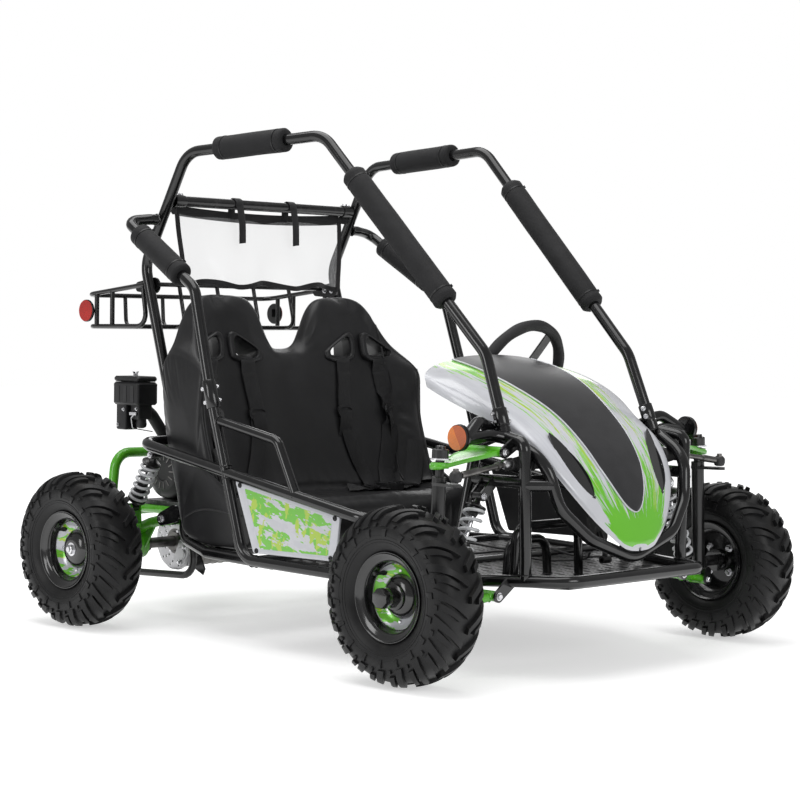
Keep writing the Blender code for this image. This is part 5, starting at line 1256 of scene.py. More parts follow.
def side_frame_parts(side):
    """Seat tube, arm rest, front leg and the rear pivot brackets of one side."""
    seat_tube = [(0.398, -0.06, FLOOR_Z), (0.362, 0.200, FLOOR_Z), (0.330, 0.322, 0.205), (0.306, 0.338, 0.290),
                 (0.302, 0.3875, 0.4560)]
    rest = [tuple(upright_point(0.489)), (WAIST_X, -0.087, 0.452), (WAIST_X, -0.148, waist_z(-0.148))]
    parts = [tube(flipped(seat_tube, side), TUBE, 0.05, 20, steps=6),
             tube(flipped(rest, side), THIN_TUBE, 0.03, 20, steps=6),
             tube(flipped([(0.300, -0.452, 0.300), (0.300, -0.470, 0.186)], side), TUBE, 0.05, 20)]
    for at, way, radius, back in ((rest[0], (0, 1, 0.25), THIN_TUBE, 0.0115),
                                  (rest[2], (0, 0.4, -1), THIN_TUBE, -0.0023),
                                  ((0.300, -0.4685, 0.199), (0, 0.1, 1), TUBE, -0.0023)):
        parts.append(bead(flipped([at], side)[0] - Vector(way).normalized() * back, way, radius + 0.0005, 0.0018))
    pin = pivot("swing_arm_pivot")
    for x in (SWING_PIVOT_X - 0.0163, SWING_PIVOT_X + 0.0163):
        outline = link_outline((0.334, 0.262), (pin.y, pin.z), 0.020, 0.0155)
        parts.append(plate(outline, 0.005, (x * side, 0, 0), Y_AXIS, Z_AXIS))
    stub = [(0, 0.0100), (SWING_PIVOT_X - 0.283, 0.0100)]
    parts.append(turned(stub, (0.302 * side, 0.330, 0.262), X_AXIS * side, 24))
    for x, way in ((SWING_PIVOT_X + 0.0188, side), (SWING_PIVOT_X - 0.0188, -side)):
        parts += bolt((x * side, pin.y, pin.z), X_AXIS * way, 0.0075, 1, 0.0065)
    top = pivot("rear_shock_turn_left")
    for offset in (-EAR, EAR):
        outline = link_outline((0.388, waist_z(0.386)), (top.y, top.z), 0.010, 0.0095)
        parts.append(plate(outline, 0.004, ((top.x + offset) * side, 0, 0), Y_AXIS, Z_AXIS))
    for way in (1, -1):
        parts += bolt(((top.x + EAR_FACE * way) * side, top.y, top.z), X_AXIS * way * side, 0.0055, 1, 0.0050)
    return parts


def arm_bracket_parts(side, joint, base, radii):
    """Two plates in front of and behind a suspension arm's bush, with the bolt through them."""
    at = pivot(joint)
    parts = []
    reach = 0.052 + 0.0003 + 0.0025
    for way in (1, -1):
        y = at.y + way * reach
        origin = base(y) if callable(base) else base
        outline = link_outline(origin, (at.x, at.z), *radii)
        parts += turned_over([plate(outline, 0.005, (0, y, 0), X_AXIS, Z_AXIS)], side)
        parts += bolt((at.x * side, y + way * 0.0025, at.z), Y_AXIS * way, 0.0062, 1, 0.0055)
    return parts


def lower_frame_parts():
    """All the tubes of the lower frame."""
    perimeter = [tuple(upright_point(0.5535)), (WAIST_X, 0.0205, 0.190)] + RAIL
    waist = [(0.300, -0.452, 0.292), (WAIST_X, -0.345, waist_z(-0.345)), (WAIST_X, 0.386, waist_z(0.386))]
    parts = [tube(around(perimeter), TUBE, 0.05, 20, steps=6), tube(around(waist), TUBE, 0.05, 20, steps=6)]
    for y, x in ((0.0, 0.405), (-0.310, 0.400), (0.200, 0.362)):
        parts.append(straight_across(x, y, FLOOR_Z))
        for side in (1, -1):
            parts.append(bead(((x - 0.013) * side, y, FLOOR_Z), X_AXIS, TUBE, 0.0019))
    parts.append(straight_across(0.318, 0.326, 0.222))
    for side in (1, -1):
        for at in flipped([upright_point(waist_z(0.0775) + TUBE), upright_point(0.3625)], side):
            parts.append(bead(at, (0, UPRIGHT_LEAN, 1), TUBE + 0.0004, 0.0019))
        parts += side_frame_parts(side)
        parts += arm_bracket_parts(side, "lower_arm_swing_left",
                                   lambda y: (rail_point(y).x, rail_point(y).z - 0.002), (0.014, 0.0125))
    for y, inner, outer, top in ((-0.600, 0.022, 0.228, 0.297), (-0.548, 0.062, 0.190, 0.262)):
        foot = FLOOR_Z - 0.002
        hoop = [(-outer, y, foot), (-outer + 0.006, y, top), (-inner - 0.006, y, top), (-inner, y, foot)]
        parts.append(tube(hoop, 0.0095, 0.035, 18, steps=6))
        for x in (-outer, -inner):
            parts.append(bead((x, y, FLOOR_Z + 0.0008), Z_AXIS, 0.0095, 0.0018))
    return parts


make_piece("welded_lower_frame", lower_frame_parts(), [frame_black, zinc], "chassis", angle=34,
           stands_for=["main_frame"])
print("lower frame dressed")


# %% Checker plate floor
DIAMOND = [(-0.0085, 0), (-0.003, -0.0024), (0.003, -0.0024), (0.0085, 0), (0.003, 0.0024), (-0.003, 0.0024)]
TRAY = [(0.408, 0.0), (0.398, -0.310), (0.300, -0.5475), (0.2165, -0.7385)]


def tray_half(y):
    """Half width of the floor at a place along the kart, inside the rails."""
    for a, b in zip(TRAY, TRAY[1:]):
        if b[1] <= y <= a[1]:
            return a[0] + (b[0] - a[0]) * (y - a[1]) / (b[1] - a[1]) - 0.021


def checker_parts():
    """The sheet with its raised bars, turned left and right by turns."""
    outline = TRAY + [(-x, y) for x, y in reversed(TRAY)]
    parts = [plate(outline, 0.0038, (0, 0, FLOOR_Z - 0.0021), X_AXIS, Y_AXIS)]
    pitch = 0.0210
    for row in range(36):
        y = -0.726 + row * pitch
        half = tray_half(y)
        if half is None or abs(y + 0.310) < 0.016 or y > -0.016:
            continue
        for column in range(-20, 21):
            x = (column + 0.5 * (row % 2)) * pitch
            if abs(x) > half:
                continue
            lean = math.radians(45 if (row + column) % 2 else -45)
            way = Vector((math.cos(lean), math.sin(lean), 0))
            across = Vector((-way.y, way.x, 0))
            at = Vector((x, y, FLOOR_Z - 0.0002))
            low = [at + way * a + across * b for a, b in DIAMOND]
            high = [at + (p - at) * 0.62 + Z_AXIS * 0.0011 for p in low]
            parts.append(skin([low, high]))
    return parts


make_piece("checker_floor", checker_parts(), black_steel, "chassis", angle=30)
print("floor laid")

# %% [markdown]
# ## Front frame
# Ahead of the cockpit stand two towers for the front arms, the dash hoop that carries the
# cage and the steering column, and a hoop that guards the nose. The same tube runs through all
# of them, with plates for the pivots and round backing discs for the side lamps.

# %% Towers, dash hoop and nose guard
GUARD = [(0.366, -0.5775, 0.476), (0.240, -0.5775, 0.487), (0.226, -0.683, 0.431), (0.206, -0.700, 0.340),
         (0.135, -0.7235, 0.275), (0.0, -0.7255, 0.228)]
DASH = [(0.350, -0.5775, 0.480), (0.296, -0.560, 0.512), (0.228, -0.545, 0.4865)]
TOWER_Y, BACK_POST_Y = -0.655, -0.520
RACK = Vector((STEER_CENTRE.x, -0.6255, 0.428))


def tower_parts(side):
    """Posts, braces, arm plates, shock bracket, pillar socket and lamp disc of one side."""
    back, front = rail_point(BACK_POST_Y), rail_point(TOWER_Y)
    back_post = [(back.x, BACK_POST_Y, back.z), (back.x, BACK_POST_Y, 0.235), (0.262, -0.526, 0.4640),
                 (0.262, -0.572, 0.4800)]
    front_post = [(front.x, TOWER_Y, front.z), (front.x, TOWER_Y, 0.235), (0.262, TOWER_Y, 0.4700),
                  (0.250, -0.597, 0.4800)]
    runs = [(back_post, 0.02), (front_post, 0.02), ([(0.260, TOWER_Y, 0.386), (0.2165, -0.692, 0.386)], 0),
            ([(0.262, TOWER_Y, 0.392), (0.275, -0.522, 0.392)], 0)]
    parts = [tube(flipped(points, side), TUBE, bend, 20) for points, bend in runs]
    for post, y in ((back, BACK_POST_Y), (front, TOWER_Y)):
        parts.append(bead((post.x * side, y, post.z + TUBE), Z_AXIS, TUBE, 0.0019))
    parts += arm_bracket_parts(side, "upper_arm_swing_left", (0.262, 0.468), (0.0135, 0.0125))
    top = pivot("front_shock_turn_left")
    for way in (1, -1):
        outline = link_outline((0.272, 0.392), (top.x, top.z), 0.011, 0.0105)
        parts += turned_over([plate(outline, 0.004, (0, top.y + way * EAR, 0), X_AXIS, Z_AXIS)], side)
        parts += bolt((top.x * side, top.y + way * EAR_FACE, top.z), Y_AXIS * way, 0.0055, 1, 0.0050)
    foot, rise = flipped(CAGE[:2], side)
    lean = (rise - foot).normalized()
    parts.append(tube([foot - lean * 0.020, foot - lean * 0.0006], TUBE + 0.002, 0, 24))
    parts.append(bead(foot - lean * 0.019, lean, TUBE + 0.0015, 0.0020))
    lamp = Vector((0.3655 * side, -0.5775, 0.481))
    parts.append(turned([(0, 0.0005), (0, 0.0263), (0.0006, 0.0270), (0.0040, 0.0270), (0.0045, 0.0263),
                         (0.0045, 0.0005)], lamp, X_AXIS * side, 40))
    return parts


def front_frame_parts():
    """Both towers with the hoops, brace, rack saddles and column hanger."""
    parts = [tube(around(GUARD), TUBE, 0.085, 20, steps=9), tube(around(DASH), TUBE, 0.03, 20)]
    for side in (1, -1):
        parts += tower_parts(side)
    parts.append(tube([(0.262, -0.622, 0.392), (-0.262, -0.622, 0.392)], THIN_TUBE, 0, 18))
    saddle_top = RACK.z - 0.0122
    for x in (-0.090, 0.090):
        parts.append(bar((x, RACK.y, (0.392 + saddle_top) / 2), (0.024, 0.020, saddle_top - 0.392)))
    hang_y = -0.541
    hang_z = RACK.z + (hang_y - RACK.y) * STEER_AXIS.z / STEER_AXIS.y
    ring = disc_outline(0.0185, 32, (STEER_CENTRE.x, hang_z))
    hole = disc_outline(0.0100, 32, (STEER_CENTRE.x, hang_z))
    parts.append(plate(ring, 0.012, (0, hang_y, 0), X_AXIS, Z_AXIS, 0, hole))
    for y, low in ((-0.541, 0.4865), (-0.720, 0.232)):
        parts.append(bar((0, y, (low + nose_under(y)) / 2), (0.020, 0.013, nose_under(y) - low)))
    return parts


# %% The nose's shape, needed first for the posts that carry it
NOSE_CENTRE = [(-0.322, 0.634), (-0.400, 0.616), (-0.488, 0.582), (-0.580, 0.528), (-0.650, 0.465), (-0.700, 0.395),
               (-0.730, 0.325), (-0.743, 0.280)]
NOSE_EDGE = [(0.245, -0.365, 0.580), (0.256, -0.425, 0.560), (0.245, -0.490, 0.533), (0.212, -0.556, 0.503),
             (0.200, -0.628, 0.462), (0.175, -0.683, 0.393), (0.120, -0.722, 0.318), (0.050, -0.741, 0.264)]
NOSE_ARCH = 2.3


def nose_under(y):
    """Height of the inner face of the nose on its middle line."""
    for (y0, z0), (y1, z1) in zip(NOSE_CENTRE, NOSE_CENTRE[1:]):
        if y1 <= y <= y0:
            slope = math.atan2(z0 - z1, y0 - y1)
            return z0 + (z1 - z0) * (y - y0) / (y1 - y0) - 0.0045 / math.cos(slope)


make_piece("welded_front_frame", front_frame_parts(), [frame_black, zinc], "chassis", angle=34,
           stands_for=["front_frame"])
print("front frame dressed")

# %% [markdown]
# ## The bench seat
# The two bucket seats are one bench: moulded foam under a stretched vinyl cover. The cover is
# pulled in along the seams at the bolsters and swells between them. To get that, the bench is
# lofted from side views at several places across, rounded off with Catmull-Clark steps, and
# then put through a short cloth simulation with a little air pressure. The seam lines are
# pinned, and no point may move further than a few millimetres.

# %% Side views across the bench
SEAT_VIEWS = [(0.000, 0.644, 0.000, 0.000), (0.036, 0.645, 0.000, 0.000), (0.060, 0.666, 0.001, 0.001),
              (0.083, 0.727, 0.003, 0.003), (0.106, 0.760, 0.005, 0.006), (0.140, 0.768, 0.006, 0.008),
              (0.222, 0.769, 0.000, 0.000), (0.264, 0.761, 0.006, 0.008), (0.292, 0.728, 0.008, 0.018),
              (0.316, 0.664, 0.020, 0.050), (0.346, 0.636, 0.026, 0.086), (0.3585, 0.612, 0.016, 0.074)]
SEAM_X = (0.292, 0.346)


def side_view(top, lift, wing, outer):
    """(y, z) points from the front lip up over the cushion and the back rest, and down behind."""
    tuck = 0.011 if outer else 0.0
    rear = 0.2225 if outer else 0.198
    return [(0.068, 0.198), (0.062, 0.215), (0.0615, 0.262), (0.064, 0.284), (0.078, 0.300 + lift * 0.6),
            (0.120, 0.297 + lift * 0.8), (0.165, 0.291 + lift), (0.210, 0.290 + lift),
            (0.241 - wing, 0.300 + lift), (0.256 - wing, 0.322), (0.270 - wing, 0.355), (0.284 - wing * 0.90, 0.417),
            (0.297 - wing * 0.80, 0.480), (0.309 - wing * 0.92, min(0.540, top - 0.070)),
            (0.321 - wing * 1.15, min(0.600, top - 0.034)),
            (0.337 - wing * 0.8, min(0.676, top - 0.020)), (0.351 - wing * 0.6, top - 0.008),
            (0.372 - wing * 0.3, top + 0.003), (0.387 - wing * 0.2, top - 0.008), (0.393 - wing * 0.2, top - 0.030),
            (0.393 - wing * 0.2, min(0.590, top - 0.034)), (0.387 - tuck, 0.530), (0.381 - tuck, 0.480),
            (0.373 - tuck, 0.435), (0.363 - 2.6 * tuck, 0.360), (0.334 - 2 * tuck, 0.262), (0.311 - tuck, 0.240),
            (0.309 - tuck, rear), (0.240, 0.198), (0.150, 0.198)]


def seat_object():
    """The lofted bench as a mesh of quads, with closed ends."""
    rows = [(-x, *rest, x > 0.28) for x, *rest in reversed(SEAT_VIEWS[1:])]
    rows += [(x, *rest, x > 0.28) for x, *rest in SEAT_VIEWS]
    rings = [[Vector((x, y, z)) for y, z in side_view(top, lift, wing, outer)] for x, top, lift, wing, outer in rows]
    ends = []
    for ring, push in ((rings[0], -1), (rings[-1], 1)):
        middle = sum(ring, Vector()) / len(ring)
        ends.append([middle + (p - middle) * 0.72 + X_AXIS * 0.0015 * push for p in ring])
    return make_piece("bench_seat", [skin([ends[0], *rings, ends[1]])], vinyl, None, angle=180)


bench = seat_object()
rounding = bench.modifiers.new("rounding", "SUBSURF")
rounding.levels = rounding.render_levels = 3
baked(bench)
print("bench:", len(bench.data.polygons), "faces")


# %% Swell the cover between its seams
FREE_MOVE = 0.0055


def near_seam(point):
    """1 on a seam, on the underside and behind, 0 in the middle of a panel."""
    pinned = max(math.exp(-((abs(point.x) - x) / 0.0045) ** 2) for x in SEAM_X)
    crease = math.exp(-((point.y - 0.262) / 0.016) ** 2 - ((point.z - 0.300) / 0.016) ** 2)
    behind = 1.0 if point.z < 0.215 or point.y > 0.330 + 0.14 * (point.z - 0.30) + 0.02 else 0.0
    return min(1.0, max(pinned, crease, behind))


rest_shape = [v.co.copy() for v in bench.data.vertices]
hold = bench.vertex_groups.new(name="seams")
for vertex in bench.data.vertices:
    hold.add([vertex.index], near_seam(vertex.co), "REPLACE")
cover = bench.modifiers.new("cover", "CLOTH")
cover.settings.quality = 4
cover.settings.use_pressure = True
cover.settings.uniform_pressure_force = 3.0
cover.settings.vertex_group_mass = "seams"
cover.settings.tension_stiffness = cover.settings.compression_stiffness = 12
cover.settings.bending_stiffness = 0.6
cover.settings.effector_weights.gravity = 0
cover.collision_settings.use_collision = False
scene = bpy.context.scene
for frame_number in range(1, 17):
    scene.frame_set(frame_number)
baked(bench)
furthest = 0.0
for vertex, rest in zip(bench.data.vertices, rest_shape):
    move = vertex.co - rest
    furthest = max(furthest, move.length)
    vertex.co = rest + (move if move.length < FREE_MOVE else move.normalized() * FREE_MOVE)
scene.frame_set(1)
print("cover swelled, furthest free move", round(furthest * 1000, 1), "mm, kept to", FREE_MOVE * 1000, "mm")

# %% Pull wrinkles in at the bolsters
normals = [v.normal.copy() for v in bench.data.vertices]
for vertex, normal in zip(bench.data.vertices, normals):
    at = vertex.co
    fold = math.exp(-((abs(at.x) - 0.312) / 0.020) ** 2) * math.exp(-((at.z - 0.47) / 0.09) ** 2)
    ripple = noise.noise(Vector((at.x * 26, at.y * 30, at.z * 95 + abs(at.x) * 60)))
    broad = noise.noise(at * 9.0) * 0.0009
    lean = math.exp(-((at.z - 0.318) / 0.03) ** 2) * noise.noise(Vector((at.x * 55, at.z * 22, 3.0)))
    vertex.co = at + normal * (fold * ripple * 0.0034 + broad + lean * 0.0022 - near_seam(at) * 0.0008)
bench.data.update()
SKIN_OF_SEAT = BVHTree.FromPolygons([v.co for v in bench.data.vertices], [p.vertices for p in bench.data.polygons])


def on_seat(point, lift=0.0, way=Y_AXIS):
    """Where a line from the front, or from above, meets the seat, lifted off it a little."""
    hit, normal, _, _ = SKIN_OF_SEAT.ray_cast(Vector(point) - Vector(way) * 0.5, Vector(way))
    return hit + normal * lift, normal


# %% Belt openings through the back rest
SLOT_Z = 0.642
SLOT_X = (0.154, 0.272)
SLOT_UP = Vector((0, math.sin(0.19), math.cos(0.19)))
SLOT_THROUGH = X_AXIS.cross(SLOT_UP).normalized()
SLOT_OUTLINE = [(-0.049, -0.012), (-0.049, 0.030), (-0.036, 0.040), (-0.021, 0.035), (0.049, -0.004), (0.052, -0.019),
                (0.045, -0.030), (0.004, -0.039), (-0.040, -0.028)]


def rounded_off(outline, rounds=3):
    """Cut every corner of a closed outline again and again until it is soft."""
    for _ in range(rounds):
        cut = []
        for a, b in zip(outline, outline[1:] + outline[:1]):
            cut += [(a[0] * 0.75 + b[0] * 0.25, a[1] * 0.75 + b[1] * 0.25),
                    (a[0] * 0.25 + b[0] * 0.75, a[1] * 0.25 + b[1] * 0.75)]
        outline = cut
    return outline


SLOT_CENTRES = {x: on_seat((x, 0.2, SLOT_Z))[0] for x in SLOT_X}
SOFT_SLOT = rounded_off(SLOT_OUTLINE)


def slot_ring(x, outward, share, depth):
    """The opening's outline, scaled and moved along the line of sight through the back rest."""
    centre = SLOT_CENTRES[round(abs(x), 3)].copy()
    centre.x = x
    return [centre + X_AXIS * outward * u * share + SLOT_UP * w * share + SLOT_THROUGH * depth for u, w in SOFT_SLOT]


slots = [(x * side, outward * side) for side in (1, -1) for x, outward in zip(SLOT_X, (-1, 1))]
cutter = make_piece("slot_cutter", [skin([slot_ring(x, outward, share, depth) for share, depth in
                                          ((0.72, 0.09), (0.72, 0.0), (1.14, -0.085), (1.14, -0.12))])
                                    for x, outward in slots], black_plastic, None)
cut_through(bench, cutter, 55)
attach(bench, "chassis")
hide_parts("seat")

# %% Plastic collars: a domed flange on the cover and a sleeve through the foam
BEZEL = [(1.19, -0.073), (1.12, -0.077), (1.10, -0.072), (0.70, 0.000), (0.71, 0.0055), (0.76, 0.0078), (0.93, 0.0070),
         (1.02, 0.0035), (1.03, -0.0050)]
make_piece("belt_bezels", [skin([slot_ring(x, outward, share, depth) for share, depth in BEZEL], capped=False)
                           for x, outward in slots], black_plastic, "chassis", angle=50)
print("bench cut for", len(slots), "belts")


# %% Piped seams
def seam_line(x):
    """Points on the seat along one seam, from the front lip to the top."""
    top = 0.700 if abs(x) < 0.3 else 0.592
    over = [on_seat((x, 0.075 + 0.13 * k / 9, 0.30), 0.0004, -Z_AXIS)[0] for k in range(10)]
    return over + [on_seat((x, 0.2, 0.335 + (top - 0.335) * k / 25), 0.0004)[0] for k in range(26)]


CUSHION_SIDE = [(0.085, 0.276), (0.130, 0.281), (0.175, 0.283), (0.215, 0.281), (0.250, 0.273), (0.280, 0.260)]
piping = []
for side in (1, -1):
    joint = [on_seat((0.3 * side, y, z), 0.0004, X_AXIS * -side)[0] for y, z in CUSHION_SIDE]
    piping.append(tube(smooth_path(joint, 6), 0.0024, 0, 8))
    for x in SEAM_X:
        piping.append(tube(smooth_path(seam_line(x * side), 3), 0.0019, 0, 8))
make_piece("seat_piping", piping, piping_vinyl, "chassis", angle=60)
print("seams piped")

# %% [markdown]
# ## Belts
# Each rider has a four-point belt. Two shoulder straps come through the openings, run down the
# back rest with an adjuster half way, and end at the buckle on the cushion, where the lap
# straps meet them. The straps are flat webbing that follows the seat's surface, so each point
# of a path is dropped onto the seat and lifted off it a little.

# %% Straps, adjusters and buckles
STRAP_WIDTH = 0.042


def strap_on_seat(marks, lift, way=Y_AXIS, sway=0.0):
    """A strap over marks on the seat, soft between them; returns its path and facings."""
    path, facings = [], []
    for k, mark in enumerate(smooth_path(marks, 5)):
        place, normal = on_seat(mark, lift + sway * math.sin(k * 0.9) ** 2, way)
        path.append(place)
        facings.append(normal)
    soft = [path[max(k - 1, 0)] * 0.25 + path[k] * 0.5 + path[min(k + 1, len(path) - 1)] * 0.25
            for k in range(len(path))]
    return soft, facings


def adjuster_parts(at, down, face):
    """A three-bar slide: a frame with rounded sides and a centre bar."""
    across = down.cross(face).normalized()
    half_w, half_h = STRAP_WIDTH / 2 + 0.0055, 0.017
    outline = rounded_off([(-half_w, -half_h), (half_w, -half_h), (half_w, half_h), (-half_w, half_h)], 2)
    hole = [(u * 0.80, w * 0.62) for u, w in outline]
    middle = at + face * 0.0035
    return [plate(outline, 0.0042, middle, across, down, 1, hole),
            bar(middle + face * 0.0012, (2 * half_w - 0.006, 0.0060, 0.0035), across, down, 1)]


def belt_parts(centre_x):
    """Both shoulder straps, lap straps, slides and the buckle of one rider."""
    parts = []
    side = 1 if centre_x > 0 else -1
    buckle = on_seat((centre_x, 0.195, 0.30), 0.011, -Z_AXIS)[0]
    for outward, x in ((-1, SLOT_X[0]), (1, SLOT_X[1])):
        x, way = x * side, outward * side
        bend = 0.012 * way
        over = Vector((x, 0.372, 0.6245))
        marks = [(x + bend * 0.1, 0.30, 0.585), (x + bend * 0.3, 0.30, 0.560), (x + bend, 0.30, 0.500),
                 (x + bend * 0.8, 0.30, 0.440), (x - way * 0.004, 0.28, 0.385), (x - way * 0.020, 0.26, 0.345)]
        path, faces = strap_on_seat(marks, 0.0030, sway=0.0012)
        lip_y = SLOT_CENTRES[abs(x)].y - 0.004
        lead = [over, Vector((x, lip_y + 0.022, 0.6225)), Vector((x, lip_y - 0.002, 0.6205)),
                Vector((x, lip_y - 0.0095, 0.6130)), Vector((x, lip_y - 0.0100, 0.6060))]
        lead_faces = [Vector((0, -0.1, 1)), Vector((0, -0.2, 1)), Vector((0, -0.5, 0.8)), Vector((0, -0.9, 0.3)),
                      Vector((0, -1, 0.2))]
        fall_marks = [(x - way * 0.030, 0.235, 0.30), (x - way * 0.036, 0.215, 0.30),
                      (buckle.x + way * 0.014, 0.200, 0.30)]
        fall, fall_faces = strap_on_seat(fall_marks, 0.0045, -Z_AXIS)
        parts.append(strap(lead + path + fall, STRAP_WIDTH, 0.0016, lead_faces + faces + fall_faces))
        pick = min(range(len(path)), key=lambda k: abs(path[k].z - 0.492))
        down = (path[pick + 1] - path[pick - 1]).normalized()
        parts += adjuster_parts(path[pick], down, faces[pick])
        doubled = [p + f * 0.0024 for p, f in zip(path[:pick + 1], faces)]
        parts.append(strap(doubled[-12:], STRAP_WIDTH - 0.001, 0.0015, faces[:pick + 1][-12:]))
        tail = [path[pick] + faces[pick] * 0.006, path[pick] + faces[pick] * 0.010 + Vector((way * 0.004, 0, -0.03)),
                path[pick] + faces[pick] * 0.008 + Vector((way * 0.009, 0, -0.070))]
        parts.append(strap(smooth_path(tail, 5), STRAP_WIDTH - 0.002, 0.0015, faces[pick]))
        lap_marks = [(centre_x + way * 0.118, 0.225, 0.30), (centre_x + way * 0.085, 0.205, 0.30),
                     (centre_x + way * 0.048, 0.192, 0.30), (buckle.x + way * 0.022, 0.188, 0.30)]
        lap, lap_faces = strap_on_seat(lap_marks, 0.0055, -Z_AXIS, 0.002)
        parts.append(strap(lap, STRAP_WIDTH, 0.0016, lap_faces))
        spot = len(lap) // 2
        parts += adjuster_parts(lap[spot], (lap[spot + 1] - lap[spot - 1]).normalized(), lap_faces[spot])
        tongue = Vector((buckle.x + way * 0.031, buckle.y, buckle.z - 0.003))
        parts.append(bar(tongue, (0.020, 0.030, 0.0022), finish=2))
    body = rounded_off([(-0.026, -0.032), (0.026, -0.032), (0.030, 0.010), (0.020, 0.034), (-0.020, 0.034),
                        (-0.030, 0.010)], 2)
    parts.append(plate(body, 0.014, buckle, X_AXIS, Y_AXIS, 1))
    parts.append(plate([(u * 0.93, w * 0.93) for u, w in body], 0.017, buckle, X_AXIS, Y_AXIS, 1))
    parts.append(plate([(u * 0.52, w * 0.38 - 0.014) for u, w in body], 0.0205, buckle, X_AXIS, Y_AXIS, 3))
    return parts


for label, centre_x in (("driver", 0.213), ("passenger", -0.213)):
    make_piece(f"{label}_belt", belt_parts(centre_x), [webbing, black_plastic, bare_steel, gloss_plastic], "chassis",
               angle=42)
print("belts laid")

# %% [markdown]
# ## Nose and side panels
# The nose is one vacuum-formed shell with turned-down edges, two leaf-shaped air vents and a
# separate dark moulding over its crown. It is printed with loose brush strokes that follow the
# air flow. The shell comes from the same middle line and edge line as the model, softened
# between their points, so that it has a clean highlight from front to back. The strokes are
# stretched noise, cut off by how far along the nose a point lies.

# %% Nose surface
NOSE_MIDDLE = smooth_path([Vector((0, y, z)) for y, z in NOSE_CENTRE + [(-0.7460, 0.2640), (-0.7455, 0.2535)]], 6)
NOSE_SIDE = smooth_path([Vector(p) for p in NOSE_EDGE[:-1]
                         + [(0.062, -0.7405, 0.2690), (0.034, -0.7440, 0.2560), (0.004, -0.7450, 0.2525)]], 6)
TIP_ROW = 36


def on_path(line, row):
    """A point of a path at a row that needn't be whole."""
    k = min(int(row), len(line) - 2)
    return line[k].lerp(line[k + 1], row - k)


def nose_at(row, t):
    """A point of the nose: row along its length, t from -1 to 1 across."""
    middle, edge = on_path(NOSE_MIDDLE, row), on_path(NOSE_SIDE, row)
    lift = (1 - min(1.0, abs(t)) ** NOSE_ARCH) ** (1 / NOSE_ARCH)
    return Vector((edge.x * t, edge.y + (middle.y - edge.y) * lift, edge.z + (middle.z - edge.z) * lift))


def nose_normal(row, t):
    """The outward direction at a point of the nose."""
    low, high = max(row - 1, 0), min(row + 1, len(NOSE_SIDE) - 1)
    a, b = max(t - 0.02, -0.998), min(t + 0.02, 0.998)
    return (nose_at(high, t) - nose_at(low, t)).cross(nose_at(row, b) - nose_at(row, a)).normalized()


def across_nose(rows, span, low, high, columns=40, dome=0.0, lip=0.0):
    """Closed sheet over the nose between two heights, with a half width for each row."""
    rings = []
    for row, half in zip(rows, span):
        shares = [math.sin(math.pi / 2 * k / (columns / 2)) * half for k in range(-columns // 2, columns // 2 + 1)]
        top = [nose_at(row, t) + nose_normal(row, t) * (high + dome * (1 - (t / half) ** 2) if half else high)
               for t in shares]
        under = [nose_at(row, t) + nose_normal(row, t) * low for t in shares]
        if lip:
            drop = Vector((0, 0, -lip))
            top = [top[0] + drop] + top + [top[-1] + drop]
            under = [under[0] + drop + X_AXIS * 0.002] + under + [under[-1] + drop - X_AXIS * 0.002]
        rings.append(top + under[::-1])
    return skin(rings)


nose_print, panel_print = body_white.copy(), body_white.copy()
nose_print.name, panel_print.name = "nose_print", "panel_print"
EDGE_OF_PRINT = 0.012


def rise_and_fall(tree, value, points):
    """A float curve through (place, value) points."""
    curve = add_node(tree, "ShaderNodeFloatCurve", {"Value": value})
    for k, spot in enumerate(points):
        if k < 2:
            curve.mapping.curves[0].points[k].location = spot
        else:
            curve.mapping.curves[0].points.new(*spot)
    curve.mapping.update()
    return curve.outputs[0]


def nose_strokes(colour, scale, along, across, low, seed):
    """Print strokes drawn out along the nose; along and across say where they are thick."""
    tree = nose_print.node_tree
    spot = add_node(tree, "ShaderNodeUVMap", uv_map="flow").outputs["UV"]
    drawn = add_node(tree, "ShaderNodeMapping", {"Vector": spot, "Location": (seed, seed * 0.7, 0),
                                                 "Scale": (*scale, 1)}).outputs["Vector"]
    apart = add_node(tree, "ShaderNodeSeparateXYZ", {0: spot})
    sideways = maths(tree, "ABSOLUTE", maths(tree, "SUBTRACT", maths(tree, "MULTIPLY", apart.outputs["X"], 2.0), 1.0))
    bias = maths(tree, "ADD", rise_and_fall(tree, apart.outputs["Y"], along), rise_and_fall(tree, sideways, across))
    total = maths(tree, "ADD", cloud(tree, drawn, 1.0, 4.0, 0.62), maths(tree, "SUBTRACT", bias, 1.0))
    print_over(nose_print, step_up(tree, total, low, low + EDGE_OF_PRINT), colour)


def panel_strokes(colour, scale, slope, stretch, low, seed):
    """Print strokes over a side panel, drawn out along one slope."""
    tree = panel_print.node_tree
    drawn = add_node(tree, "ShaderNodeMapping", {"Vector": own_place(tree), "Scale": (1, stretch, 1),
                                                 "Location": (seed, seed * 1.7, seed * 0.4),
                                                 "Rotation": (math.radians(slope), 0, 0)},
                     vector_type="TEXTURE").outputs["Vector"]
    mask = step_up(tree, cloud(tree, drawn, scale, 3.5, 0.6), low, low + EDGE_OF_PRINT)
    print_over(panel_print, mask, colour)


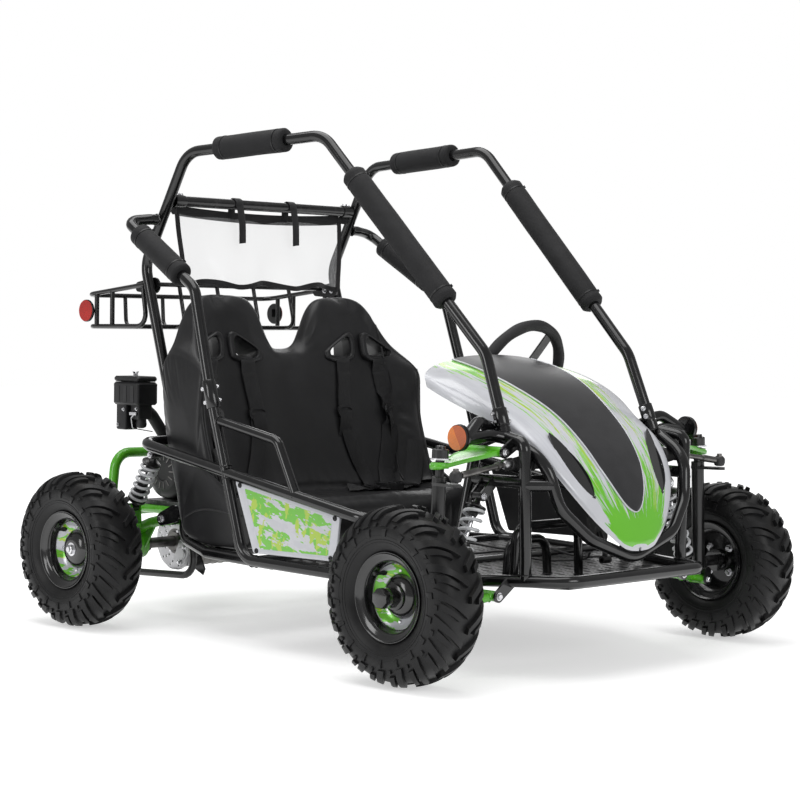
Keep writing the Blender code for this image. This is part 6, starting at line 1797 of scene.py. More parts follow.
PRINT_PALE = (0.62, 0.63, 0.67)
NEAR_CROWN = [(0.0, 0.40), (0.42, 0.50), (0.58, 0.52), (0.72, 0.45), (0.84, 0.30), (1.0, 0.08)]
nose_strokes((0.33, 0.68, 0.16), (34, 4.5), [(0.0, 0.56), (0.3, 0.53), (0.5, 0.50), (0.7, 0.55), (1.0, 0.62)],
             NEAR_CROWN, 0.535, 5.0)
nose_strokes(PRINT_GREEN, (40, 3.6), [(0.0, 0.54), (0.25, 0.50), (0.5, 0.46), (0.60, 0.56), (0.68, 0.70), (0.76, 1.0),
                                      (1.0, 1.0)], NEAR_CROWN, 0.545, 2.0)
nose_strokes(PRINT_LIME, (52, 5.0), [(0.0, 0.52), (0.5, 0.50), (0.70, 0.38), (0.8, 0.0)], NEAR_CROWN, 0.590, 9.0)
nose_strokes(PRINT_PALE, (60, 5.5), [(0.0, 0.50), (0.6, 0.52), (0.68, 0.46), (0.76, 0.10), (1.0, 0.0)],
             [(0.0, 0.5), (1.0, 0.5)], 0.600, 14.0)
panel_strokes(PRINT_GREEN, 40, 12, 3.2, 0.470, 3.0)
panel_strokes(PRINT_LIME, 46, -78, 2.2, 0.560, 6.0)
panel_strokes(PRINT_PALE, 52, 14, 3.6, 0.575, 11.0)
print("prints ready")

# %% Shell, vents and crown moulding
ROWS = range(len(NOSE_SIDE))
COLUMNS = 56
shell = make_piece("nose_shell", [across_nose(ROWS, [1.0] * len(ROWS), -0.0030, 0.0, COLUMNS, lip=0.007)],
                   [nose_print, body_white, panel_grey], None, angle=50)
ring_count = 2 * (COLUMNS + 3)
for number, face in enumerate(shell.data.polygons):
    row, column = divmod(number, ring_count)
    if not 3 <= column <= COLUMNS - 2 or row >= len(ROWS) - 5:
        face.material_index = 1
flow = shell.data.uv_layers.new(name="flow")
for loop, spot in zip(shell.data.loops, flow.data):
    row, place = divmod(loop.vertex_index, ring_count)
    step = min(max(min(place, ring_count - 1 - place) - 1, 0), COLUMNS)
    spot.uv = (0.5 + 0.5 * math.sin(math.pi * (step / COLUMNS - 0.5)), row / (len(ROWS) - 1))


def leaf_ring(side, share, depth):
    """The outline of a vent, moved in or out along the shell's own direction."""
    tail, tip = Vector((0.160 * side, -0.636, 0.487)), Vector((0.112 * side, -0.716, 0.362))
    middle, along = (tail + tip) / 2, (tip - tail)
    row = min(ROWS, key=lambda r: (nose_at(r, 0.8 * side) - middle).length)
    out = nose_normal(row, 0.8 * side)
    across = out.cross(along.normalized()).normalized()
    ring = []
    for turn in circle(28):
        u = 0.5 * math.cos(turn)
        fat = 0.0205 * math.sin(turn) * abs(math.sin(turn)) ** 0.5 * (1 + 0.2 * math.cos(turn))
        ring.append(middle + along * u * share + across * fat * share + out * depth)
    return ring


vents = make_piece("vent_cutter", [skin([leaf_ring(side, 1.0, d) for d in (-0.03, 0.03)]) for side in (1, -1)],
                   panel_grey, None)
cut_through(shell, vents, 50)
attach(shell, "chassis")
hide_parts("nose_cone")
liners = [skin([leaf_ring(side, share, depth) for share, depth in ((1.06, -0.0035), (0.97, -0.0150), (0.5, -0.0185))])
          for side in (1, -1)]
make_piece("vent_liners", liners, gloss_plastic, "chassis", angle=60)

CROWN_SPANS = smooth_path([Vector((s, 0, 0)) for s in (0.52, 0.51, 0.48, 0.44, 0.40, 0.36, 0.34)], 6)
crown_rows = list(range(TIP_ROW - 2)) + [TIP_ROW - k for k in (2, 1.6, 1.2, 0.9, 0.62, 0.4, 0.22, 0.1, 0.03, 0.004)]


def crown_share(row):
    """Half width of the moulding: a share of the shell, closed by a round tip at its front end."""
    to_tip = (on_path(NOSE_MIDDLE, row) - NOSE_MIDDLE[TIP_ROW]).length
    return min(on_path(CROWN_SPANS, row).x, 0.215 * math.sqrt(to_tip) / on_path(NOSE_SIDE, row).x)


crown_half = [crown_share(row) for row in crown_rows]
crown = [across_nose(crown_rows, crown_half, 0.0004, 0.0030, 32, dome=0.0032)]
make_piece("crown_moulding", crown, panel_grey, "chassis", angle=60, stands_for=["nose_centre_panel"])
border = [nose_at(r, half) + nose_normal(r, half) * 0.0022 for r, half in zip(crown_rows, crown_half)]
border += [Vector((-p.x, p.y, p.z)) for p in reversed(border)]
make_piece("crown_border", [tube(border, 0.0021, 0, 10)], body_white, "chassis", angle=60)
print("nose formed:", len(shell.data.polygons), "faces")


# %% Side panels
def side_panel_parts(side):
    """A moulded plate with a raised border, a printed field and screws in its corners."""
    gap = 0.0114
    corners = [(-0.285, waist_z(-0.285) - gap), (0.046, waist_z(0.046) - gap), (-0.016, 0.2060), (-0.272, 0.2100)]
    middle = Vector((sum(c[0] for c in corners) / 4, sum(c[1] for c in corners) / 4))

    def ring(share, depth):
        loop = []
        for k, c in enumerate(corners):
            before, after = Vector(corners[k - 1]), Vector(corners[(k + 1) % 4])
            here = Vector(c)
            loop += [here + (before - here).normalized() * 0.012, here, here + (after - here).normalized() * 0.012]
        loop = [middle + (p - middle) * share for p in loop]
        return [Vector((side * (WAIST_X + depth), p[0], p[1])) for p in rounded_off([tuple(p) for p in loop])]

    levels = [(0.990, -0.003), (1.0, -0.002), (1.0, 0.0016), (0.994, 0.0028), (0.975, 0.0031), (0.860, 0.0031),
              (0.848, 0.0026), (0.832, 0.0010)]
    parts = [skin([ring(*level) for level in levels])]
    parts.append(skin([ring(0.985, -0.0036), ring(0.985, -0.0031)], 2))
    field = ring(0.832, 0.00102)
    parts.append(skin([field, [p - X_AXIS * side * 0.0006 for p in field]], 1))
    for c in corners:
        spot = middle + (Vector(c) - middle) * 0.905
        parts.append(turned([(0, 0.0058), (0.0016, 0.0056), (0.0030, 0.0040), (0.0031, 0.0016), (0.0014, 0.0012)],
                            (side * (WAIST_X + 0.0030), spot[0], spot[1]), X_AXIS * side, 20, 2))
    return parts


for label, side in SIDES.items():
    make_piece(f"flank_panel_{label}", side_panel_parts(side), [body_white, panel_print, black_plastic], "chassis",
               angle=35, stands_for=[f"side_panel_{label}"])
print("panels fitted")

# %% [markdown]
# ## Springs and dampers
# Each shock is an oil damper inside a coil spring. The wire starts with a flattened turn on
# the upper plate and ends the same way on the lower one. The spring crosses the sliding joint,
# so it is made as one mesh of its own between the two halves of the damper, riding on neither
# of them. The rest of the shock is turned from profiles.

# %% Shock and spring
# Upper end, lower end, turns of the coil, and length of the damper's body.
ENDS = {"front": ((0.306, -0.5725, 0.362), (0.386, -0.5725, 0.176), 8, 0.105),
        "rear": ((0.352, 0.401, 0.394), (0.352, 0.477, 0.268), 6, 0.078)}
SPRING_SEAT, COIL_RADIUS, WIRE_RADIUS = 0.025, 0.0192, 0.0036


def coil_parts(top, foot, turns):
    """A helix of wire between the two spring plates, closed up at its ends."""
    way = (foot - top).normalized()
    first, second = square_to(way, Y_AXIS)
    inset = SPRING_SEAT + WIRE_RADIUS + 0.0008
    start, end = top + way * inset, foot - way * inset
    path, steps = [], turns * 26
    for k in range(steps + 1):
        share = k / steps
        eased = min(1.0, max(0.0, (share - 0.5 / turns) / (1 - 1.0 / turns)))
        angle = 2 * math.pi * turns * share
        place = start.lerp(end, eased * 0.90 + share * 0.10)
        path.append(place + swing(first, second, angle) * COIL_RADIUS)
    return [tube(path, WIRE_RADIUS, 0, 12)]


def eye_parts(at, spin):
    """The ring at a shock's end with its steel sleeve."""
    body, sleeve = [(-0.0098, 0.0062), (-0.0098, 0.0085), (-0.0088, 0.0095)], [(-0.0102, 0.0044), (-0.0102, 0.0062)]
    return [turned(even(body), at, spin, 28, closed=True), turned(even(sleeve), at, spin, 20, 1, closed=True)]


def shock_halves(top, foot, body_length, spin):
    """The upper half with rod and plate, and the lower half with the damper's body."""
    way = (foot - top).normalized()
    reach = (foot - top).length
    upper = eye_parts(top, spin)
    upper.append(turned([(0.0070, 0.0062), (0.0130, 0.0078), (0.0170, 0.0105), (0.0205, 0.0190), (0.0212, 0.0218),
                         (0.0222, 0.0226), (0.0248, 0.0222), (0.0250, 0.0150), (0.0252, 0.0050)], top, way, 36))
    upper.append(turned([(0.0240, 0.0049), (reach - body_length + 0.004, 0.0049)], top, way, 20, 2))
    upper.append(turned([(0.026, 0.0052), (0.027, 0.0100), (0.033, 0.0085), (0.038, 0.0100), (0.044, 0.0072),
                         (0.0445, 0.0052)], top, way, 24, 3))
    lower = eye_parts(foot, spin)
    profile = [(0.0070, 0.0062), (0.0120, 0.0095), (0.0185, 0.0125), (0.0195, 0.0195), (0.0200, 0.0222),
               (0.0212, 0.0226), (0.0240, 0.0222), (0.0252, 0.0140), (0.0262, 0.0128)]
    for k in range(5):
        profile += [(0.028 + k * 0.003, 0.0128), (0.0292 + k * 0.003, 0.0120)]
    profile += [(0.045, 0.0122), (body_length - 0.006, 0.0122), (body_length - 0.002, 0.0112), (body_length, 0.0056)]
    lower.append(turned(profile, foot, -way, 36))
    lower.append(turned([(0.0420, 0.0124), (0.0422, 0.0158), (0.0490, 0.0158), (0.0492, 0.0124)], foot, -way, 10))
    return upper, lower


for place, (top, foot, turns, body_length) in ENDS.items():
    for label, side in SIDES.items():
        high, low = flipped([top, foot], side)
        spin = Y_AXIS if place == "front" else X_AXIS
        upper, lower = shock_halves(high, low, body_length, spin)
        finishes = [black_steel, zinc, chrome, black_rubber]
        bodies = f"{place}_shock_upper_{label}", f"{place}_shock_lower_{label}"
        make_piece(f"{place}_damper_top_{label}", upper, finishes, bodies[0],
                   stands_for=[f"{place}_{label}_shock_upper"])
        make_piece(f"{place}_damper_{label}", lower, finishes, bodies[1],
                   stands_for=[f"{place}_{label}_shock_lower"])
        spring = make_piece(f"{place}_coil_{label}", coil_parts(high, low, turns), spring_white, None,
                            angle=80, stands_for=[f"{place}_{label}_shock_spring"])
        way = (low - high).normalized()
        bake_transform(spring)
print("four shocks sprung")

# %% [markdown]
# ## Front arms, kingpins and knuckles
# A wide plate above and two bars below hold the upright pin of each front wheel. The knuckle
# turns on that pin. The green arms are pressed and welded steel, so they get soft edges.

# %% Arms
FRONT_Y = FRONT_WHEEL.y
UPPER_IN, UPPER_OUT = Vector((0.291, FRONT_Y, 0.452)), Vector((0.420, FRONT_Y, 0.428))
LOWER_IN, LOWER_OUT = Vector((0.303, FRONT_Y, 0.164)), Vector((0.432, FRONT_Y, 0.140))
KING_WAY = (UPPER_OUT - LOWER_OUT).normalized()


def king_at(z):
    """The point of the left kingpin's line at a height."""
    return LOWER_OUT + KING_WAY * ((z - LOWER_OUT.z) / KING_WAY.z)


def bush(at, half):
    """A welded sleeve along the kart, with the steel one inside it."""
    inner = half + 0.0002
    return [turned(even([(-half, 0.0068), (-half, 0.0102), (0.0006 - half, 0.0108)]), at, Y_AXIS, 28, closed=True),
            turned(even([(-inner, 0.0057), (-inner, 0.0072)]), at, Y_AXIS, 24, 1, closed=True)]


def lower_arm_parts():
    """Two bars with end sleeves, and the shock's ears with their bolt."""
    parts = bush(LOWER_IN, 0.052) + bush(LOWER_OUT, 0.022)
    for fore in (1, -1):
        a, b = LOWER_IN + Y_AXIS * fore * 0.042, LOWER_OUT + Y_AXIS * fore * 0.009
        parts.append(tube([a, b], 0.0085, 0, 20))
        parts.append(bead(a.lerp(b, 0.095), b - a, 0.0085, 0.0016))
    foot = Vector((0.386, FRONT_Y, 0.176))
    base = on_line(LOWER_IN, LOWER_OUT, 0, foot.x)
    parts.append(bar(base, (0.028, 0.042, 0.007), LOWER_OUT - LOWER_IN, Y_AXIS))
    for fore in (1, -1):
        outline = link_outline((foot.x, base.z), (foot.x, foot.z), 0.0115, 0.0095)
        parts.append(plate(outline, 0.004, (0, FRONT_Y + fore * EAR, 0), X_AXIS, Z_AXIS))
        parts += bolt(foot + Y_AXIS * fore * EAR_FACE, Y_AXIS * fore, 0.0055, 1, 0.0050)
    parts.append(tube([foot - Y_AXIS * 0.014, foot + Y_AXIS * 0.014], 0.0042, 0, 16, 1))
    return parts


def upper_arm_parts():
    """Pressed plate with a turned-down edge, wide at the frame and round about the kingpin."""
    way = (UPPER_OUT - UPPER_IN).normalized()
    reach = (UPPER_OUT - UPPER_IN).length
    outline = [(0.004, 0.049), (0.004, -0.049), (reach * 0.30, -0.040), (reach * 0.55, -0.0295),
               (reach * 0.85, -0.0225)]
    outline += [(reach + 0.021 * math.cos(a), 0.021 * math.sin(a))
                for a in (-1.4 + 2.8 * k / 14 for k in range(15))]
    outline += [(reach * 0.85, 0.0225), (reach * 0.55, 0.0295), (reach * 0.30, 0.040)]
    up = way.cross(Y_AXIS).normalized()

    def ring(share, level):
        middle = Vector((reach * 0.55, 0))
        return [UPPER_IN + way * (middle.x + (u - middle.x) * share) + Y_AXIS * w * share + up * level
                for u, w in outline]

    parts = bush(UPPER_IN, 0.052)
    parts.append(skin([ring(*level) for level in ((0.955, -0.0005), (0.965, -0.0045), (0.992, -0.0045), (1.0, -0.003),
                                                  (1.0, 0.0020), (0.985, 0.0040), (0.90, 0.0040), (0.86, 0.0030))]))
    collar = [(-0.006, 0.0132), (-0.006, 0.0180), (0.0055, 0.0185), (0.0060, 0.0175), (0.0060, 0.0132)]
    parts.append(turned(collar, UPPER_OUT, KING_WAY, 32, closed=True))
    return parts


def kingpin_parts():
    """The pin in its fork, with the castle nut above the upper arm."""
    parts = [tube([king_at(0.158), king_at(0.443)], 0.009, 0, 24)]
    nut = [(0, 0.0120), (0.0002, 0.0168), (0.0165, 0.0168), (0.0185, 0.0152), (0.0190, 0.0105), (0.0245, 0.0098),
           (0.0252, 0.0040)]
    parts.append(turned(nut, king_at(0.4415), KING_WAY, 28))
    parts.append(turned([(-0.003, 0.0095), (-0.003, 0.0205), (0.0002, 0.0205), (0.0004, 0.012)], king_at(0.4415),
                        KING_WAY, 28, 1))
    parts.append(bar((0.4315, FRONT_Y, 0.159), (0.021, 0.054, 0.0105)))
    for fore in (1, -1):
        outline = link_outline((0.4315, 0.158), (0.432, LOWER_OUT.z), 0.0106, 0.0118)
        parts.append(plate(outline, 0.0048, (0, FRONT_Y + fore * 0.0248, 0), X_AXIS, Z_AXIS))
        parts += bolt(LOWER_OUT + Y_AXIS * fore * 0.0272, Y_AXIS * fore, 0.0062, 1, 0.0055)
    return parts


def knuckle_parts():
    """Tube round the kingpin, the wheel's spindle and the steering arm."""
    low, high = king_at(0.1657), king_at(0.4050)
    length = (high - low).length
    profile = [(0, 0.0098), (0, 0.0140), (0.001, 0.0150), (0.012, 0.0150), (0.013, 0.0142), (length - 0.013, 0.0142),
               (length - 0.012, 0.0150), (length - 0.001, 0.0150), (length, 0.0140), (length, 0.0098)]
    parts = [turned(profile, low, KING_WAY, 32, closed=True)]
    hub = king_at(FRONT_WHEEL.z)
    parts.append(turned([(0.008, 0.012), (0.0585, 0.012), (0.0587, 0.010), (0.110, 0.010)],
                        (hub.x, FRONT_Y, hub.z), X_AXIS, 28))
    parts.append(bead((hub.x + 0.0148, FRONT_Y, hub.z), X_AXIS, 0.012, 0.0022))
    root = king_at(0.3915)
    outline = link_outline((root.x, FRONT_Y), (0.432, -0.6255), 0.0158, 0.0118)
    parts.append(plate(outline, 0.0058, (0, 0, 0.3915), X_AXIS, Y_AXIS))
    return parts


ARM_PIECES = {"lower_arm": (lower_arm_parts, [arm_green, zinc], "arm_paint"),
              "upper_arm": (upper_arm_parts, [arm_green, zinc], "arm_paint"),
              "kingpin": (kingpin_parts, [black_steel, zinc], "black_steel"),
              "knuckle": (knuckle_parts, [black_steel, zinc], "black_steel")}
for kind, (builder, finishes, slot) in ARM_PIECES.items():
    for label, side in SIDES.items():
        make_piece(f"front_{kind}_{label}", turned_over(builder(), side), finishes, f"{kind}_{label}", angle=36,
                   stands_for=[f"{kind}_{label}"])
print("front corners dressed")

# %% [markdown]
# ## Steering
# The wheel turns a pinion in the rack housing under the nose. Ribbed rubber boots keep dirt
# off the rack where it leaves the housing, and tie rods with ball ends carry the movement to
# the knuckles. A boot stretches when the rack slides, so it is made as a piece of its own that
# rides on neither the frame nor the rack.

# %% Rack, boots and tie rods
def boot_profile():
    """(distance, radius) of a ribbed boot that tapers to its outer end, clear of the upper arm."""
    length, folds = 0.070, 9
    outline = [(0.0, 0.0150), (0.0015, 0.0168), (0.0065, 0.0168), (0.0080, 0.0150)]
    pitch = (length - 0.018) / folds
    for k in range(folds):
        taper = 1 - 0.45 * k / folds
        outline += [(0.0085 + pitch * (k + share), radius * taper)
                    for share, radius in ((0.10, 0.0140), (0.35, 0.0186), (0.60, 0.0190), (0.88, 0.0142))]
    return outline + [(length - 0.008, 0.0118), (length - 0.007, 0.0128), (length - 0.002, 0.0126), (length, 0.0096)]


housing = [turned([(-0.207, 0.0040), (-0.207, 0.0134), (-0.030, 0.0134), (-0.028, 0.0150), (0.100, 0.0134),
                   (0.207, 0.0134), (0.207, 0.0040)], (0, RACK.y, RACK.z), X_AXIS, 28)]
for x in (-0.090, 0.090):
    housing.append(turned(even([(-0.011, 0.0136), (-0.011, 0.0156)]), (x, RACK.y, RACK.z), X_AXIS, 28, 1))
housing.append(turned([(-0.004, 0.0105), (-0.004, 0.0195), (0.026, 0.0195), (0.030, 0.0150), (0.036, 0.0120)],
                      RACK, STEER_AXIS, 28))
make_piece("rack_body", housing, [black_steel, zinc], "chassis", stands_for=["rack_housing"])
make_piece("rack_shaft", [turned([(-0.285, 0.008), (0.285, 0.008)], (0, RACK.y, RACK.z), X_AXIS, 24),
                          *[turned([(0.276, 0.0085), (0.277, 0.0115), (0.284, 0.0118), (0.291, 0.0100),
                                    (0.294, 0.0050)], (0, RACK.y, RACK.z), X_AXIS * s, 24) for s in (1, -1)]],
           bare_steel, "rack", stands_for=["steering_rack"])
for label, side in SIDES.items():
    start = Vector((0.2060 * side, RACK.y, RACK.z))
    boot = make_piece(f"ribbed_boot_{label}", [turned(boot_profile(), start, X_AXIS * side, 36)], black_rubber, None,
                      angle=70)
    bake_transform(boot)
    inner, outer = flipped([(0.292, RACK.y, RACK.z - 0.0010), (0.430, -0.6255, 0.409)], side)
    way = (outer - inner).normalized()
    length = (outer - inner).length
    rod = [turned([(0, 0.0040), (0.002, 0.0062), (0.014, 0.0066), (0.0145, 0.0086), (0.0205, 0.0086), (0.021, 0.0056),
                   (length * 0.52, 0.0056), (length * 0.53, 0.0078), (length * 0.86, 0.0074), (length * 0.88, 0.0050)],
                  inner, way, 24)]
    rod.append(turned([(-0.0120, 0.0060), (-0.0105, 0.0105), (-0.0040, 0.0128), (0.0040, 0.0128), (0.0085, 0.0100),
                       (0.0105, 0.0055)], outer, Z_AXIS, 28, 1))
    rod += bolt(outer + Z_AXIS * 0.0098, Z_AXIS, 0.0062, 0, 0.0060)
    make_piece(f"track_rod_{label}", rod, [dark_steel, black_rubber], f"tie_rod_{label}",
               stands_for=[f"tie_rod_{label}"])
print("steering linked")


# %% Steering wheel and pedals
def steering_wheel_parts():
    """Foam-covered rim, three pressed spokes, boss, cap and the column."""
    first, second = square_to(STEER_AXIS, X_AXIS)
    rim_path = [STEER_CENTRE + swing(first, second, a) * 0.130 for a in circle(96)]
    grip = [0.0128 + 0.0005 * math.sin(k * math.pi / 4) for k in range(96)]
    parts = [tube(rim_path, grip, 0, 24, closed=True)]
    for a in circle(3, math.pi):
        out = swing(first, second, a)
        parts.append(strap([STEER_CENTRE + out * r - STEER_AXIS * 0.004 * (1 - r / 0.13)
                            for r in (0.020, 0.045, 0.085, 0.121)], 0.026, 0.0042, STEER_AXIS, 1))
    parts.append(turned([(-0.020, 0.010), (-0.018, 0.028), (-0.004, 0.0325), (0.006, 0.0320), (0.013, 0.0270),
                         (0.0155, 0.0180), (0.0160, 0.0020)], STEER_CENTRE, -STEER_AXIS, 40, 2))
    parts.append(tube([RACK + STEER_AXIS * 0.040, STEER_CENTRE + STEER_AXIS * 0.006], 0.0090, 0, 24, 1))
    return parts


make_piece("hand_wheel", steering_wheel_parts(), [grip_foam, black_steel, gloss_plastic], "steering_wheel",
           angle=45, stands_for=["steering_wheel"])
for kind, x, wide in (("brake", 0.115, 0.056), ("throttle", 0.230, 0.044)):
    hinge = pivot(f"{kind}_press")
    lean = math.radians(20)
    up, facing = Vector((0, math.sin(lean), math.cos(lean))), Vector((0, math.cos(lean), -math.sin(lean)))
    pad_at = Vector((x, -0.536, 0.270))
    parts = [tube([(x, -0.560, 0.203), (x, -0.5565, 0.232), (x, -0.542, 0.262)], 0.0060, 0.015, 18),
             turned(even([(-0.0125, 0.0046), (-0.0125, 0.0080)]), hinge, X_AXIS, 24, closed=True)]
    shape = rounded_off([(-wide / 2, -0.035), (wide / 2, -0.035), (wide / 2, 0.035), (-wide / 2, 0.035)], 2)
    parts.append(plate(shape, 0.005, pad_at, X_AXIS, up))
    for k in range(6):
        parts.append(bar(pad_at + up * (-0.027 + k * 0.0108) + facing * 0.0030, (wide - 0.010, 0.0045, 0.0030),
                         X_AXIS, up, 1))
    make_piece(f"{kind}_foot_pedal", parts, [black_steel, black_rubber], f"{kind}_pedal",
               stands_for=[f"{kind}_pedal"])
print("controls dressed")

# %% [markdown]
# ## Rear swing arm
# The whole rear axle and the engine ride on one welded arm that swings at the frame behind the
# seat. It is painted the same green as the front arms. Its tubes run back past the axle and
# turn up into a hoop that protects the engine.

# %% Arm
def swing_arm_parts():
    """Main loop, cross tubes, engine rails, axle housings, shock feet and the disc guard."""
    pin = pivot("swing_arm_pivot")
    loop = [(SWING_PIVOT_X, pin.y, pin.z), (SWING_PIVOT_X, 0.440, 0.232), (0.3275, 0.4975, 0.212),
            (0.322, 0.560, 0.212), (0.215, 0.7415, 0.230), (0.200, 0.7415, 0.375)]
    parts = [tube(around(loop), TUBE, 0.045, 20, steps=6), straight_across(SWING_PIVOT_X, 0.412, 0.2395),
             straight_across(0.215, 0.7415, 0.232)]
    for side in (1, -1):
        parts.append(turned(even([(-0.0133, 0.0060), (-0.0133, 0.0128), (-0.0125, 0.0135)]),
                            (SWING_PIVOT_X * side, pin.y, pin.z), X_AXIS, 28, closed=True))
        parts.append(bead((0.3190 * side, 0.412, 0.2395), X_AXIS, TUBE, 0.0020))
        axle = Vector((0.3275 * side, REAR_AXLE.y, REAR_AXLE.z))
        parts.append(turned(even([(-0.0165, 0.0110), (-0.0165, 0.0305), (-0.0150, 0.0320)]), axle, X_AXIS, 40,
                            closed=True))
        parts += bolt_circle(axle + X_AXIS * side * 0.0160, X_AXIS * side, 0.0255, (0.5, 2.6, 4.7), 0.0040, 1, 0.0040)
        parts.append(tube([(0.130 * side, 0.412, 0.2395), (0.130 * side, 0.7415, 0.2395)], TUBE, 0, 20))
        for y in (0.4255, 0.7280):
            parts.append(bead((0.130 * side, y, 0.2395), Y_AXIS, TUBE, 0.0020))
        parts.append(plate([(0.424, 0.232), (0.474, 0.160), (0.492, 0.190), (0.470, 0.225)], 0.005,
                           (0.3255 * side, 0, 0), Y_AXIS, Z_AXIS))
        foot = pivot("rear_shock_turn_left") + Vector((0, 0.076, -0.126))
        parts.append(bar(((foot.x - 0.0038) * side, foot.y, 0.2262), (0.0365, 0.030, 0.0075)))
        for fore in (1, -1):
            parts.append(plate(link_outline((foot.y, 0.234), (foot.y, foot.z), 0.0115, 0.0095), 0.004,
                               ((foot.x + fore * EAR) * side, 0, 0), Y_AXIS, Z_AXIS))
            parts += bolt(((foot.x + fore * EAR_FACE) * side, foot.y, foot.z), X_AXIS * fore * side, 0.0055, 1, 0.0050)
    parts.append(bar((0, 0.639, 0.2550), (0.280, 0.146, 0.0115), finish=2))
    guard = [(-0.235, 0.412, 0.236), (-0.235, 0.392, 0.105), (-0.235, 0.620, 0.095), (-0.244, 0.690, 0.226)]
    parts.append(tube(guard, 0.0085, 0.04, 18, 2, steps=6))
    return parts


make_piece("rear_swing_arm", swing_arm_parts(), [arm_green, zinc, black_steel], "swing_arm", angle=34,
           stands_for=["swing_arm"])
print("swing arm dressed")

# %% [markdown]
# ## Engine
# A small air-cooled engine stands across the arm: cast crankcase, finned cylinder, a black
# shroud with the pull starter, a fuel tank on top, an air filter box on a bent neck, and a
# banded silencer slung below. Cast parts are rough and grey, and the covers are
# satin black.

# %% Castings and covers
CRANK_AT = Vector((0.0, 0.622, 0.335))
# The engine's finishes by their places in its list. A part that names none is cast alloy.
COVER, STEEL, GLOSS, RUBBER, FASTENER = range(1, 6)


def soft_box(low, high, edge=0.006, finish=0):
    """A box with rounded upright edges and chamfered top and bottom."""
    low, high = Vector(low), Vector(high)
    middle, half = (low + high) / 2, (high - low) / 2
    rings = []
    for inset, z in ((edge * 0.5, low.z), (0, low.z + edge * 0.5), (0, high.z - edge * 0.5), (edge * 0.5, high.z)):
        ring = []
        for cx, cy, start in ((1, 1, 0), (-1, 1, 1), (-1, -1, 2), (1, -1, 3)):
            for k in range(5):
                a = math.pi / 2 * (start + k / 4)
                ring.append(Vector((middle.x + cx * (half.x - edge) + (edge - inset) * math.cos(a),
                                    middle.y + cy * (half.y - edge) + (edge - inset) * math.sin(a), z)))
        rings.append(ring)
    return skin(rings, finish)


def block_parts():
    """Crankcase with its ribs, finned cylinder and the plate on top."""
    parts = [soft_box((-0.092, 0.574, 0.2613), (0.118, 0.703, 0.366), 0.010),
             soft_box((-0.060, 0.602, 0.360), (0.102, 0.698, 0.428), 0.006)]
    for x in (-0.060, -0.020, 0.020, 0.060, 0.095):
        parts.append(bar((x, 0.5735, 0.312), (0.005, 0.004, 0.080)))
    for k in range(9):
        z = 0.3745 + k * 0.0058
        parts.append(soft_box((-0.074, 0.588, z), (0.116, 0.711, z + 0.0018), 0.005))
    parts.append(soft_box((-0.050, 0.606, 0.4265), (0.092, 0.694, 0.4300), 0.004))
    return parts


def starter_parts():
    """Round shroud of the pull starter, with its slots, latch and grip."""
    shroud = [(0.090, 0.0720), (0.096, 0.0735), (0.125, 0.0715), (0.140, 0.0660), (0.148, 0.0560), (0.151, 0.0460),
              (0.1515, 0.0240), (0.149, 0.0220), (0.149, 0.0005)]
    parts = [turned(shroud, CRANK_AT, -X_AXIS, 56, COVER)]
    for a in circle(14):
        out = swing(Y_AXIS, Z_AXIS, a)
        parts.append(bar(CRANK_AT - X_AXIS * 0.1508 + out * 0.0355, (0.016, 0.0030, 0.0026), out, X_AXIS, STEEL))
    parts.append(bar(CRANK_AT + Vector((-0.139, 0.030, 0.056)), (0.016, 0.030, 0.010), X_AXIS, Y_AXIS, COVER))
    grip_at = CRANK_AT + Vector((-0.143, 0.048, 0.060))
    parts.append(turned([(-0.016, 0.0048), (0.016, 0.0048)], grip_at, Y_AXIS, 16, RUBBER))
    return parts


def side_cover_parts():
    """Bolted cover on the clutch side, and the output shaft."""
    profile = [(0.108, 0.0560), (0.120, 0.0550), (0.124, 0.0480), (0.126, 0.0340), (0.136, 0.0285), (0.137, 0.0100)]
    shaft = [(0.110, 0.010), (0.246, 0.010)]
    parts = [turned(profile, CRANK_AT, X_AXIS, 40), turned(shaft, CRANK_AT, X_AXIS, 28, STEEL)]
    return parts + bolt_circle(CRANK_AT + X_AXIS * 0.1215, X_AXIS, 0.0505, circle(6, 0.3), 0.0040, FASTENER, 0.0040)


def tank_parts():
    """Fuel tank swept from a long oval, and its ribbed cap."""
    rings = []
    for x, share in ((-0.040, 0.86), (-0.036, 0.95), (-0.026, 1.0), (0.126, 1.0), (0.136, 0.95), (0.140, 0.86)):
        rings.append([Vector((x, 0.651 + (y - 0.651) * share, 0.458 + (z - 0.458) * share))
                      for y, z in link_outline((0.612, 0.458), (0.690, 0.458), 0.036, 0.0359, 12)])
    cap = [(0.026, 0.0150), (0.029, 0.0150), (0.030, 0.0222), (0.045, 0.0228), (0.0485, 0.0205), (0.0520, 0.0080)]
    return [skin(rings, GLOSS), turned(cap, (0.060, 0.652, 0.458), Z_AXIS, 12, RUBBER)]


def air_box_parts():
    """Lidded air box with louvres and a wing nut."""
    parts = [soft_box((-0.232, 0.6185, 0.497), (-0.166, 0.718, 0.553), 0.010, COVER),
             soft_box((-0.2305, 0.620, 0.554), (-0.1675, 0.7165, 0.567), 0.008, COVER)]
    for y in (0.640, 0.668, 0.696):
        parts.append(bar((-0.2322, y, 0.524), (0.0012, 0.012, 0.040), finish=RUBBER))
    parts += bolt((-0.199, 0.668, 0.5668), Z_AXIS, 0.0060, FASTENER, 0.0080)
    return parts


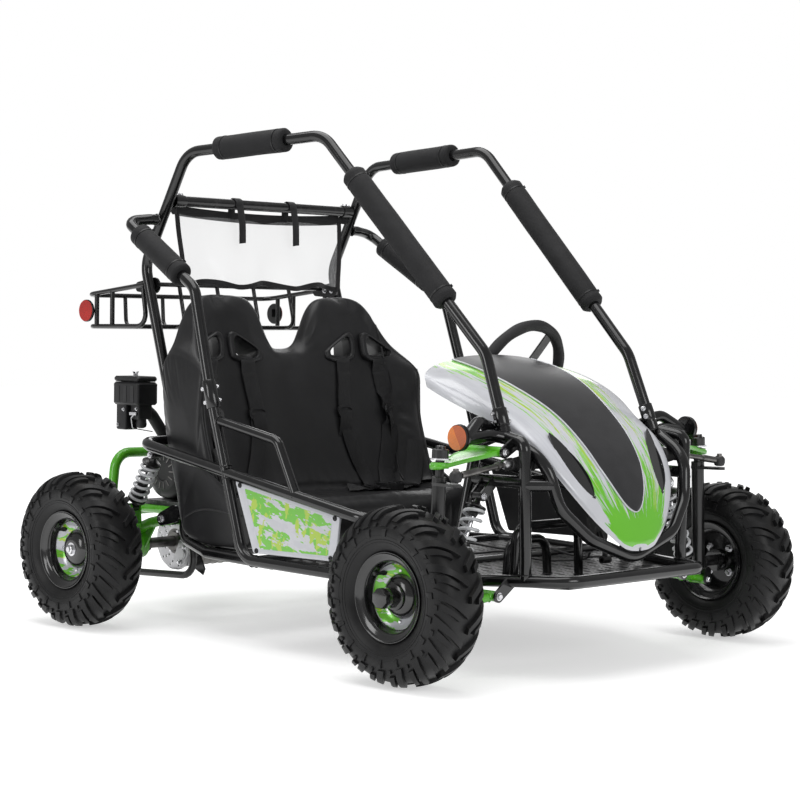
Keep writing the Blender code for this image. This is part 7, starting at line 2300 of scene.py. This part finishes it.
def carburettor_parts():
    """Carburettor on its rubber flange, with the float bowl, linkage and the wing of the nut."""
    parts = [soft_box((-0.226, 0.672, 0.436), (-0.186, 0.711, 0.500), 0.006, COVER),
             soft_box((-0.216, 0.634, 0.462), (-0.172, 0.668, 0.500), 0.006, RUBBER),
             turned([(0, 0.0120), (0.014, 0.0135), (0.020, 0.0120), (0.023, 0.0060)], (-0.194, 0.651, 0.463), -Z_AXIS,
                    24, RUBBER)]
    for y, z in ((0.680, 0.486), (0.702, 0.448), (0.642, 0.488)):
        parts += bolt((-0.226 if y > 0.67 else -0.216, y, z), -X_AXIS, 0.0034, FASTENER, 0.0040)
    rod = [(-0.222, 0.640, 0.478), (-0.222, 0.655, 0.466), (-0.212, 0.662, 0.440), (-0.150, 0.662, 0.430)]
    parts.append(tube(rod, 0.0013, 0.006, 8, FASTENER))
    parts.append(bar((-0.2205, 0.650, 0.476), (0.003, 0.026, 0.007), finish=FASTENER))
    for fore in (1, -1):
        parts.append(plate([(0, 0), (0.007, 0.001), (0.009, 0.005), (0.003, 0.004)], 0.002,
                           (-0.199, 0.668, 0.5735), X_AXIS * fore, Z_AXIS, FASTENER))
    return parts


def intake_parts():
    """Bent neck from the air box to the cylinder, and the plug lead."""
    neck = [(-0.196, 0.664, 0.505), (-0.150, 0.664, 0.470), (-0.100, 0.664, 0.405), (-0.060, 0.664, 0.400)]
    lead = [(0.030, 0.600, 0.408), (0.030, 0.578, 0.412), (0.010, 0.572, 0.440), (-0.030, 0.590, 0.446)]
    return [tube(neck, 0.015, 0.03, 20, RUBBER), soft_box((-0.105, 0.642, 0.384), (-0.058, 0.690, 0.424), 0.005),
            turned([(0, 0.016), (0.016, 0.016), (0.019, 0.010)], (-0.086, 0.666, 0.384), -Z_AXIS, 24),
            tube(lead, 0.0035, 0.012, 12, RUBBER),
            turned([(0, 0.0085), (0.020, 0.0080), (0.024, 0.0050)], lead[0], -Y_AXIS, 20, RUBBER)]


def exhaust_parts():
    """Exhaust pipe, banded silencer and its outlet."""
    pipe = [(-0.060, 0.592, 0.352), (-0.060, 0.545, 0.340), (-0.060, 0.548, 0.165)]
    silencer = [(-0.161, 0.0060), (-0.160, 0.0290), (-0.154, 0.0350), (-0.150, 0.0366), (0.020, 0.0366),
                (0.024, 0.0350), (0.030, 0.0290), (0.031, 0.0060)]
    outlet = [(-0.170, 0.0060), (-0.170, 0.0090), (-0.158, 0.0090), (-0.158, 0.0060)]
    parts = [tube(pipe, 0.0105, 0.03, 20, STEEL), turned(silencer, (0, 0.560, 0.143), X_AXIS, 40, STEEL),
             turned(outlet, (0, 0.548, 0.150), X_AXIS, 20, STEEL, closed=True)]
    for k in range(7):
        x = -0.135 + k * 0.0235
        parts.append(turned(even([(-0.0018, 0.0366), (-0.0014, 0.0376)]), (x, 0.560, 0.143), X_AXIS, 40, STEEL))
    return parts


engine = block_parts() + starter_parts() + side_cover_parts() + tank_parts() + air_box_parts()
engine += carburettor_parts() + intake_parts() + exhaust_parts()
make_piece("petrol_engine", engine, [alloy, black_plastic, dark_steel, gloss_plastic, black_rubber, zinc],
           "swing_arm", angle=38, stands_for=["engine"])
print("engine dressed")

# %% [markdown]
# ## Luggage basket, reflectors and window
# The basket hangs behind the cage on flat plates. It is bent from rod, with round red
# reflectors at its sides. A clear vinyl window with webbing edges hangs from the crossbar.
# It keeps spray off the riders and moves freely, so it is a thin sheet with soft folds.

# %% Basket
def basket_parts():
    """Rim, floor, slats, uprights and the bolted side plates."""
    x, rear, top, floor, rod = 0.294, 0.7405, 0.763, 0.690, 0.0058
    parts = [tube(around([(x, 0.518, 0.788), (x, rear, top)]), rod, 0.03, 14),
             tube(around([(x, 0.524, 0.785), (x, 0.507, floor), (x, rear - 0.005, floor - 0.003)]), rod, 0.03, 14)]
    parts += [straight_across(x, y, z, rod * 0.93, 14) for y, z in ((0.532, 0.7895), (0.545, floor - 0.001))]
    for k in range(4):
        at = (k - 1.5) * 0.118
        parts.append(tube([(at, 0.532, 0.7895), (at, 0.507, floor), (at, rear - 0.005, floor - 0.003),
                           (at, rear, top)], rod * 0.85, 0.02, 12))
    for side in (1, -1):
        parts.append(plate(link_outline((0.487, 0.786), (0.545, 0.783), 0.019, 0.012, 14), 0.005, (0.2876 * side, 0, 0),
                           Y_AXIS, Z_AXIS))
        for y in (0.487, 0.512):
            parts += bolt(((0.2876 - 0.0030) * side, y, 0.786), -X_AXIS * side, 0.0055, 1, 0.0055)
        for y in (rear - 0.040, 0.640):
            parts.append(tube([(x * side, y, floor - 0.001), (x * side, y, 0.774 if y < 0.65 else 0.767)], rod, 0, 14))
    return parts


make_piece("luggage_basket", basket_parts(), [frame_black, zinc], "chassis", angle=36,
           stands_for=["rear_basket"])


def reflector_parts(at, axis, radius, split):
    """A round prism reflector in two tones, with its housing behind."""
    first, second = square_to(axis, Vector(split))
    parts = [turned([(-0.004, 0.003), (-0.003, radius * 0.94), (-0.001, radius), (0.0035, radius),
                     (0.0042, radius * 0.96), (0.0042, 0.003)], at, axis, 40)]
    for sign, finish in ((1, 1), (-1, 2)):
        arc = [(radius * 0.95 * math.cos(math.pi * k / 16), sign * radius * 0.95 * math.sin(math.pi * k / 16))
               for k in range(17)]
        parts.append(plate(arc, 0.0024, Vector(at) + Vector(axis) * 0.0046, first, second, finish))
        for k in range(-4, 5):
            off = k * radius * 0.19
            span = math.sqrt(max(0.0, (radius * 0.90) ** 2 - off ** 2))
            middle = Vector(at) + Vector(axis) * 0.0058 + first * off + second * sign * span / 2
            parts.append(bar(middle, (0.0012, span * 0.92, 0.0010), first, second, finish))
    return parts


for label, side in SIDES.items():
    make_piece(f"amber_reflector_{label}", reflector_parts((0.3725 * side, -0.5775, 0.481), X_AXIS * side, 0.0262,
                                                           (0, 0.55, 1)),
               [black_plastic, amber_lens, orange_lens], "chassis", angle=40)
    stem = bar((0.297 * side, 0.725, 0.7265), (0.014, 0.012, 0.020))
    make_piece(f"red_reflector_{label}", reflector_parts((0.3045 * side, 0.725, 0.725), X_AXIS * side, 0.0268,
                                                         (0, 0, 1)) + [stem],
               [black_plastic, red_lens, red_lens], "chassis", angle=40)
print("basket and reflectors on")


# %% Window sheet with webbing edges
clear_vinyl = finish("clear_vinyl", (0.86, 0.87, 0.88), 0.14, fine=26, relief=0.35, depth=0.002, drift=0.03)
clear_vinyl.node_tree.nodes["Principled BSDF"].inputs["Alpha"].default_value = 0.24
WINDOW_HALF, WINDOW_DROP = 0.262, 0.170


def window_point(u, v):
    """u from -1 to 1 across, v from 0 at the top to 1 at the hem."""
    sag = 0.010 * (1 - u * u) * (1 - v)
    narrow = 1 - 0.05 * v * v
    fold = 0.010 * math.sin(u * 7.5 + 1.2) * v + 0.006 * math.sin(u * 15 + 0.5) * v * v
    wander = noise.noise(Vector((u * 2.2, v * 1.8, 4.0))) * 0.012 * v
    return Vector((u * WINDOW_HALF * narrow, CROSSBAR.y + 0.0165 - 0.022 * v + fold + wander,
                   CROSSBAR.z - 0.021 - sag - WINDOW_DROP * v + 0.006 * math.cos(u * 9) * v))


columns, rows = 64, 22
grid = [[window_point(2 * c / columns - 1, r / rows) for c in range(columns + 1)] for r in range(rows + 1)]
points = [p for line in grid for p in line]
wide = columns + 1
faces = [(r * wide + c, r * wide + c + 1, (r + 1) * wide + c + 1, (r + 1) * wide + c)
         for r in range(rows) for c in range(columns)]
window = make_piece("rear_window_sheet", [(points, faces, 0)], clear_vinyl, "chassis", angle=180)
hems = []
for r, width in ((0, 0.024), (rows, 0.012)):
    hems.append(strap(grid[r], width, 0.0014, Y_AXIS))
for c in (0, columns):
    hems.append(strap([grid[r][c] for r in range(rows + 1)], 0.014, 0.0014, Y_AXIS))
for u in (-0.36, 0.30):
    x = u * WINDOW_HALF
    loop = [(x, CROSSBAR.y - 0.0150 * math.cos(a), CROSSBAR.z + 0.0150 * math.sin(a))
            for a in (math.pi * k / 8 - 0.4 for k in range(10))]
    hems.append(strap([Vector(p) for p in loop] + [window_point(u, 0.02)], 0.022, 0.0016,
                      [(Vector(p) - CROSSBAR) * Vector((0, 1, 1)) for p in loop] + [Y_AXIS]))
    tail = [(x, CROSSBAR.y - 0.0158, CROSSBAR.z - 0.004), (x + 0.004, CROSSBAR.y - 0.020, CROSSBAR.z - 0.045),
            (x + 0.010, CROSSBAR.y - 0.015, CROSSBAR.z - 0.092)]
    hems.append(strap(smooth_path(tail, 5), 0.021, 0.0016, Y_AXIS))
for side in (1, -1):
    start = window_point(side, 0.0)
    anchor = Vector((0.2925 * side, CROSSBAR.y + 0.004, CROSSBAR.z - 0.012))
    hems.append(strap([start, (start + anchor) / 2 + Vector((0, 0, -0.006)), anchor], 0.018, 0.0014, Y_AXIS))
edging = make_piece("window_webbing", hems, webbing, "chassis", angle=50)
print("window hung")

# %% Cables and the brake pipe
def line_along(name, radius, across):
    """A line clipped along the frame; across holds its distance from the middle at each clip."""
    points = [(x, y, z) for x, (y, z) in zip(across, CLIPS)]
    make_piece(name, [tube(smooth_path(points, 8), radius, 0, 10)], black_rubber, "chassis", angle=70)


CLIPS = [(-0.520, 0.215), (-0.500, 0.199), (-0.400, 0.1905), (-0.330, 0.2010), (-0.290, 0.2010), (-0.200, 0.1905),
         (-0.020, 0.1990), (0.040, 0.1860)]
line_along("throttle_cable", 0.0026, (0.226, 0.224, 0.215, 0.205, 0.200, 0.195, 0.190, 0.188))
line_along("brake_pipe", 0.0024, (0.112, 0.108, 0.090, 0.075, 0.070, 0.060, 0.050, 0.048))
print("cables clipped")
